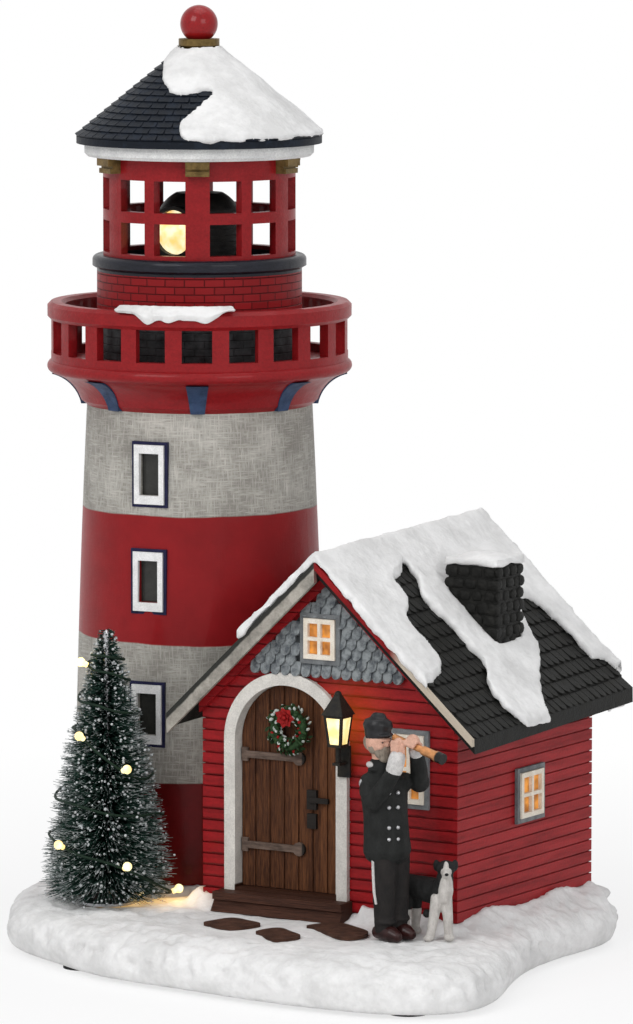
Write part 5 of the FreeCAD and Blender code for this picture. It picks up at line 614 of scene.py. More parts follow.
def add_tube(bm, stations, sides=16):
    """A closed tube with rounded ends; a station is (place, wide, deep)."""
    rings = []
    places = [station[0] for station in stations]
    for index, (place, wide, deep) in enumerate(stations):
        way = (places[min(index + 1, len(places) - 1)] - places[max(index - 1, 0)]).normalized()
        side = (Vector((1, 0, 0)) - way * way.x).normalized()
        other = way.cross(side)
        spots = ((0.0, 1.0),)
        if index == 0:
            spots = ((-0.6, 0.6), (-0.35, 0.88), (0.0, 1.0))
        if index == len(places) - 1:
            spots = ((0.0, 1.0), (0.35, 0.88), (0.6, 0.6))
        for shift, grow in spots:
            ring = []
            for step in range(sides):
                angle = math.tau * step / sides
                reach = side * (math.cos(angle) * wide * grow) + other * (math.sin(angle) * deep * grow)
                ring.append(bm.verts.new(place + way * (shift * min(wide, deep)) + reach))
            rings.append(ring)
    for low, high in zip(rings, rings[1:]):
        for step in range(sides):
            bm.faces.new((low[step], low[(step + 1) % sides], high[(step + 1) % sides], high[step]))
    bm.faces.new(rings[0][::-1])
    bm.faces.new(rings[-1])


def add_ball(bm, centre, radii, turn=0.0):
    """A rounded lump with three half sizes, turned about the vertical."""
    grow = Matrix.Diagonal((*radii, 1))
    place = Matrix.Translation(centre) @ Matrix.Rotation(math.radians(turn), 4, "Z") @ grow
    bmesh.ops.create_icosphere(bm, subdivisions=3, radius=1, matrix=place)


def softened(mesh, name, voxel, smooth):
    """One closed skin of small faces round a mesh, smoothed in rounds."""
    return evaluated(
        mesh, name, ("REMESH", {"mode": "VOXEL", "voxel_size": voxel, "use_smooth_shade": True}),
        ("SMOOTH", {"factor": 0.5, "iterations": smooth}))


def melded(bm, name, voxel, smooth):
    """Lumps and tubes merged into one soft skin."""
    return softened(mesh_of(bm, name), name, voxel, smooth)


def repeat_tree():
    """Geometry nodes that set one piece on every point, turned and stretched by the points' attributes."""
    tree = bpy.data.node_groups.new("Repeat on points", "GeometryNodeTree")
    kinds = (("Points", "NodeSocketGeometry"), ("Piece", "NodeSocketObject"), ("Size", "NodeSocketFloat"),
             ("Spread", "NodeSocketFloat"), ("Seed", "NodeSocketInt"), ("Finish", "NodeSocketMaterial"))
    for label, kind in kinds:
        tree.interface.new_socket(name=label, in_out="INPUT", socket_type=kind)
    tree.interface.new_socket(name="Geometry", in_out="OUTPUT", socket_type="NodeSocketGeometry")
    w = Wiring(tree)
    start = w.add("NodeGroupInput").outputs
    turn, grow = (w.add("GeometryNodeInputNamedAttribute", {"Name": label}, data_type="FLOAT_VECTOR")
                  for label in ("turn", "stretch"))
    low = w.calc("SUBTRACT", start["Size"], start["Spread"])
    high = w.calc("ADD", start["Size"], start["Spread"])
    chance = w.add("FunctionNodeRandomValue", {2: low, 3: high, 8: start["Seed"]}, data_type="FLOAT")
    scale = w.add("ShaderNodeVectorMath", {0: grow.outputs[0], 3: chance.outputs[1]}, operation="SCALE")
    piece = w.add("GeometryNodeObjectInfo", {"Object": start["Piece"]})
    copies = w.add("GeometryNodeInstanceOnPoints", {
        "Points": start["Points"], "Instance": piece.outputs["Geometry"], "Rotation": turn.outputs[0],
        "Scale": scale.outputs[0]})
    whole = w.add("GeometryNodeRealizeInstances", {0: copies.outputs[0]})
    done = w.add("GeometryNodeSetMaterial", {"Geometry": whole.outputs[0], "Material": start["Finish"]})
    end = w.add("NodeGroupOutput")
    w.feed(end.inputs[0], done.outputs[0])
    return tree


def repeated(name, rows, piece, material, spread, seed):
    """One mesh of a piece on many points; a row is (place, turn matrix, stretch)."""
    if "repeat" not in GROUPS:
        GROUPS["repeat"] = repeat_tree()
    tree = GROUPS["repeat"]
    points = bpy.data.meshes.new(name + "_points")
    points.from_pydata([row[0] for row in rows], [], [])
    attributes = {"turn": [row[1].to_euler() for row in rows], "stretch": [row[2] for row in rows]}
    for label, values in attributes.items():
        layer = points.attributes.new(label, "FLOAT_VECTOR", "POINT")
        layer.data.foreach_set("vector", [number for value in values for number in value])
    holder = bpy.data.objects.new(name + "_holder", points)
    model = bpy.data.objects.new(name + "_model", piece)
    for obj in (holder, model):
        bpy.context.collection.objects.link(obj)
    modifier = holder.modifiers.new("Repeat", "NODES")
    modifier.node_group = tree
    values = {"Piece": model, "Size": 1.0, "Spread": spread, "Seed": seed, "Finish": material}
    for item in tree.interface.items_tree:
        if item.in_out == "INPUT" and item.name in values:
            modifier[item.identifier] = values[item.name]
    holder.update_tag()
    mesh = bpy.data.meshes.new_from_object(holder.evaluated_get(bpy.context.evaluated_depsgraph_get()))
    for obj in (holder, model):
        bpy.data.objects.remove(obj)
    return mesh


def basis(across, up, out):
    """A turn that sends X, Y and Z to three directions."""
    return Matrix((across, up, out)).transposed()


def wedge(wide, tall, thick, thin, round_foot=False):
    """A tile that lies in XY with its thick lower edge at the origin."""
    bm = bmesh.new()
    half = wide / 2
    outline = [(-half, tall), (-half, 0.0), (half, 0.0), (half, tall)]
    if round_foot:
        outline = [(-half, tall), (-half, half)]
        outline += [(-half * math.cos(a), half - half * math.sin(a)) for a in (0.5, 1.05, 1.57, 2.09, 2.64)]
        outline += [(half, half), (half, tall)]
    low = [bm.verts.new((x, y, 0)) for x, y in outline]
    high = [bm.verts.new((x * 0.9, y, thick + (thin - thick) * y / tall)) for x, y in outline]
    count = len(outline)
    bm.faces.new(low[::-1])
    bm.faces.new(high)
    for index in range(count):
        following = (index + 1) % count
        bm.faces.new((low[index], low[following], high[following], high[index]))
    return mesh_of(bm, "wedge")


def snow_skin(name, source, voxel, smooth, lift):
    """A softened copy of a snow solid, with uneven snow on its outer faces."""
    mesh = CAD[source].data.copy()
    bm = bmesh.new()
    bm.from_mesh(mesh)
    bmesh.ops.remove_doubles(bm, verts=bm.verts, dist=1e-7)
    bm.to_mesh(mesh)
    bm.free()
    skin = softened(mesh, name, voxel, smooth)
    drop_crumb(skin)
    normals = [vertex.normal.copy() for vertex in skin.vertices]
    for vertex, normal in zip(skin.vertices, normals):
        vertex.co += lift(vertex.co, normal)
    return skin


def drop_crumb(mesh):
    """Remove the loose crumb that hangs beyond the right eave, if there is one."""
    bm = bmesh.new()
    bm.from_mesh(mesh)
    seen = set()
    for start in bm.verts:
        if start in seen:
            continue
        island, queue = [], [start]
        seen.add(start)
        while queue:
            vertex = queue.pop()
            island.append(vertex)
            for edge in vertex.link_edges:
                other = edge.other_vert(vertex)
                if other not in seen:
                    seen.add(other)
                    queue.append(other)
        middle = sum((vertex.co for vertex in island), Vector()) / len(island)
        if middle.x > CRUMB_LIMIT:
            bmesh.ops.delete(bm, geom=island, context="VERTS")
            break
    bm.to_mesh(mesh)
    bm.free()


def outside_house(spot):
    """Distance in plan from the house walls."""
    across = max(HOUSE_LOW.x - spot.x, spot.x - HOUSE_HIGH.x, 0)
    along = max(HOUSE_LOW.y - spot.y, spot.y - HOUSE_HIGH.y, 0)
    return math.hypot(across, along)


def ground_lift(spot, normal):
    """Drifts at the walls and ripples on the open ground, none below or inside."""
    inward = normal.z < 0.35 and normal.dot(spot - Vector((0.0, 0.0, spot.z))) < 0
    if spot.z < EDGE_START or normal.z < -0.25 or inward:
        return Vector((0, 0, 0))
    size = sizes()
    coarse = noise.fractal(spot * 45, 1.0, 2.0, 3)
    fine = noise.fractal(spot * 150, 1.0, 2.0, 3)
    ripple = normal * (size.snow_ripple * (coarse * 1.5 + 0.35 - abs(fine) * 1.7))
    if normal.z < 0.5:
        return ripple * (1.5 * min(1.0, (spot.z - EDGE_START) / EDGE_START))
    tower_gap = math.hypot(spot.x - TOWER.x, spot.y - TOWER.y) - TOWER_CLEAR
    gap = min(outside_house(spot), tower_gap)
    if gap <= 0.0:
        return Vector((0, 0, 0))
    in_front = spot.y < HOUSE_LOW.y
    at_step = in_front and STEP_LEFT < spot.x < STEP_RIGHT
    on_path = in_front and PATH_LEFT < spot.x < PATH_RIGHT and spot.y > PATH_FRONT
    near = 0.0 if at_step else math.exp(-(gap / DRIFT_REACH) ** 2)
    heap = max(0.0, 0.65 + 1.1 * noise.noise(spot * 75) + 0.3 * noise.noise(spot * 210))
    return ripple * (0.25 if on_path else 1.0) + Vector((0, 0, heap * size.snow_lift * near))


def roof_lift(spot, normal):
    """Soft ripples, ragged edges where the snow ends, and none left along the right eave."""
    if spot.x > EAVE_BARE_RIGHT and spot.y > EAVE_BARE_BACK:
        return EAVE_SINK
    ripple = noise.fractal(spot * 90, 1.0, 2.0, 3)
    ragged = noise.fractal(spot * 230, 1.0, 2.0, 2) if normal.z < 0.55 else 0.0
    return normal * (sizes().snow_ripple * (0.5 * ripple + 0.75 * ragged))


def rail_lift(spot, normal):
    """Snow on the rail that thins out to both ends and hangs in uneven tongues."""
    turn = math.degrees(math.atan2(spot.y - TOWER.y, spot.x - TOWER.x))
    share = max(0.0, min(1.0, (turn - RAIL_SNOW_START) / RAIL_SNOW_SWEEP))
    tongues = 0.55 * noise.noise(Vector((share * 7.5, 0.3, 0.7)))
    hang = 0.30 + 0.62 * math.sin(math.pi * share ** 0.8) ** 0.7 + tongues
    reach = max(0.12, min(1.15, hang)) - 1.0
    grain = 0.00012 * noise.noise(spot * 600)
    return Vector((0, 0, -max(0.0, RAIL_SNOW_TOP - spot.z) * reach)) + normal * grain


# Pieces


def paint_works():
    """Plain finishes of the plate, the battery bay, the switch and the drive."""
    steel = ((0.55, 0.55, 0.57), (0.35, 0.35, 0.37))
    even = 0.00005
    paint_pieces(
        ("Dark plate", (0.03, 0.03, 0.033), (0.018, 0.018, 0.02), {"rough": 0.6},
         "base_plate battery_box battery_door"),
        ("Grey felt", (0.06, 0.06, 0.065), (0.03, 0.03, 0.032),
         {"rough": 0.9, "scale": 900, "relief": 0.0004}, "base_feet"),
        ("Turned steel", *steel,
         {"rough": 0.3, "scale": 500, "streak": (1, 1, 6), "contrast": 0.5, "relief": even, "metallic": 1.0},
         "base_screws battery_contacts beacon_motor tree_trunk"),
        ("Cell sleeve", (0.12, 0.14, 0.18), (0.07, 0.08, 0.10),
         {"rough": 0.35, "scale": 300, "relief": even}, "battery_cells"),
        ("Black moulding", (0.022, 0.022, 0.024), (0.014, 0.014, 0.015),
         {"rough": 0.4, "scale": 400, "relief": even}, "switch_body switch_knob beacon_deck beacon_wheel"),
        ("Board lacquer", (0.03, 0.14, 0.05), (0.02, 0.09, 0.035),
         {"rough": 0.3, "scale": 500, "relief": 0.00008}, "house_lamp_board"),
        ("Lead sheath", (0.32, 0.02, 0.016), (0.2, 0.012, 0.01),
         {"rough": 0.45, "scale": 500, "relief": even}, "lamp_lead"),
        ("White moulding", (0.7, 0.7, 0.66), (0.6, 0.6, 0.56),
         {"rough": 0.4, "scale": 400, "relief": even}, "motor_pinion"))


# Snow pieces: CAD node, name, size of the voxels, rounds of smoothing, and what lifts the skin
SNOW_PIECES = (
    ("base_shell", "ground_snow", 0.0011, 5, ground_lift),
    ("house_roof_snow", "house_snow", 0.0007, 5, roof_lift),
    ("tower_roof_snow", "lantern_roof_snow", 0.0006, 5, roof_lift),
    ("gallery_snow", "rail_snow", 0.00035, 3, rail_lift),
)
# Lumps of the chimney's snow: place from its middle, half width and half height
CHIMNEY_LUMPS = (
    (0.0, 0.0, 0.0086, 0.0027), (0.004, -0.004, 0.0052, 0.0022), (-0.004, 0.003, 0.0050, 0.0024),
    (-0.003, -0.004, 0.0054, 0.0019),
)
CHIMNEY_SNOW_LEVEL = 0.0012


def make_snow():
    """Snow on the ground, both roofs, the rail and the chimney."""
    snow = snow_material()
    for source, name, voxel, smooth, lift in SNOW_PIECES:
        skin = snow_skin(name, source, voxel, smooth, lift)
        publish(skin, name, snow, stands_for=[source], slot=source)
    bm = bmesh.new()
    low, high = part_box("chimney")
    middle = (Vector(low) + Vector(high)) / 2
    for across, along, wide, tall in CHIMNEY_LUMPS:
        centre = Vector((middle.x + across, middle.y + along, high[2] + CHIMNEY_SNOW_LEVEL))
        add_ball(bm, centre, (wide, wide, tall))
    publish(melded(bm, "chimney_snow", voxel=0.0006, smooth=4), "chimney_snow", snow, slot="house_roof_snow")


def make_tower():
    """Finishes of the tower, gallery, lantern and beacon, and the lantern's slates."""
    c = colours()
    dress(tower_material(), "tower_shell")
    dress(plinth_material(), "lantern_plinth")
    paint_pieces(
        ("Gallery red", scaled(c.tower_red, 1.25), c.tower_red,
         {"rough": 0.42, "scale": 130, "streak": (1, 1, 2), "contrast": 0.7, "relief": 0.0003, "coat": 0.15},
         "gallery_deck gallery_rail lantern_cage"),
        ("Navy trim", c.navy, (0.010, 0.010, 0.03), {"scale": 300}, "tower_window_surrounds"),
        ("White trim", c.snow, (0.62, 0.62, 0.61), {"scale": 300, "contrast": 0.5}, "tower_window_frames"),
        ("Dark pane", (0.032, 0.032, 0.028), (0.02, 0.02, 0.018), {"rough": 0.3, "scale": 200, "coat": 0.4},
         "tower_window_panes"),
        ("Bracket paint", c.bracket_blue, scaled(c.bracket_blue, 0.4), {"scale": 260}, "gallery_brackets"),
        ("Black ring", (0.009, 0.010, 0.015), (0.018, 0.019, 0.028),
         {"rough": 0.34, "scale": 200, "streak": (1, 1, 4), "coat": 0.15}, "lantern_sill"),
        ("Eave white", (0.78, 0.78, 0.76), (0.58, 0.58, 0.58), {"rough": 0.55, "scale": 220, "contrast": 0.6},
         "tower_roof_soffit"),
        ("Gold paint", c.gold, scaled(c.gold, 0.35), {"rough": 0.4, "scale": 350, "metallic": 0.55},
         "lantern_capitals finial_collar"),
        ("Glossy red", (0.30, 0.008, 0.010), (0.20, 0.005, 0.007),
         {"rough": 0.3, "scale": 200, "relief": 0.00006, "coat": 0.3}, "finial_ball"),
        ("Hood black", (0.014, 0.014, 0.014), (0.03, 0.028, 0.025), {"rough": 0.4, "scale": 300},
         "beacon_hood"))
    dress(slate_material("Lantern roof slate", relief=0.0003, scale=200, cast=BLUE_CAST), "tower_roof")
    dress(lit_material("Beacon light", c.lamplight, (1.0, 0.60, 0.16), strength=1.15), "beacon_lamp_post")
    dress(lit_material("Lens light", (1.0, 0.93, 0.62), (1.0, 0.62, 0.20), strength=1.0), "beacon_lens")
    make_lantern_slates()


def make_lantern_slates():
    """Rows of thin slates on the lantern roof."""
    slate = slate_material("Lantern slates", relief=0.0003, scale=240, cast=BLUE_CAST)
    run, rise = LANTERN_NECK_RADIUS - LANTERN_EAVE_RADIUS, LANTERN_NECK_LEVEL - LANTERN_EAVE_LEVEL
    slope = math.atan2(rise, -run)
    clearance = 0.00008
    rows = []
    for row in range(LANTERN_COURSES):
        share = row / LANTERN_COURSES
        radius = LANTERN_EAVE_RADIUS + run * share
        level = LANTERN_EAVE_LEVEL + rise * share
        number = max(8, round(math.tau * radius / LANTERN_SLATE))
        for step in range(number):
            angle = math.tau * (step + 0.5 * (row % 2)) / number + TOWER_TURN
            out = Vector((math.cos(angle), math.sin(angle), 0))
            up = (-out * math.cos(slope) + Vector((0, 0, math.sin(slope)))).normalized()
            normal = (out * math.sin(slope) + Vector((0, 0, math.cos(slope)))).normalized()
            place = TOWER + out * radius + Vector((0, 0, level)) + normal * clearance
            width = math.tau * radius / number / LANTERN_SLATE
            rows.append((place, basis(up.cross(normal), up, normal), (width, 1, 1)))
    tile = wedge(wide=0.0051, tall=0.0034, thick=0.00055, thin=0.0001)
    mesh = repeated("lantern_slates", rows, tile, slate, spread=0.03, seed=3)
    publish(mesh, "lantern_slates", slot="tower_roof", smooth=False)


def make_house():
    """Finishes of the house and its yard, with tiles, scales and stones."""
    c = colours()
    dress(board_material(), "house_walls")
    paint_pieces(
        # Painted shade: the ground behind the scales is near-black, for the shade in the gaps between them.
        ("Gable ground", (0.04, 0.043, 0.045), (0.02, 0.021, 0.022), {"rough": 0.6, "scale": 300},
         "gable_shingles"),
        ("Grey casing", (0.20, 0.21, 0.215), (0.10, 0.105, 0.11), {"rough": 0.6, "scale": 300},
         "window_surrounds"),
        ("Cream frame", (0.84, 0.78, 0.68), (0.66, 0.55, 0.42), {"scale": 320, "contrast": 0.6},
         "window_frames"),
        ("Stepping stone", (0.085, 0.04, 0.026), (0.03, 0.015, 0.011),
         {"rough": 0.7, "scale": 260, "relief": 0.0006}, "stepping_stones"),
        ("Lamp black", (0.012, 0.012, 0.012), (0.035, 0.03, 0.022),
         {"rough": 0.4, "scale": 380, "relief": 0.0003}, "wall_lamp"))
    dress(lit_material("Amber panes", c.amber, (0.30, 0.10, 0.018), strength=0.42), "window_panes")
    dress(lit_material("Lamp panes", (1.0, 0.90, 0.50), (0.85, 0.62, 0.22), strength=0.9), "wall_lamp_panes")
    dress(timber_material("Door planks", c.timber, c.timber_shade, along=2, plank=DOOR_PLANK), "door_leaf")
    dress(timber_material("Step wood", (0.10, 0.042, 0.027), (0.035, 0.015, 0.010), along=0), "doorstep")
    dress(slate_material("House roof ground", relief=0.0003, scale=240), "house_roof")
    dress(slate_material("Chimney ground", relief=0.0004, scale=300), "chimney")
    dress_arch()
    dress_bargeboards()
    dress_ironwork()
    make_roof_tiles()
    make_gable_scales()
    make_chimney_stones()


def dress_arch():
    """White trim round the door, with a brown sill between its feet."""
    c = colours()
    material, w, shader, place = blank("Arch trim", 0.55)
    out = brushed(w, place, c.cream, scaled(c.cream, 0.74), 240, contrast=0.7)
    spot = w.parts(place)
    edge = 0.0002
    from_left = w.span(spot[0], SILL_LEFT, SILL_LEFT + edge)
    from_right = w.span(spot[0], SILL_RIGHT - edge, SILL_RIGHT, 1.0, 0.0)
    below = w.span(spot[2], SILL_TOP - 2 * edge, SILL_TOP, 1.0, 0.0)
    sill = w.calc("MULTIPLY", w.calc("MULTIPLY", from_left, from_right), below)
    w.feed(shader.inputs["Base Color"], w.blend(sill, out["Colour"], c.timber_shade))
    w.feed(shader.inputs["Normal"], w.bump(out["Height"], distance=0.0003))
    dress(material, "door_surround")


def dress_bargeboards():
    """Grey-beige board on the left with a dark top edge, red on the right with a pale lower end."""
    material, w, shader, place = blank("Bargeboard paint", 0.62)
    out = brushed(w, place, (0.43, 0.40, 0.35), (0.17, 0.16, 0.14), 170, contrast=0.85)
    spot = w.parts(place)
    across = w.calc("SUBTRACT", spot[0], RIDGE.x)
    drop = w.calc("MULTIPLY_ADD", w.calc("ABSOLUTE", across), math.tan(ROOF_PITCH), spot[2])
    edge = w.calc("MULTIPLY_ADD", w.noise(place, scale=240, detail=3, rough=0.6), 0.0012, drop)
    left = w.blend(w.span(edge, 0.1240, 0.1246), out["Colour"], (0.03, 0.03, 0.027))
    pale_end = w.calc("MULTIPLY", w.span(across, 0.026, 0.030), w.span(edge, 0.1226, 0.1230))
    patch = w.span(w.noise(place, scale=110, detail=4, rough=0.6), 0.35, 0.7)
    red = w.blend(patch, (0.30, 0.012, 0.014), (0.13, 0.006, 0.008))
    right = w.blend(pale_end, red, (0.52, 0.45, 0.36))
    w.feed(shader.inputs["Base Color"], w.blend(w.span(across, -0.0001, 0.0001), left, right))
    w.feed(shader.inputs["Normal"], w.bump(out["Height"], distance=0.0004, strength=0.9))
    dress(material, "bargeboards")


def dress_ironwork():
    """Weathered straps, with the latch and lock nearly black."""
    material, w, shader, place = blank("Weathered straps", 0.6)
    out = brushed(w, place, (0.17, 0.12, 0.095), (0.065, 0.045, 0.036), 420, streak=(0.5, 1, 2), contrast=0.9)
    dark = w.span(w.parts(place)[0], LATCH_START, LATCH_START + 0.0005)
    w.feed(shader.inputs["Base Color"], w.blend(dark, out["Colour"], (0.02, 0.017, 0.015)))
    w.feed(shader.inputs["Normal"], w.bump(out["Height"], distance=0.0004, strength=0.9))
    dress(material, "door_ironwork")


def make_roof_tiles():
    """Courses of tiles on both slopes, clear of the tower."""
    size = sizes()
    width = size.tile_width
    slate = slate_material("House tiles", relief=0.0003, scale=260)
    run = ROOF_SPAN / ROOF_COURSES
    lift = (ROOF_THICKNESS - 0.0003) / math.cos(ROOF_PITCH)
    number = int((ROOF_FRONT + ROOF_BACK - 0.001) / width)
    lean = Matrix.Rotation(ROOF_LEAN, 3, "X")
    rows = []
    chance = random.Random(11)
    for side in (-1, 1):
        up = Vector((-side * math.cos(ROOF_PITCH), 0, math.sin(ROOF_PITCH)))
        out = Vector((side * math.sin(ROOF_PITCH), 0, math.cos(ROOF_PITCH)))
        turn = lean @ basis(up.cross(out), up, out)
        for course in range(1, ROOF_COURSES + 1):
            reach = run * course
            for step in range(number):
                along = -ROOF_FRONT + width * (step + 0.5 + 0.5 * (course % 2))
                place = RIDGE + lean @ Vector((side * reach, along, -reach * math.tan(ROOF_PITCH) + lift))
                in_tower = math.hypot(place.x - TOWER.x, place.y - TOWER.y) < TOWER_CLEAR
                if in_tower or along + width / 2 > ROOF_BACK:
                    continue
                stretch = (chance.uniform(0.9, 1.02), chance.uniform(0.95, 1.06), chance.uniform(0.8, 1.25))
                rows.append((place, turn, stretch))
    fit = 0.98
    tile = wedge(width * fit, run / math.cos(ROOF_PITCH) * fit, thick=0.0008, thin=0.00025, round_foot=True)
    mesh = repeated("house_tiles", rows, tile, slate, spread=0.02, seed=5)
    publish(mesh, "house_tiles", slot="house_roof", smooth=False)


def make_gable_scales():
    """Rounded scales in the gable, mottled dark and light grey, lighter where the bump rises."""
    width = sizes().scale_width
    material, w, shader, place = blank("Gable scales", 0.65)
    patch = w.noise(place, scale=420, detail=4, rough=0.65)
    mix = w.blend(w.span(patch, 0.36, 0.60), (0.085, 0.095, 0.105), (0.27, 0.29, 0.295))
    w.feed(shader.inputs["Base Color"], mix)
    w.feed(shader.inputs["Normal"], w.bump(patch, distance=0.0004, strength=0.8))
    rows = []
    facing = Matrix(((1, 0, 0), (0, 0, -1), (0, 1, 0)))
    turn = Matrix.Rotation(math.radians(-7), 3, "X") @ facing
    side_gap = 0.0011
    for row in range(GABLE_COURSES):
        level = GABLE_FOOT + GABLE_COURSE * row
        half = (GABLE_TOP - level) / math.tan(ROOF_PITCH) - side_gap
        number = int(2 * half / width) + 2
        for step in range(-number, number + 1):
            across = (step + 0.5 * (row % 2)) * width
            place_x = RIDGE.x + across
            beside = abs(place_x - GABLE_WINDOW_MIDDLE) >= GABLE_WINDOW_HALF
            clear = beside or not GABLE_WINDOW_LOW < level < GABLE_WINDOW_HIGH
            if clear and abs(across) <= half - width * 0.3:
                rows.append((Vector((place_x, GABLE_FACE, level)), turn, (1, 1, 1)))
    tongue = wedge(width * 0.97, tall=0.0044, thick=0.0010, thin=0.0003, round_foot=True)
    mesh = repeated("gable_scales", rows, tongue, material, spread=0.04, seed=7)
    publish(mesh, "gable_scales", slot="gable_shingles", smooth=False)


def roof_level(across, along):
    """Height of the roof's upper face at a spot in plan."""
    back = along - RIDGE.y
    fall = abs(across - RIDGE.x) * math.tan(ROOF_PITCH)
    return RIDGE.z + ROOF_THICKNESS / math.cos(ROOF_PITCH) - fall + back * math.tan(ROOF_LEAN)


def ball(level):
    """A round lump of radius 1."""
    bm = bmesh.new()
    bmesh.ops.create_icosphere(bm, subdivisions=level, radius=1)
    return bm


def make_chimney_stones():
    """Rounded stones on the four faces of the chimney."""
    stone = slate_material("Chimney stones", relief=0.0005, scale=320)
    course = sizes().stone_width
    low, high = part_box("chimney")
    middle = (Vector(low) + Vector(high)) / 2
    halves = ((high[0] - low[0]) / 2, (high[1] - low[1]) / 2)
    margin, sink = 0.0016, 0.0003
    rows = []
    chance = random.Random(23)
    for face in range(4):
        turn = Matrix.Rotation(face * math.pi / 2, 3, "Z")
        out, side = turn @ Vector((0, -1, 0)), turn @ Vector((1, 0, 0))
        width, reach = halves if face % 2 == 0 else halves[::-1]
        count = round(2 * width / course)
        pitch = 2 * width / count
        for row in range(CHIMNEY_COURSES):
            level = high[2] - 0.0019 - row * course * 0.86
            for step in range(count + row % 2):
                across = -width + pitch * (step + 0.5 - 0.5 * (row % 2))
                across = max(-width + margin, min(width - margin, across))
                place = Vector((middle.x, middle.y, level)) + out * (reach - sink) + side * across
                if level < roof_level(place.x, place.y) - 0.001:
                    continue
                grow = (pitch * chance.uniform(0.44, 0.56), course * chance.uniform(0.37, 0.46),
                        0.0010 * chance.uniform(0.7, 1.2))
                spin = Matrix.Rotation(chance.uniform(-0.16, 0.16), 3, "Z")
                rows.append((place, basis(side, Vector((0, 0, 1)), out) @ spin, grow))
    bm = ball(2)
    for vertex in bm.verts:
        square = Vector([math.copysign(abs(value) ** 0.62, value) for value in vertex.co])
        vertex.co = square * (0.92 + 0.16 * noise.noise(vertex.co * 1.7))
    mesh = repeated("chimney_stones", rows, mesh_of(bm, "stone"), stone, spread=0.06, seed=9)
    publish(mesh, "chimney_stones", slot="chimney")


def around(angle):
    """A way out from the middle of the wreath."""
    return Vector((math.cos(angle), 0, math.sin(angle)))


def leaf_shape():
    """A pointed leaf, raised along its middle."""
    bm = bmesh.new()
    half = ((0.34, 0.35, 0.1), (0.42, 0.62, 0.16))
    spots = ((0, 0, 0), *half, (0, 1, 0.1), *((-x, y, z) for x, y, z in reversed(half)))
    rim = [bm.verts.new(spot) for spot in spots]
    rib = bm.verts.new((0, 0.55, 0.30))
    back = bm.verts.new((0, 0.5, -0.05))
    edges = list(zip(rim, rim[1:] + rim[:1]))
    for first, second in edges:
        bm.faces.new((first, second, rib))
    for first, second in edges:
        bm.faces.new((second, first, back))
    return mesh_of(bm, "leaf")


def make_wreath():
    """Leaves, berries and a red flower on a ring."""
    leaf_paint = paint("Wreath leaves", (0.035, 0.075, 0.028), (0.012, 0.028, 0.012), rough=0.6, scale=700)
    frost = paint("Leaf frost", (0.55, 0.58, 0.55), (0.3, 0.34, 0.3), rough=0.7, scale=700)
    red = paint("Berry red", (0.33, 0.012, 0.012), (0.16, 0.005, 0.005), rough=0.4, scale=500)
    front = Vector((0, -1, 0))
    chance = random.Random(5)
    leaves, flecks, berries = [], [], []
    count = 170
    for step in range(count):
        angle = math.tau * step / count + chance.uniform(-0.05, 0.05)
        roll = chance.uniform(-2.2, 2.2)
        ring = around(angle)
        along = Vector((-math.sin(angle), 0, math.cos(angle)))
        out = (ring * math.sin(roll) + front * math.cos(roll)).normalized()
        place = WREATH_PLACE + ring * WREATH_RADIUS + out * WREATH_THICKNESS * 0.75
        way = along * chance.uniform(0.5, 1.0) + out * chance.uniform(0.2, 0.6) + ring * math.sin(roll) * 0.5
        way.normalize()
        side = way.cross(out).normalized()
        turn = basis(side, way, side.cross(way))
        grow = chance.uniform(0.0014, 0.0022)
        leaves.append((place, turn, (grow, grow, grow)))
        if step % 3 == 0:
            flecks.append((place + out * 0.0004 + way * 0.001, turn, (0.0005, 0.0007, 0.0003)))
        if step % 11 == 4:
            berries.append((place + out * 0.0005, turn, (0.00055, 0.00055, 0.00055)))
    core = bmesh.new()
    parts = 24
    for step in range(parts):
        ends = [WREATH_PLACE + around(math.tau * end / parts) * WREATH_RADIUS for end in (step, step + 1)]
        add_tube(core, [(end, WREATH_THICKNESS * 0.8, WREATH_THICKNESS * 0.8) for end in ends], sides=10)
    flower = WREATH_PLACE + Vector((0.0002, -0.0020, 0.0040))
    petals = []
    for layer, count, long in ((0, 7, 0.0036), (1, 5, 0.0026)):
        for step in range(count):
            angle = math.tau * (step + 0.3 * layer) / count
            way = Vector((math.cos(angle), -0.25 - 0.3 * layer, math.sin(angle))).normalized()
            side = way.cross(front).normalized()
            petals.append((flower + front * (0.0003 * layer), basis(side, way, side.cross(way)),
                           (long * 0.8, long, long * 0.6)))
    berries.append((flower + front * 0.0012, Matrix.Identity(3), (0.0007, 0.0006, 0.0007)))
    mesh = melded(core, "wreath_core", voxel=0.0004, smooth=2)
    publish(mesh, "wreath_core", leaf_paint, stands_for=["wreath"], slot="wreath")
    for name, rows, shape, material, spread, seed, smooth in (
            ("wreath_leaves", leaves, leaf_shape(), leaf_paint, 0.15, 2, False),
            ("wreath_frost", flecks, mesh_of(ball(2), "bead"), frost, 0.3, 4, True),
            ("wreath_flower", petals, leaf_shape(), red, 0.08, 6, False),
            ("wreath_berries", berries, mesh_of(ball(2), "bead"), red, 0.1, 8, True)):
        publish(repeated(name, rows, shape, material, spread, seed), name, slot="wreath", smooth=smooth)


# Outline of the brush tree: share of its height and share of its radius
TREE_OUTLINE = (
    (0.0, 0.93), (0.065, 1.0), (0.112, 1.03), (0.32, 0.88), (0.518, 0.685), (0.812, 0.337), (1.0, 0.087),
)
TREE_FOOT_SHARE = 0.055


def tree_outline(share):
    """Radius share of the brush at a height share."""
    for (low, first), (high, second) in zip(TREE_OUTLINE, TREE_OUTLINE[1:]):
        if share <= high:
            return first + (second - first) * (share - low) / (high - low)
    return TREE_OUTLINE[-1][1]


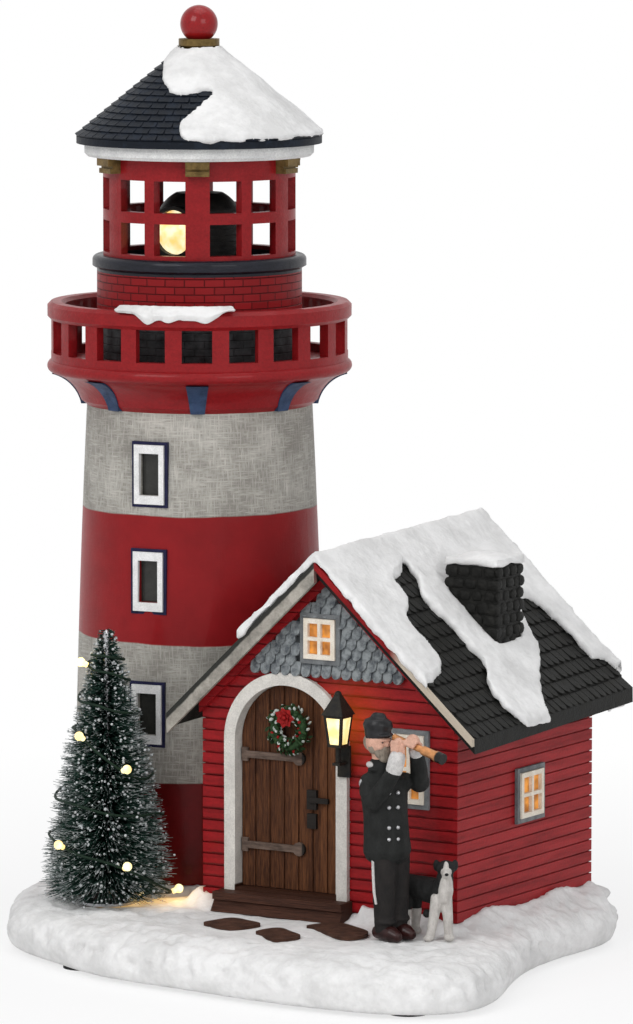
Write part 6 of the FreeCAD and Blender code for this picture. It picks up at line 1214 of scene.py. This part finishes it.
def needle_shape():
    """A thin three-sided bristle of length 1 that marks its tip for the frost."""
    bm = bmesh.new()
    tip = bm.verts.layers.float.new("tip")
    rings = []
    for height, radius in ((0.0, 1.0), (0.55, 0.95), (1.0, 0.45)):
        ring = []
        for step in range(3):
            angle = math.tau * step / 3
            vertex = bm.verts.new((radius * math.cos(angle), radius * math.sin(angle), height))
            vertex[tip] = height
            ring.append(vertex)
        rings.append(ring)
    for low, high in zip(rings, rings[1:]):
        for step in range(3):
            bm.faces.new((low[step], low[(step + 1) % 3], high[(step + 1) % 3], high[step]))
    bm.faces.new(rings[0][::-1])
    bm.faces.new(rings[-1])
    return mesh_of(bm, "needle")


def make_tree():
    """Bristles all round the twisted wire, with snow flecks near their tips."""
    size = sizes()
    flock = paint("Tree snow", (0.62, 0.64, 0.64), (0.42, 0.45, 0.46), rough=0.8, scale=900)
    chance = random.Random(17)
    needles, flecks = [], []
    per_fleck = max(1, size.bristle_count // size.fleck_count)
    wire_radius, half_thick, ground_gap = 0.0008, 0.00015, 0.0012
    for number in range(size.bristle_count):
        share = TREE_FOOT_SHARE + (1.0 - TREE_FOOT_SHARE) * (1 - math.sqrt(chance.random()) ** 1.25)
        angle = chance.uniform(0, math.tau)
        swell = 1 + 0.10 * noise.noise(Vector((math.cos(angle) * 1.6, math.sin(angle) * 1.6, share * 13)))
        reach = size.tree_radius * tree_outline(share) * swell * chance.uniform(0.82, 1.10)
        rise = chance.uniform(-0.30, 0.34) + 0.30 * share - 0.12
        way = Vector((math.cos(angle), math.sin(angle), rise)).normalized()
        place = TREE_PLACE + Vector((0, 0, size.tree_height * share)) + way * wire_radius
        foot_limit = (place.z - GROUND - ground_gap) / max(1e-6, -way.z) if way.z < 0 else 1.0
        reach = min(reach, foot_limit)
        turn = way.to_track_quat("Z", "Y").to_matrix()
        needles.append((place, turn, (half_thick, half_thick, reach)))
        if number % per_fleck == 0:
            spot = place + way * reach * chance.uniform(0.82, 1.0)
            grow = chance.uniform(0.00022, 0.0005)
            flecks.append((spot, turn, (grow, grow, grow * chance.uniform(0.7, 1.5))))
    mesh = repeated("tree_needles", needles, needle_shape(), bristle_material(), spread=0.0, seed=12)
    publish(mesh, "tree_needles", stands_for=["tree_bristles"], slot="tree_bristles")
    mesh = repeated("tree_flecks", flecks, mesh_of(ball(1), "fleck"), flock, spread=0.25, seed=13)
    publish(mesh, "tree_flecks", slot="tree_bristles")
    dress(paint("Light wire", (0.012, 0.028, 0.016), (0.006, 0.014, 0.009), scale=600), "tree_light_wire")
    dress(lit_material("Tree lamps", (1.0, 0.93, 0.52), (1.0, 0.72, 0.28), strength=1.1), "tree_lamps")


# Figure and dog, drawn as seen from the front in shares of their height, and then turned to the view.
# A limb is a chain of (x, y, z, half width, half depth), with the half depth left out where it is round.
# A lump is (x, y, z, half sizes along X, Y and Z), followed by its turn in degrees where it has one.

COAT_LIMBS = (
    ((-0.044, 0.0, 0.396, 0.108, 0.095), (-0.047, 0.0, 0.459, 0.102, 0.089),
     (-0.052, 0.0, 0.562, 0.099, 0.086), (-0.058, 0.0, 0.651, 0.105, 0.083),
     (-0.062, 0.0, 0.718, 0.098, 0.073), (-0.062, -0.003, 0.762, 0.059, 0.053)),
    ((-0.062, -0.004, 0.743, 0.067, 0.061), (-0.067, -0.007, 0.784, 0.062, 0.058)),
    ((-0.007, 0.022, 0.704, 0.044), (0.050, 0.036, 0.695, 0.044), (0.096, 0.030, 0.697, 0.043)),
    ((0.098, 0.028, 0.698, 0.041), (0.095, -0.015, 0.763, 0.039), (0.086, -0.056, 0.828, 0.033),
     (0.080, -0.076, 0.856, 0.029)),
    ((-0.121, -0.006, 0.712, 0.044), (-0.126, -0.036, 0.666, 0.044), (-0.107, -0.074, 0.629, 0.041)),
    ((-0.108, -0.077, 0.626, 0.041), (-0.056, -0.108, 0.700, 0.039), (-0.012, -0.120, 0.775, 0.033)),
)
COAT_LUMPS = (
    (-0.004, 0.019, 0.700, 0.049, 0.049, 0.049), (-0.120, -0.009, 0.698, 0.049, 0.049, 0.049),
    (0.098, 0.028, 0.698, 0.046, 0.046, 0.046), (-0.107, -0.075, 0.627, 0.044, 0.044, 0.044),
    (-0.100, -0.035, 0.765, 0.034, 0.030, 0.012, 20), (-0.030, -0.045, 0.755, 0.034, 0.022, 0.012, 20),
)
TROUSER_LIMBS = (
    ((0.004, 0.031, 0.045, 0.042), (0.004, 0.031, 0.133, 0.047), (0.003, 0.031, 0.266, 0.053),
     (0.0, 0.027, 0.414, 0.059)),
    ((-0.058, -0.031, 0.045, 0.042), (-0.058, -0.031, 0.133, 0.047), (-0.056, -0.031, 0.266, 0.053),
     (-0.053, -0.027, 0.414, 0.059)),
)
TROUSER_FOLDS = ((0.008, 0.028, 0.09), (0.004, 0.030, 0.19), (-0.052, -0.036, 0.085), (-0.060, -0.030, 0.18))
SHOE_SPOTS = ((0.004, 0.031), (-0.058, -0.031))
SHOE_CHAIN = ((-0.028, 0.033, 0.031), (0.0, 0.040, 0.040), (0.036, 0.031, 0.037), (0.061, 0.024, 0.024))
NECK = ((-0.070, -0.006, 0.79, 0.041), (-0.075, -0.008, 0.85, 0.040))
SKIN_LUMPS = (
    (-0.086, -0.015, 0.886, 0.055, 0.056, 0.062, -45), (-0.046, -0.055, 0.880, 0.012, 0.010, 0.015, -45),
    (-0.053, -0.048, 0.899, 0.020, 0.034, 0.009, -45), (-0.122, -0.052, 0.882, 0.009, 0.013, 0.017, 30),
    (-0.048, 0.024, 0.882, 0.009, 0.013, 0.017, 30), (-0.078, -0.058, 0.870, 0.019, 0.019, 0.016),
    (-0.043, -0.023, 0.870, 0.019, 0.019, 0.016), (0.067, -0.102, 0.899, 0.034, 0.030, 0.033, -45),
    (0.004, -0.104, 0.872, 0.031, 0.026, 0.046, -45),
)
BEARD_LUMPS = (
    (-0.064, -0.039, 0.843, 0.037, 0.040, 0.034, -45), (-0.056, -0.047, 0.822, 0.026, 0.030, 0.026, -45),
    (-0.050, -0.052, 0.863, 0.012, 0.026, 0.009, -45), (-0.108, 0.006, 0.884, 0.040, 0.046, 0.046, -45),
    (-0.112, -0.046, 0.866, 0.018, 0.016, 0.030, -30),
)
CAP_LIMBS = (
    ((-0.087, -0.013, 0.916, 0.058), (-0.087, -0.012, 0.939, 0.059)),
    ((-0.086, -0.010, 0.957, 0.068), (-0.084, -0.007, 0.981, 0.060), (-0.083, -0.006, 0.992, 0.036)),
)
CAP_PEAK = (-0.056, -0.046, 0.920, 0.038, 0.044, 0.009, -45)
BUTTON_COLUMNS = ((0.002, -0.071), (-0.037, -0.083))
BUTTON_LEVELS = (0.46, 0.512, 0.602, 0.667)
BUTTON = (0.0095, 0.0095, 0.0095)
SLEEVE_SPOT = (-0.158, -0.026, 0.700, 0.008, 0.018, 0.020, 35)
PIPING_LIMBS = (
    ((-0.108, -0.050, 0.385, 0.007), (-0.106, -0.055, 0.30, 0.007), (-0.102, -0.058, 0.22, 0.007),
     (-0.094, -0.066, 0.17, 0.006)),
    ((-0.016, -0.119, 0.772, 0.037), (-0.006, -0.118, 0.812, 0.038), (0.0, -0.114, 0.835, 0.036)),
    ((0.083, -0.066, 0.843, 0.033), (0.079, -0.078, 0.860, 0.032)),
)
SHOULDER_PIPING = (-0.122, -0.032, 0.786, 0.010, 0.022, 0.014, 40)
EYES = ((-0.067, -0.064, 0.889, 0.0055, 0.0055, 0.0045), (-0.034, -0.031, 0.889, 0.0055, 0.0055, 0.0045))
TELESCOPE_END = Vector((0.197, -0.260, 0.845))

DOG_COAT_LIMBS = (
    ((-0.529, 0.407, 0.610, 0.122, 0.134), (-0.427, 0.317, 0.589, 0.134, 0.150),
     (-0.285, 0.203, 0.577, 0.142, 0.163), (-0.150, 0.061, 0.569, 0.138, 0.171),
     (-0.098, 0.0, 0.577, 0.102, 0.130)),
    ((-0.130, 0.020, 0.589, 0.130), (-0.098, -0.020, 0.732, 0.110), (-0.085, -0.041, 0.833, 0.093)),
    ((-0.447, 0.439, 0.549, 0.102), (-0.430, 0.417, 0.330, 0.064)),
    ((-0.569, 0.346, 0.549, 0.102), (-0.551, 0.324, 0.330, 0.064)),
    ((-0.529, 0.407, 0.650, 0.057), (-0.630, 0.496, 0.589, 0.045), (-0.671, 0.549, 0.447, 0.037)),
)
DOG_COAT_LUMPS = (
    (-0.083, -0.045, 0.882, 0.114, 0.102, 0.102), (-0.199, -0.020, 0.915, 0.041, 0.033, 0.075),
    (0.029, -0.020, 0.915, 0.041, 0.033, 0.075), (-0.315, -0.010, 0.320, 0.050, 0.045, 0.055),
)
DOG_CHEST_LIMBS = (
    ((-0.095, -0.075, 0.500, 0.085), (-0.085, -0.085, 0.620, 0.095), (-0.080, -0.085, 0.730, 0.080),
     (-0.080, -0.080, 0.800, 0.062)),
    ((-0.191, -0.040, 0.520, 0.078), (-0.228, -0.064, 0.285, 0.063), (-0.272, -0.098, 0.041, 0.054)),
    ((-0.081, -0.040, 0.520, 0.078), (-0.057, -0.060, 0.285, 0.063), (-0.047, -0.061, 0.041, 0.054)),
    ((-0.429, 0.416, 0.300, 0.063), (-0.447, 0.439, 0.041, 0.054)),
    ((-0.550, 0.323, 0.300, 0.063), (-0.569, 0.346, 0.041, 0.054)),
    ((-0.081, -0.090, 0.862, 0.078), (-0.079, -0.142, 0.837, 0.062), (-0.077, -0.191, 0.825, 0.049)),
)
DOG_BLAZE = (-0.081, -0.118, 0.915, 0.034, 0.036, 0.070)
DOG_PAW_SPOTS = ((-0.293, -0.118), (-0.043, -0.089), (-0.431, 0.415), (-0.553, 0.321))
DOG_PAW = (0.033, 0.069, 0.073, 0.041)
DOG_NOSE_AND_EYES = (
    (-0.077, -0.228, 0.835, 0.024, 0.018, 0.019), (-0.128, -0.132, 0.905, 0.014, 0.014, 0.014),
    (-0.036, -0.132, 0.905, 0.014, 0.014, 0.014),
)


def standing_piece(name, place, unit, material, limbs=(), lumps=(), voxel=0.0, smooth=2, stands_for=(),
                   slot="keeper_figure"):
    """One piece of the figure or the dog, melded into one skin where a voxel is given."""
    bm = bmesh.new()
    for chain in limbs:
        add_tube(bm, [(Vector(row[:3]) * unit, row[3] * unit, row[-1] * unit) for row in chain])
    for row in lumps:
        add_ball(bm, Vector(row[:3]) * unit, scaled(row[3:6], unit), *row[6:])
    mesh = melded(bm, name, voxel, smooth) if voxel else mesh_of(bm, name)
    mesh.transform(Matrix.Translation(place) @ Matrix.Rotation(VIEW_TURN, 4, "Z"))
    publish(mesh, name, material, stands_for=stands_for, slot=slot)


def fingers():
    """Four fingers of each hand, bent round the telescope."""
    chains = []
    for step in range(4):
        share = 0.31 + 0.05 * step
        x, y, z = -0.015 + 0.212 * share, -0.052 - 0.209 * share, 0.911 - 0.067 * share
        chains.append(((x + 0.018, y + 0.018, z + 0.008, 0.0105), (x, y, z + 0.027, 0.0105),
                       (x - 0.020, y - 0.020, z + 0.004, 0.0095)))
        level = 0.846 + 0.0165 * step
        chains.append(((-0.024, -0.102, level, 0.0105), (0.002, -0.131, level + 0.004, 0.0105),
                       (0.028, -0.122, level + 0.006, 0.0095)))
    return chains


def make_keeper():
    """A standing figure in a dark coat, both arms raised to a telescope."""
    c = colours()
    unit = sizes().keeper_height
    woven = {"contrast": 0.6, "relief": 0.0005}
    coat = paint("Coat cloth", c.coat, scaled(c.coat, 2.6), rough=0.6, scale=320, streak=(1, 1, 0.6), **woven)
    cloth = paint("Trouser cloth", (0.014, 0.013, 0.013), (0.035, 0.03, 0.028), rough=0.62, scale=260,
                  streak=(1, 1, 0.5), **woven)
    leather = paint("Boot leather", (0.035, 0.010, 0.009), (0.012, 0.005, 0.005), rough=0.35, scale=320,
                    coat=0.2)
    skin = paint("Skin paint", c.skin, scaled(c.skin, 0.72), rough=0.5, scale=300, contrast=0.5)
    hair = paint("Beard paint", (0.34, 0.29, 0.235), (0.17, 0.14, 0.11), rough=0.7, scale=900,
                 streak=(1, 1, 0.4), contrast=0.9, relief=0.0004)
    silver = paint("Button silver", (0.55, 0.55, 0.56), (0.3, 0.3, 0.31), rough=0.3, scale=600, metallic=0.7)
    white = paint("Piping white", (0.66, 0.64, 0.62), (0.42, 0.41, 0.40), rough=0.6, scale=500)
    black = paint("Cap black", (0.011, 0.011, 0.012), (0.03, 0.03, 0.032), rough=0.4, scale=400, coat=0.15)
    folds = [(*spot, 0.052, 0.050, 0.018, -20) for spot in TROUSER_FOLDS]
    shoes = [[(x + ahead, y - ahead, z, radius) for ahead, z, radius in SHOE_CHAIN] for x, y in SHOE_SPOTS]
    buttons = [(*column, level, *BUTTON) for column in BUTTON_COLUMNS for level in BUTTON_LEVELS]
    pieces = (
        ("keeper_coat", coat, COAT_LIMBS, COAT_LUMPS, 0.0004, 2, ["keeper_figure"]),
        ("keeper_trousers", cloth, TROUSER_LIMBS, folds, 0.0004, 2, ()),
        ("keeper_boots", leather, shoes, (), 0.0004, 2, ()),
        ("keeper_skin", skin, (NECK, *fingers()), SKIN_LUMPS, 0.00026, 2, ()),
        ("keeper_beard", hair, (), BEARD_LUMPS, 0.0003, 1, ()),
        ("keeper_cap", black, CAP_LIMBS, (CAP_PEAK,), 0.00035, 2, ()),
        ("keeper_buttons", silver, (), (*buttons, SLEEVE_SPOT), 0.0, 0, ()),
        ("keeper_piping", white, PIPING_LIMBS, (SHOULDER_PIPING,), 0.0, 0, ()),
        ("keeper_eyes", black, (), EYES, 0.0, 0, ()),
    )
    for name, material, limbs, lumps, voxel, smooth, stands_for in pieces:
        standing_piece(name, KEEPER_PLACE, unit, material, limbs, lumps, voxel, smooth, stands_for)
    dress_telescope()


def dress_telescope():
    """Copper tubes with a dark ring round the far glass."""
    c = colours()
    material, w, shader, place = blank("Telescope copper", 0.35, metallic=0.6, coat=0.2)
    out = brushed(w, place, c.copper, scaled(c.copper, 0.5), 500)
    end = KEEPER_PLACE + Matrix.Rotation(VIEW_TURN, 3, "Z") @ (TELESCOPE_END * sizes().keeper_height)
    dark = w.span(w.gap(place, end), 0.0026, 0.0030, 1.0, 0.0)
    w.feed(shader.inputs["Base Color"], w.blend(dark, out["Colour"], (0.016, 0.014, 0.013)))
    w.feed(shader.inputs["Normal"], w.bump(out["Height"], distance=0.0001))
    dress(material, "keeper_telescope")


def make_dog():
    """A standing dog, black with a white blaze, chest and legs."""
    unit = sizes().dog_height
    fur = {"rough": 0.6, "scale": 700, "streak": (1, 1, 0.5), "contrast": 0.8, "relief": 0.0006}
    black = paint("Dog black", (0.012, 0.012, 0.012), (0.03, 0.03, 0.03), **fur)
    white = paint("Dog white", (0.68, 0.65, 0.61), (0.46, 0.43, 0.40), **fur)
    paws = [(*spot, *DOG_PAW) for spot in DOG_PAW_SPOTS]
    for name, material, limbs, lumps, voxel, stands_for in (
            ("dog_coat", black, DOG_COAT_LIMBS, DOG_COAT_LUMPS, 0.00035, ["dog"]),
            ("dog_chest", white, DOG_CHEST_LIMBS, (DOG_BLAZE, *paws), 0.00035, ()),
            ("dog_eyes", black, (), DOG_NOSE_AND_EYES, 0.0, ())):
        standing_piece(name, DOG_PLACE, unit, material, limbs, lumps, voxel, 2, stands_for, slot="dog")


# Stage


def make_floor():
    """A pale floor that fades to white away from the ornament and keeps its shadow."""
    half = 3.0
    rim = [(-half, -half, 0), (half, -half, 0), (half, half, 0), (-half, half, 0)]
    floor = bpy.data.meshes.new("floor")
    floor.from_pydata(rim, [], [(0, 1, 2, 3)])
    ground = bpy.data.objects.new("floor", floor)
    bpy.context.scene.collection.objects.link(ground)
    material, w, shader, place = blank("Pale floor", 0.8)
    patch = w.noise(place, scale=3, detail=2, rough=0.5)
    w.feed(shader.inputs["Base Color"], w.blend(patch, (0.88, 0.88, 0.88), (0.92, 0.92, 0.92)))
    reach = w.add("ShaderNodeVectorMath", {0: place}, operation="LENGTH").outputs[1]
    share = w.calc("MULTIPLY", seen_by_eye(w), w.span(reach, 0.13, 0.42, 0.74, 1.0))
    white = w.add("ShaderNodeEmission", {"Color": (1.0, 1.0, 1.0), "Strength": 1.0}).outputs[0]
    mixed = w.add("ShaderNodeMixShader", {0: share, 1: shader.outputs[0], 2: white}).outputs[0]
    w.feed(material.node_tree.nodes["Material Output"].inputs["Surface"], mixed)
    floor.materials.append(material)


def seen_by_eye(w):
    """1 for rays of the camera, of a reflection or through glass."""
    path = w.add("ShaderNodeLightPath").outputs
    return w.calc("MAXIMUM", path["Is Camera Ray"],
                  w.calc("MAXIMUM", path["Is Glossy Ray"], path["Is Transmission Ray"]))


def make_world():
    """A white studio: soft light on the ornament, plain white behind it."""
    world = bpy.data.worlds.new("Studio")
    bpy.context.scene.world = world
    world.use_nodes = True
    w = Wiring(world.node_tree)
    sky = world.node_tree.nodes["Background"]
    seen = seen_by_eye(w)
    w.feed(sky.inputs["Color"], w.blend(seen, (0.88, 0.89, 0.92), (1.0, 1.0, 1.0)))
    w.feed(sky.inputs["Strength"], w.span(seen, 0.0, 1.0, 0.46, 1.0))


def make_stage():
    """Camera, floor, world and lamps."""
    scene = bpy.context.scene
    scene.view_settings.view_transform = "Standard"
    camera = bpy.data.cameras.new("View")
    camera.lens = LENS
    camera.sensor_width = 36
    camera.clip_start = 0.05
    camera.clip_end = 20
    eye = bpy.data.objects.new("View", camera)
    scene.collection.objects.link(eye)
    eye.location = EYE
    ahead = Vector((-0.5167, 0.8562, -math.tan(VIEW_DOWN)))
    eye.rotation_euler = ahead.to_track_quat("-Z", "Y").to_euler()
    scene.camera = eye
    make_floor()
    make_world()
    for name, place, wide, power in LAMPS:
        light = bpy.data.lights.new(name, "AREA")
        light.shape = "SQUARE"
        light.size = wide
        light.energy = power
        obj = bpy.data.objects.new(name, light)
        scene.collection.objects.link(obj)
        obj.location = place
        obj.rotation_euler = (LAMP_TARGET - Vector(place)).to_track_quat("-Z", "Y").to_euler()


# Operators and panel


class OrnamentStage(bpy.types.Operator):
    """Sets up the floor, lights and camera"""
    bl_idname = "ornament.stage"
    bl_label = "Stage"
    bl_options = {"REGISTER", "UNDO"}

    def execute(self, context):
        make_stage()
        return {"FINISHED"}


class OrnamentBase(bpy.types.Operator):
    """Finishes the plate, battery bay, switch and drive inside the ornament"""
    bl_idname = "ornament.base"
    bl_label = "Base and inner parts"
    bl_options = {"REGISTER", "UNDO"}

    def execute(self, context):
        paint_works()
        return {"FINISHED"}


class OrnamentSnow(bpy.types.Operator):
    """Makes the soft snow on the ground, roofs and gallery"""
    bl_idname = "ornament.snow"
    bl_label = "Snow"
    bl_options = {"REGISTER", "UNDO"}

    def execute(self, context):
        make_snow()
        return {"FINISHED"}


class OrnamentTower(bpy.types.Operator):
    """Paints the tower, gallery and lantern and lays the lantern slates"""
    bl_idname = "ornament.tower"
    bl_label = "Tower"
    bl_options = {"REGISTER", "UNDO"}

    def execute(self, context):
        make_tower()
        return {"FINISHED"}


class OrnamentHouse(bpy.types.Operator):
    """Paints the house and lays its tiles, scales and stones"""
    bl_idname = "ornament.house"
    bl_label = "House"
    bl_options = {"REGISTER", "UNDO"}

    def execute(self, context):
        make_house()
        return {"FINISHED"}


class OrnamentWreath(bpy.types.Operator):
    """Binds the wreath on the door"""
    bl_idname = "ornament.wreath"
    bl_label = "Wreath"
    bl_options = {"REGISTER", "UNDO"}

    def execute(self, context):
        make_wreath()
        return {"FINISHED"}


class OrnamentTree(bpy.types.Operator):
    """Sets the bristles, snow flecks and lamps of the brush tree"""
    bl_idname = "ornament.tree"
    bl_label = "Brush tree"
    bl_options = {"REGISTER", "UNDO"}

    def execute(self, context):
        make_tree()
        return {"FINISHED"}


class OrnamentKeeper(bpy.types.Operator):
    """Models the figure and paints its telescope"""
    bl_idname = "ornament.keeper"
    bl_label = "Figure"
    bl_options = {"REGISTER", "UNDO"}

    def execute(self, context):
        make_keeper()
        return {"FINISHED"}


class OrnamentDog(bpy.types.Operator):
    """Models the standing dog"""
    bl_idname = "ornament.dog"
    bl_label = "Dog"
    bl_options = {"REGISTER", "UNDO"}

    def execute(self, context):
        make_dog()
        return {"FINISHED"}


OPERATORS = (
    OrnamentStage, OrnamentBase, OrnamentSnow, OrnamentTower, OrnamentHouse, OrnamentWreath, OrnamentTree,
    OrnamentKeeper, OrnamentDog,
)


class ORNAMENT_PT_looks(bpy.types.Panel):
    """Sizes, colours and makers of the ornament"""
    bl_label = "Ornament"
    bl_idname = "ORNAMENT_PT_looks"
    bl_space_type = "VIEW_3D"
    bl_region_type = "UI"
    bl_category = "Ornament"

    def draw(self, context):
        looks = context.scene.ornament
        for part in (looks.sizes, looks.colours):
            box = self.layout.box()
            for key in part.__annotations__:
                box.prop(part, key)
        for operator in OPERATORS:
            self.layout.operator(operator.bl_idname)


CLASSES = (OrnamentColours, OrnamentSizes, OrnamentLooks, *OPERATORS, ORNAMENT_PT_looks)


def register():
    for item in CLASSES:
        bpy.utils.register_class(item)
    bpy.types.Scene.ornament = PointerProperty(type=OrnamentLooks)


def unregister():
    del bpy.types.Scene.ornament
    for item in reversed(CLASSES):
        bpy.utils.unregister_class(item)


def main():
    """Register the add-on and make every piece."""
    register()
    for operator in OPERATORS:
        group_name, piece_name = operator.bl_idname.split(".")
        getattr(getattr(bpy.ops, group_name), piece_name)()


if __name__ == "__main__":
    main()
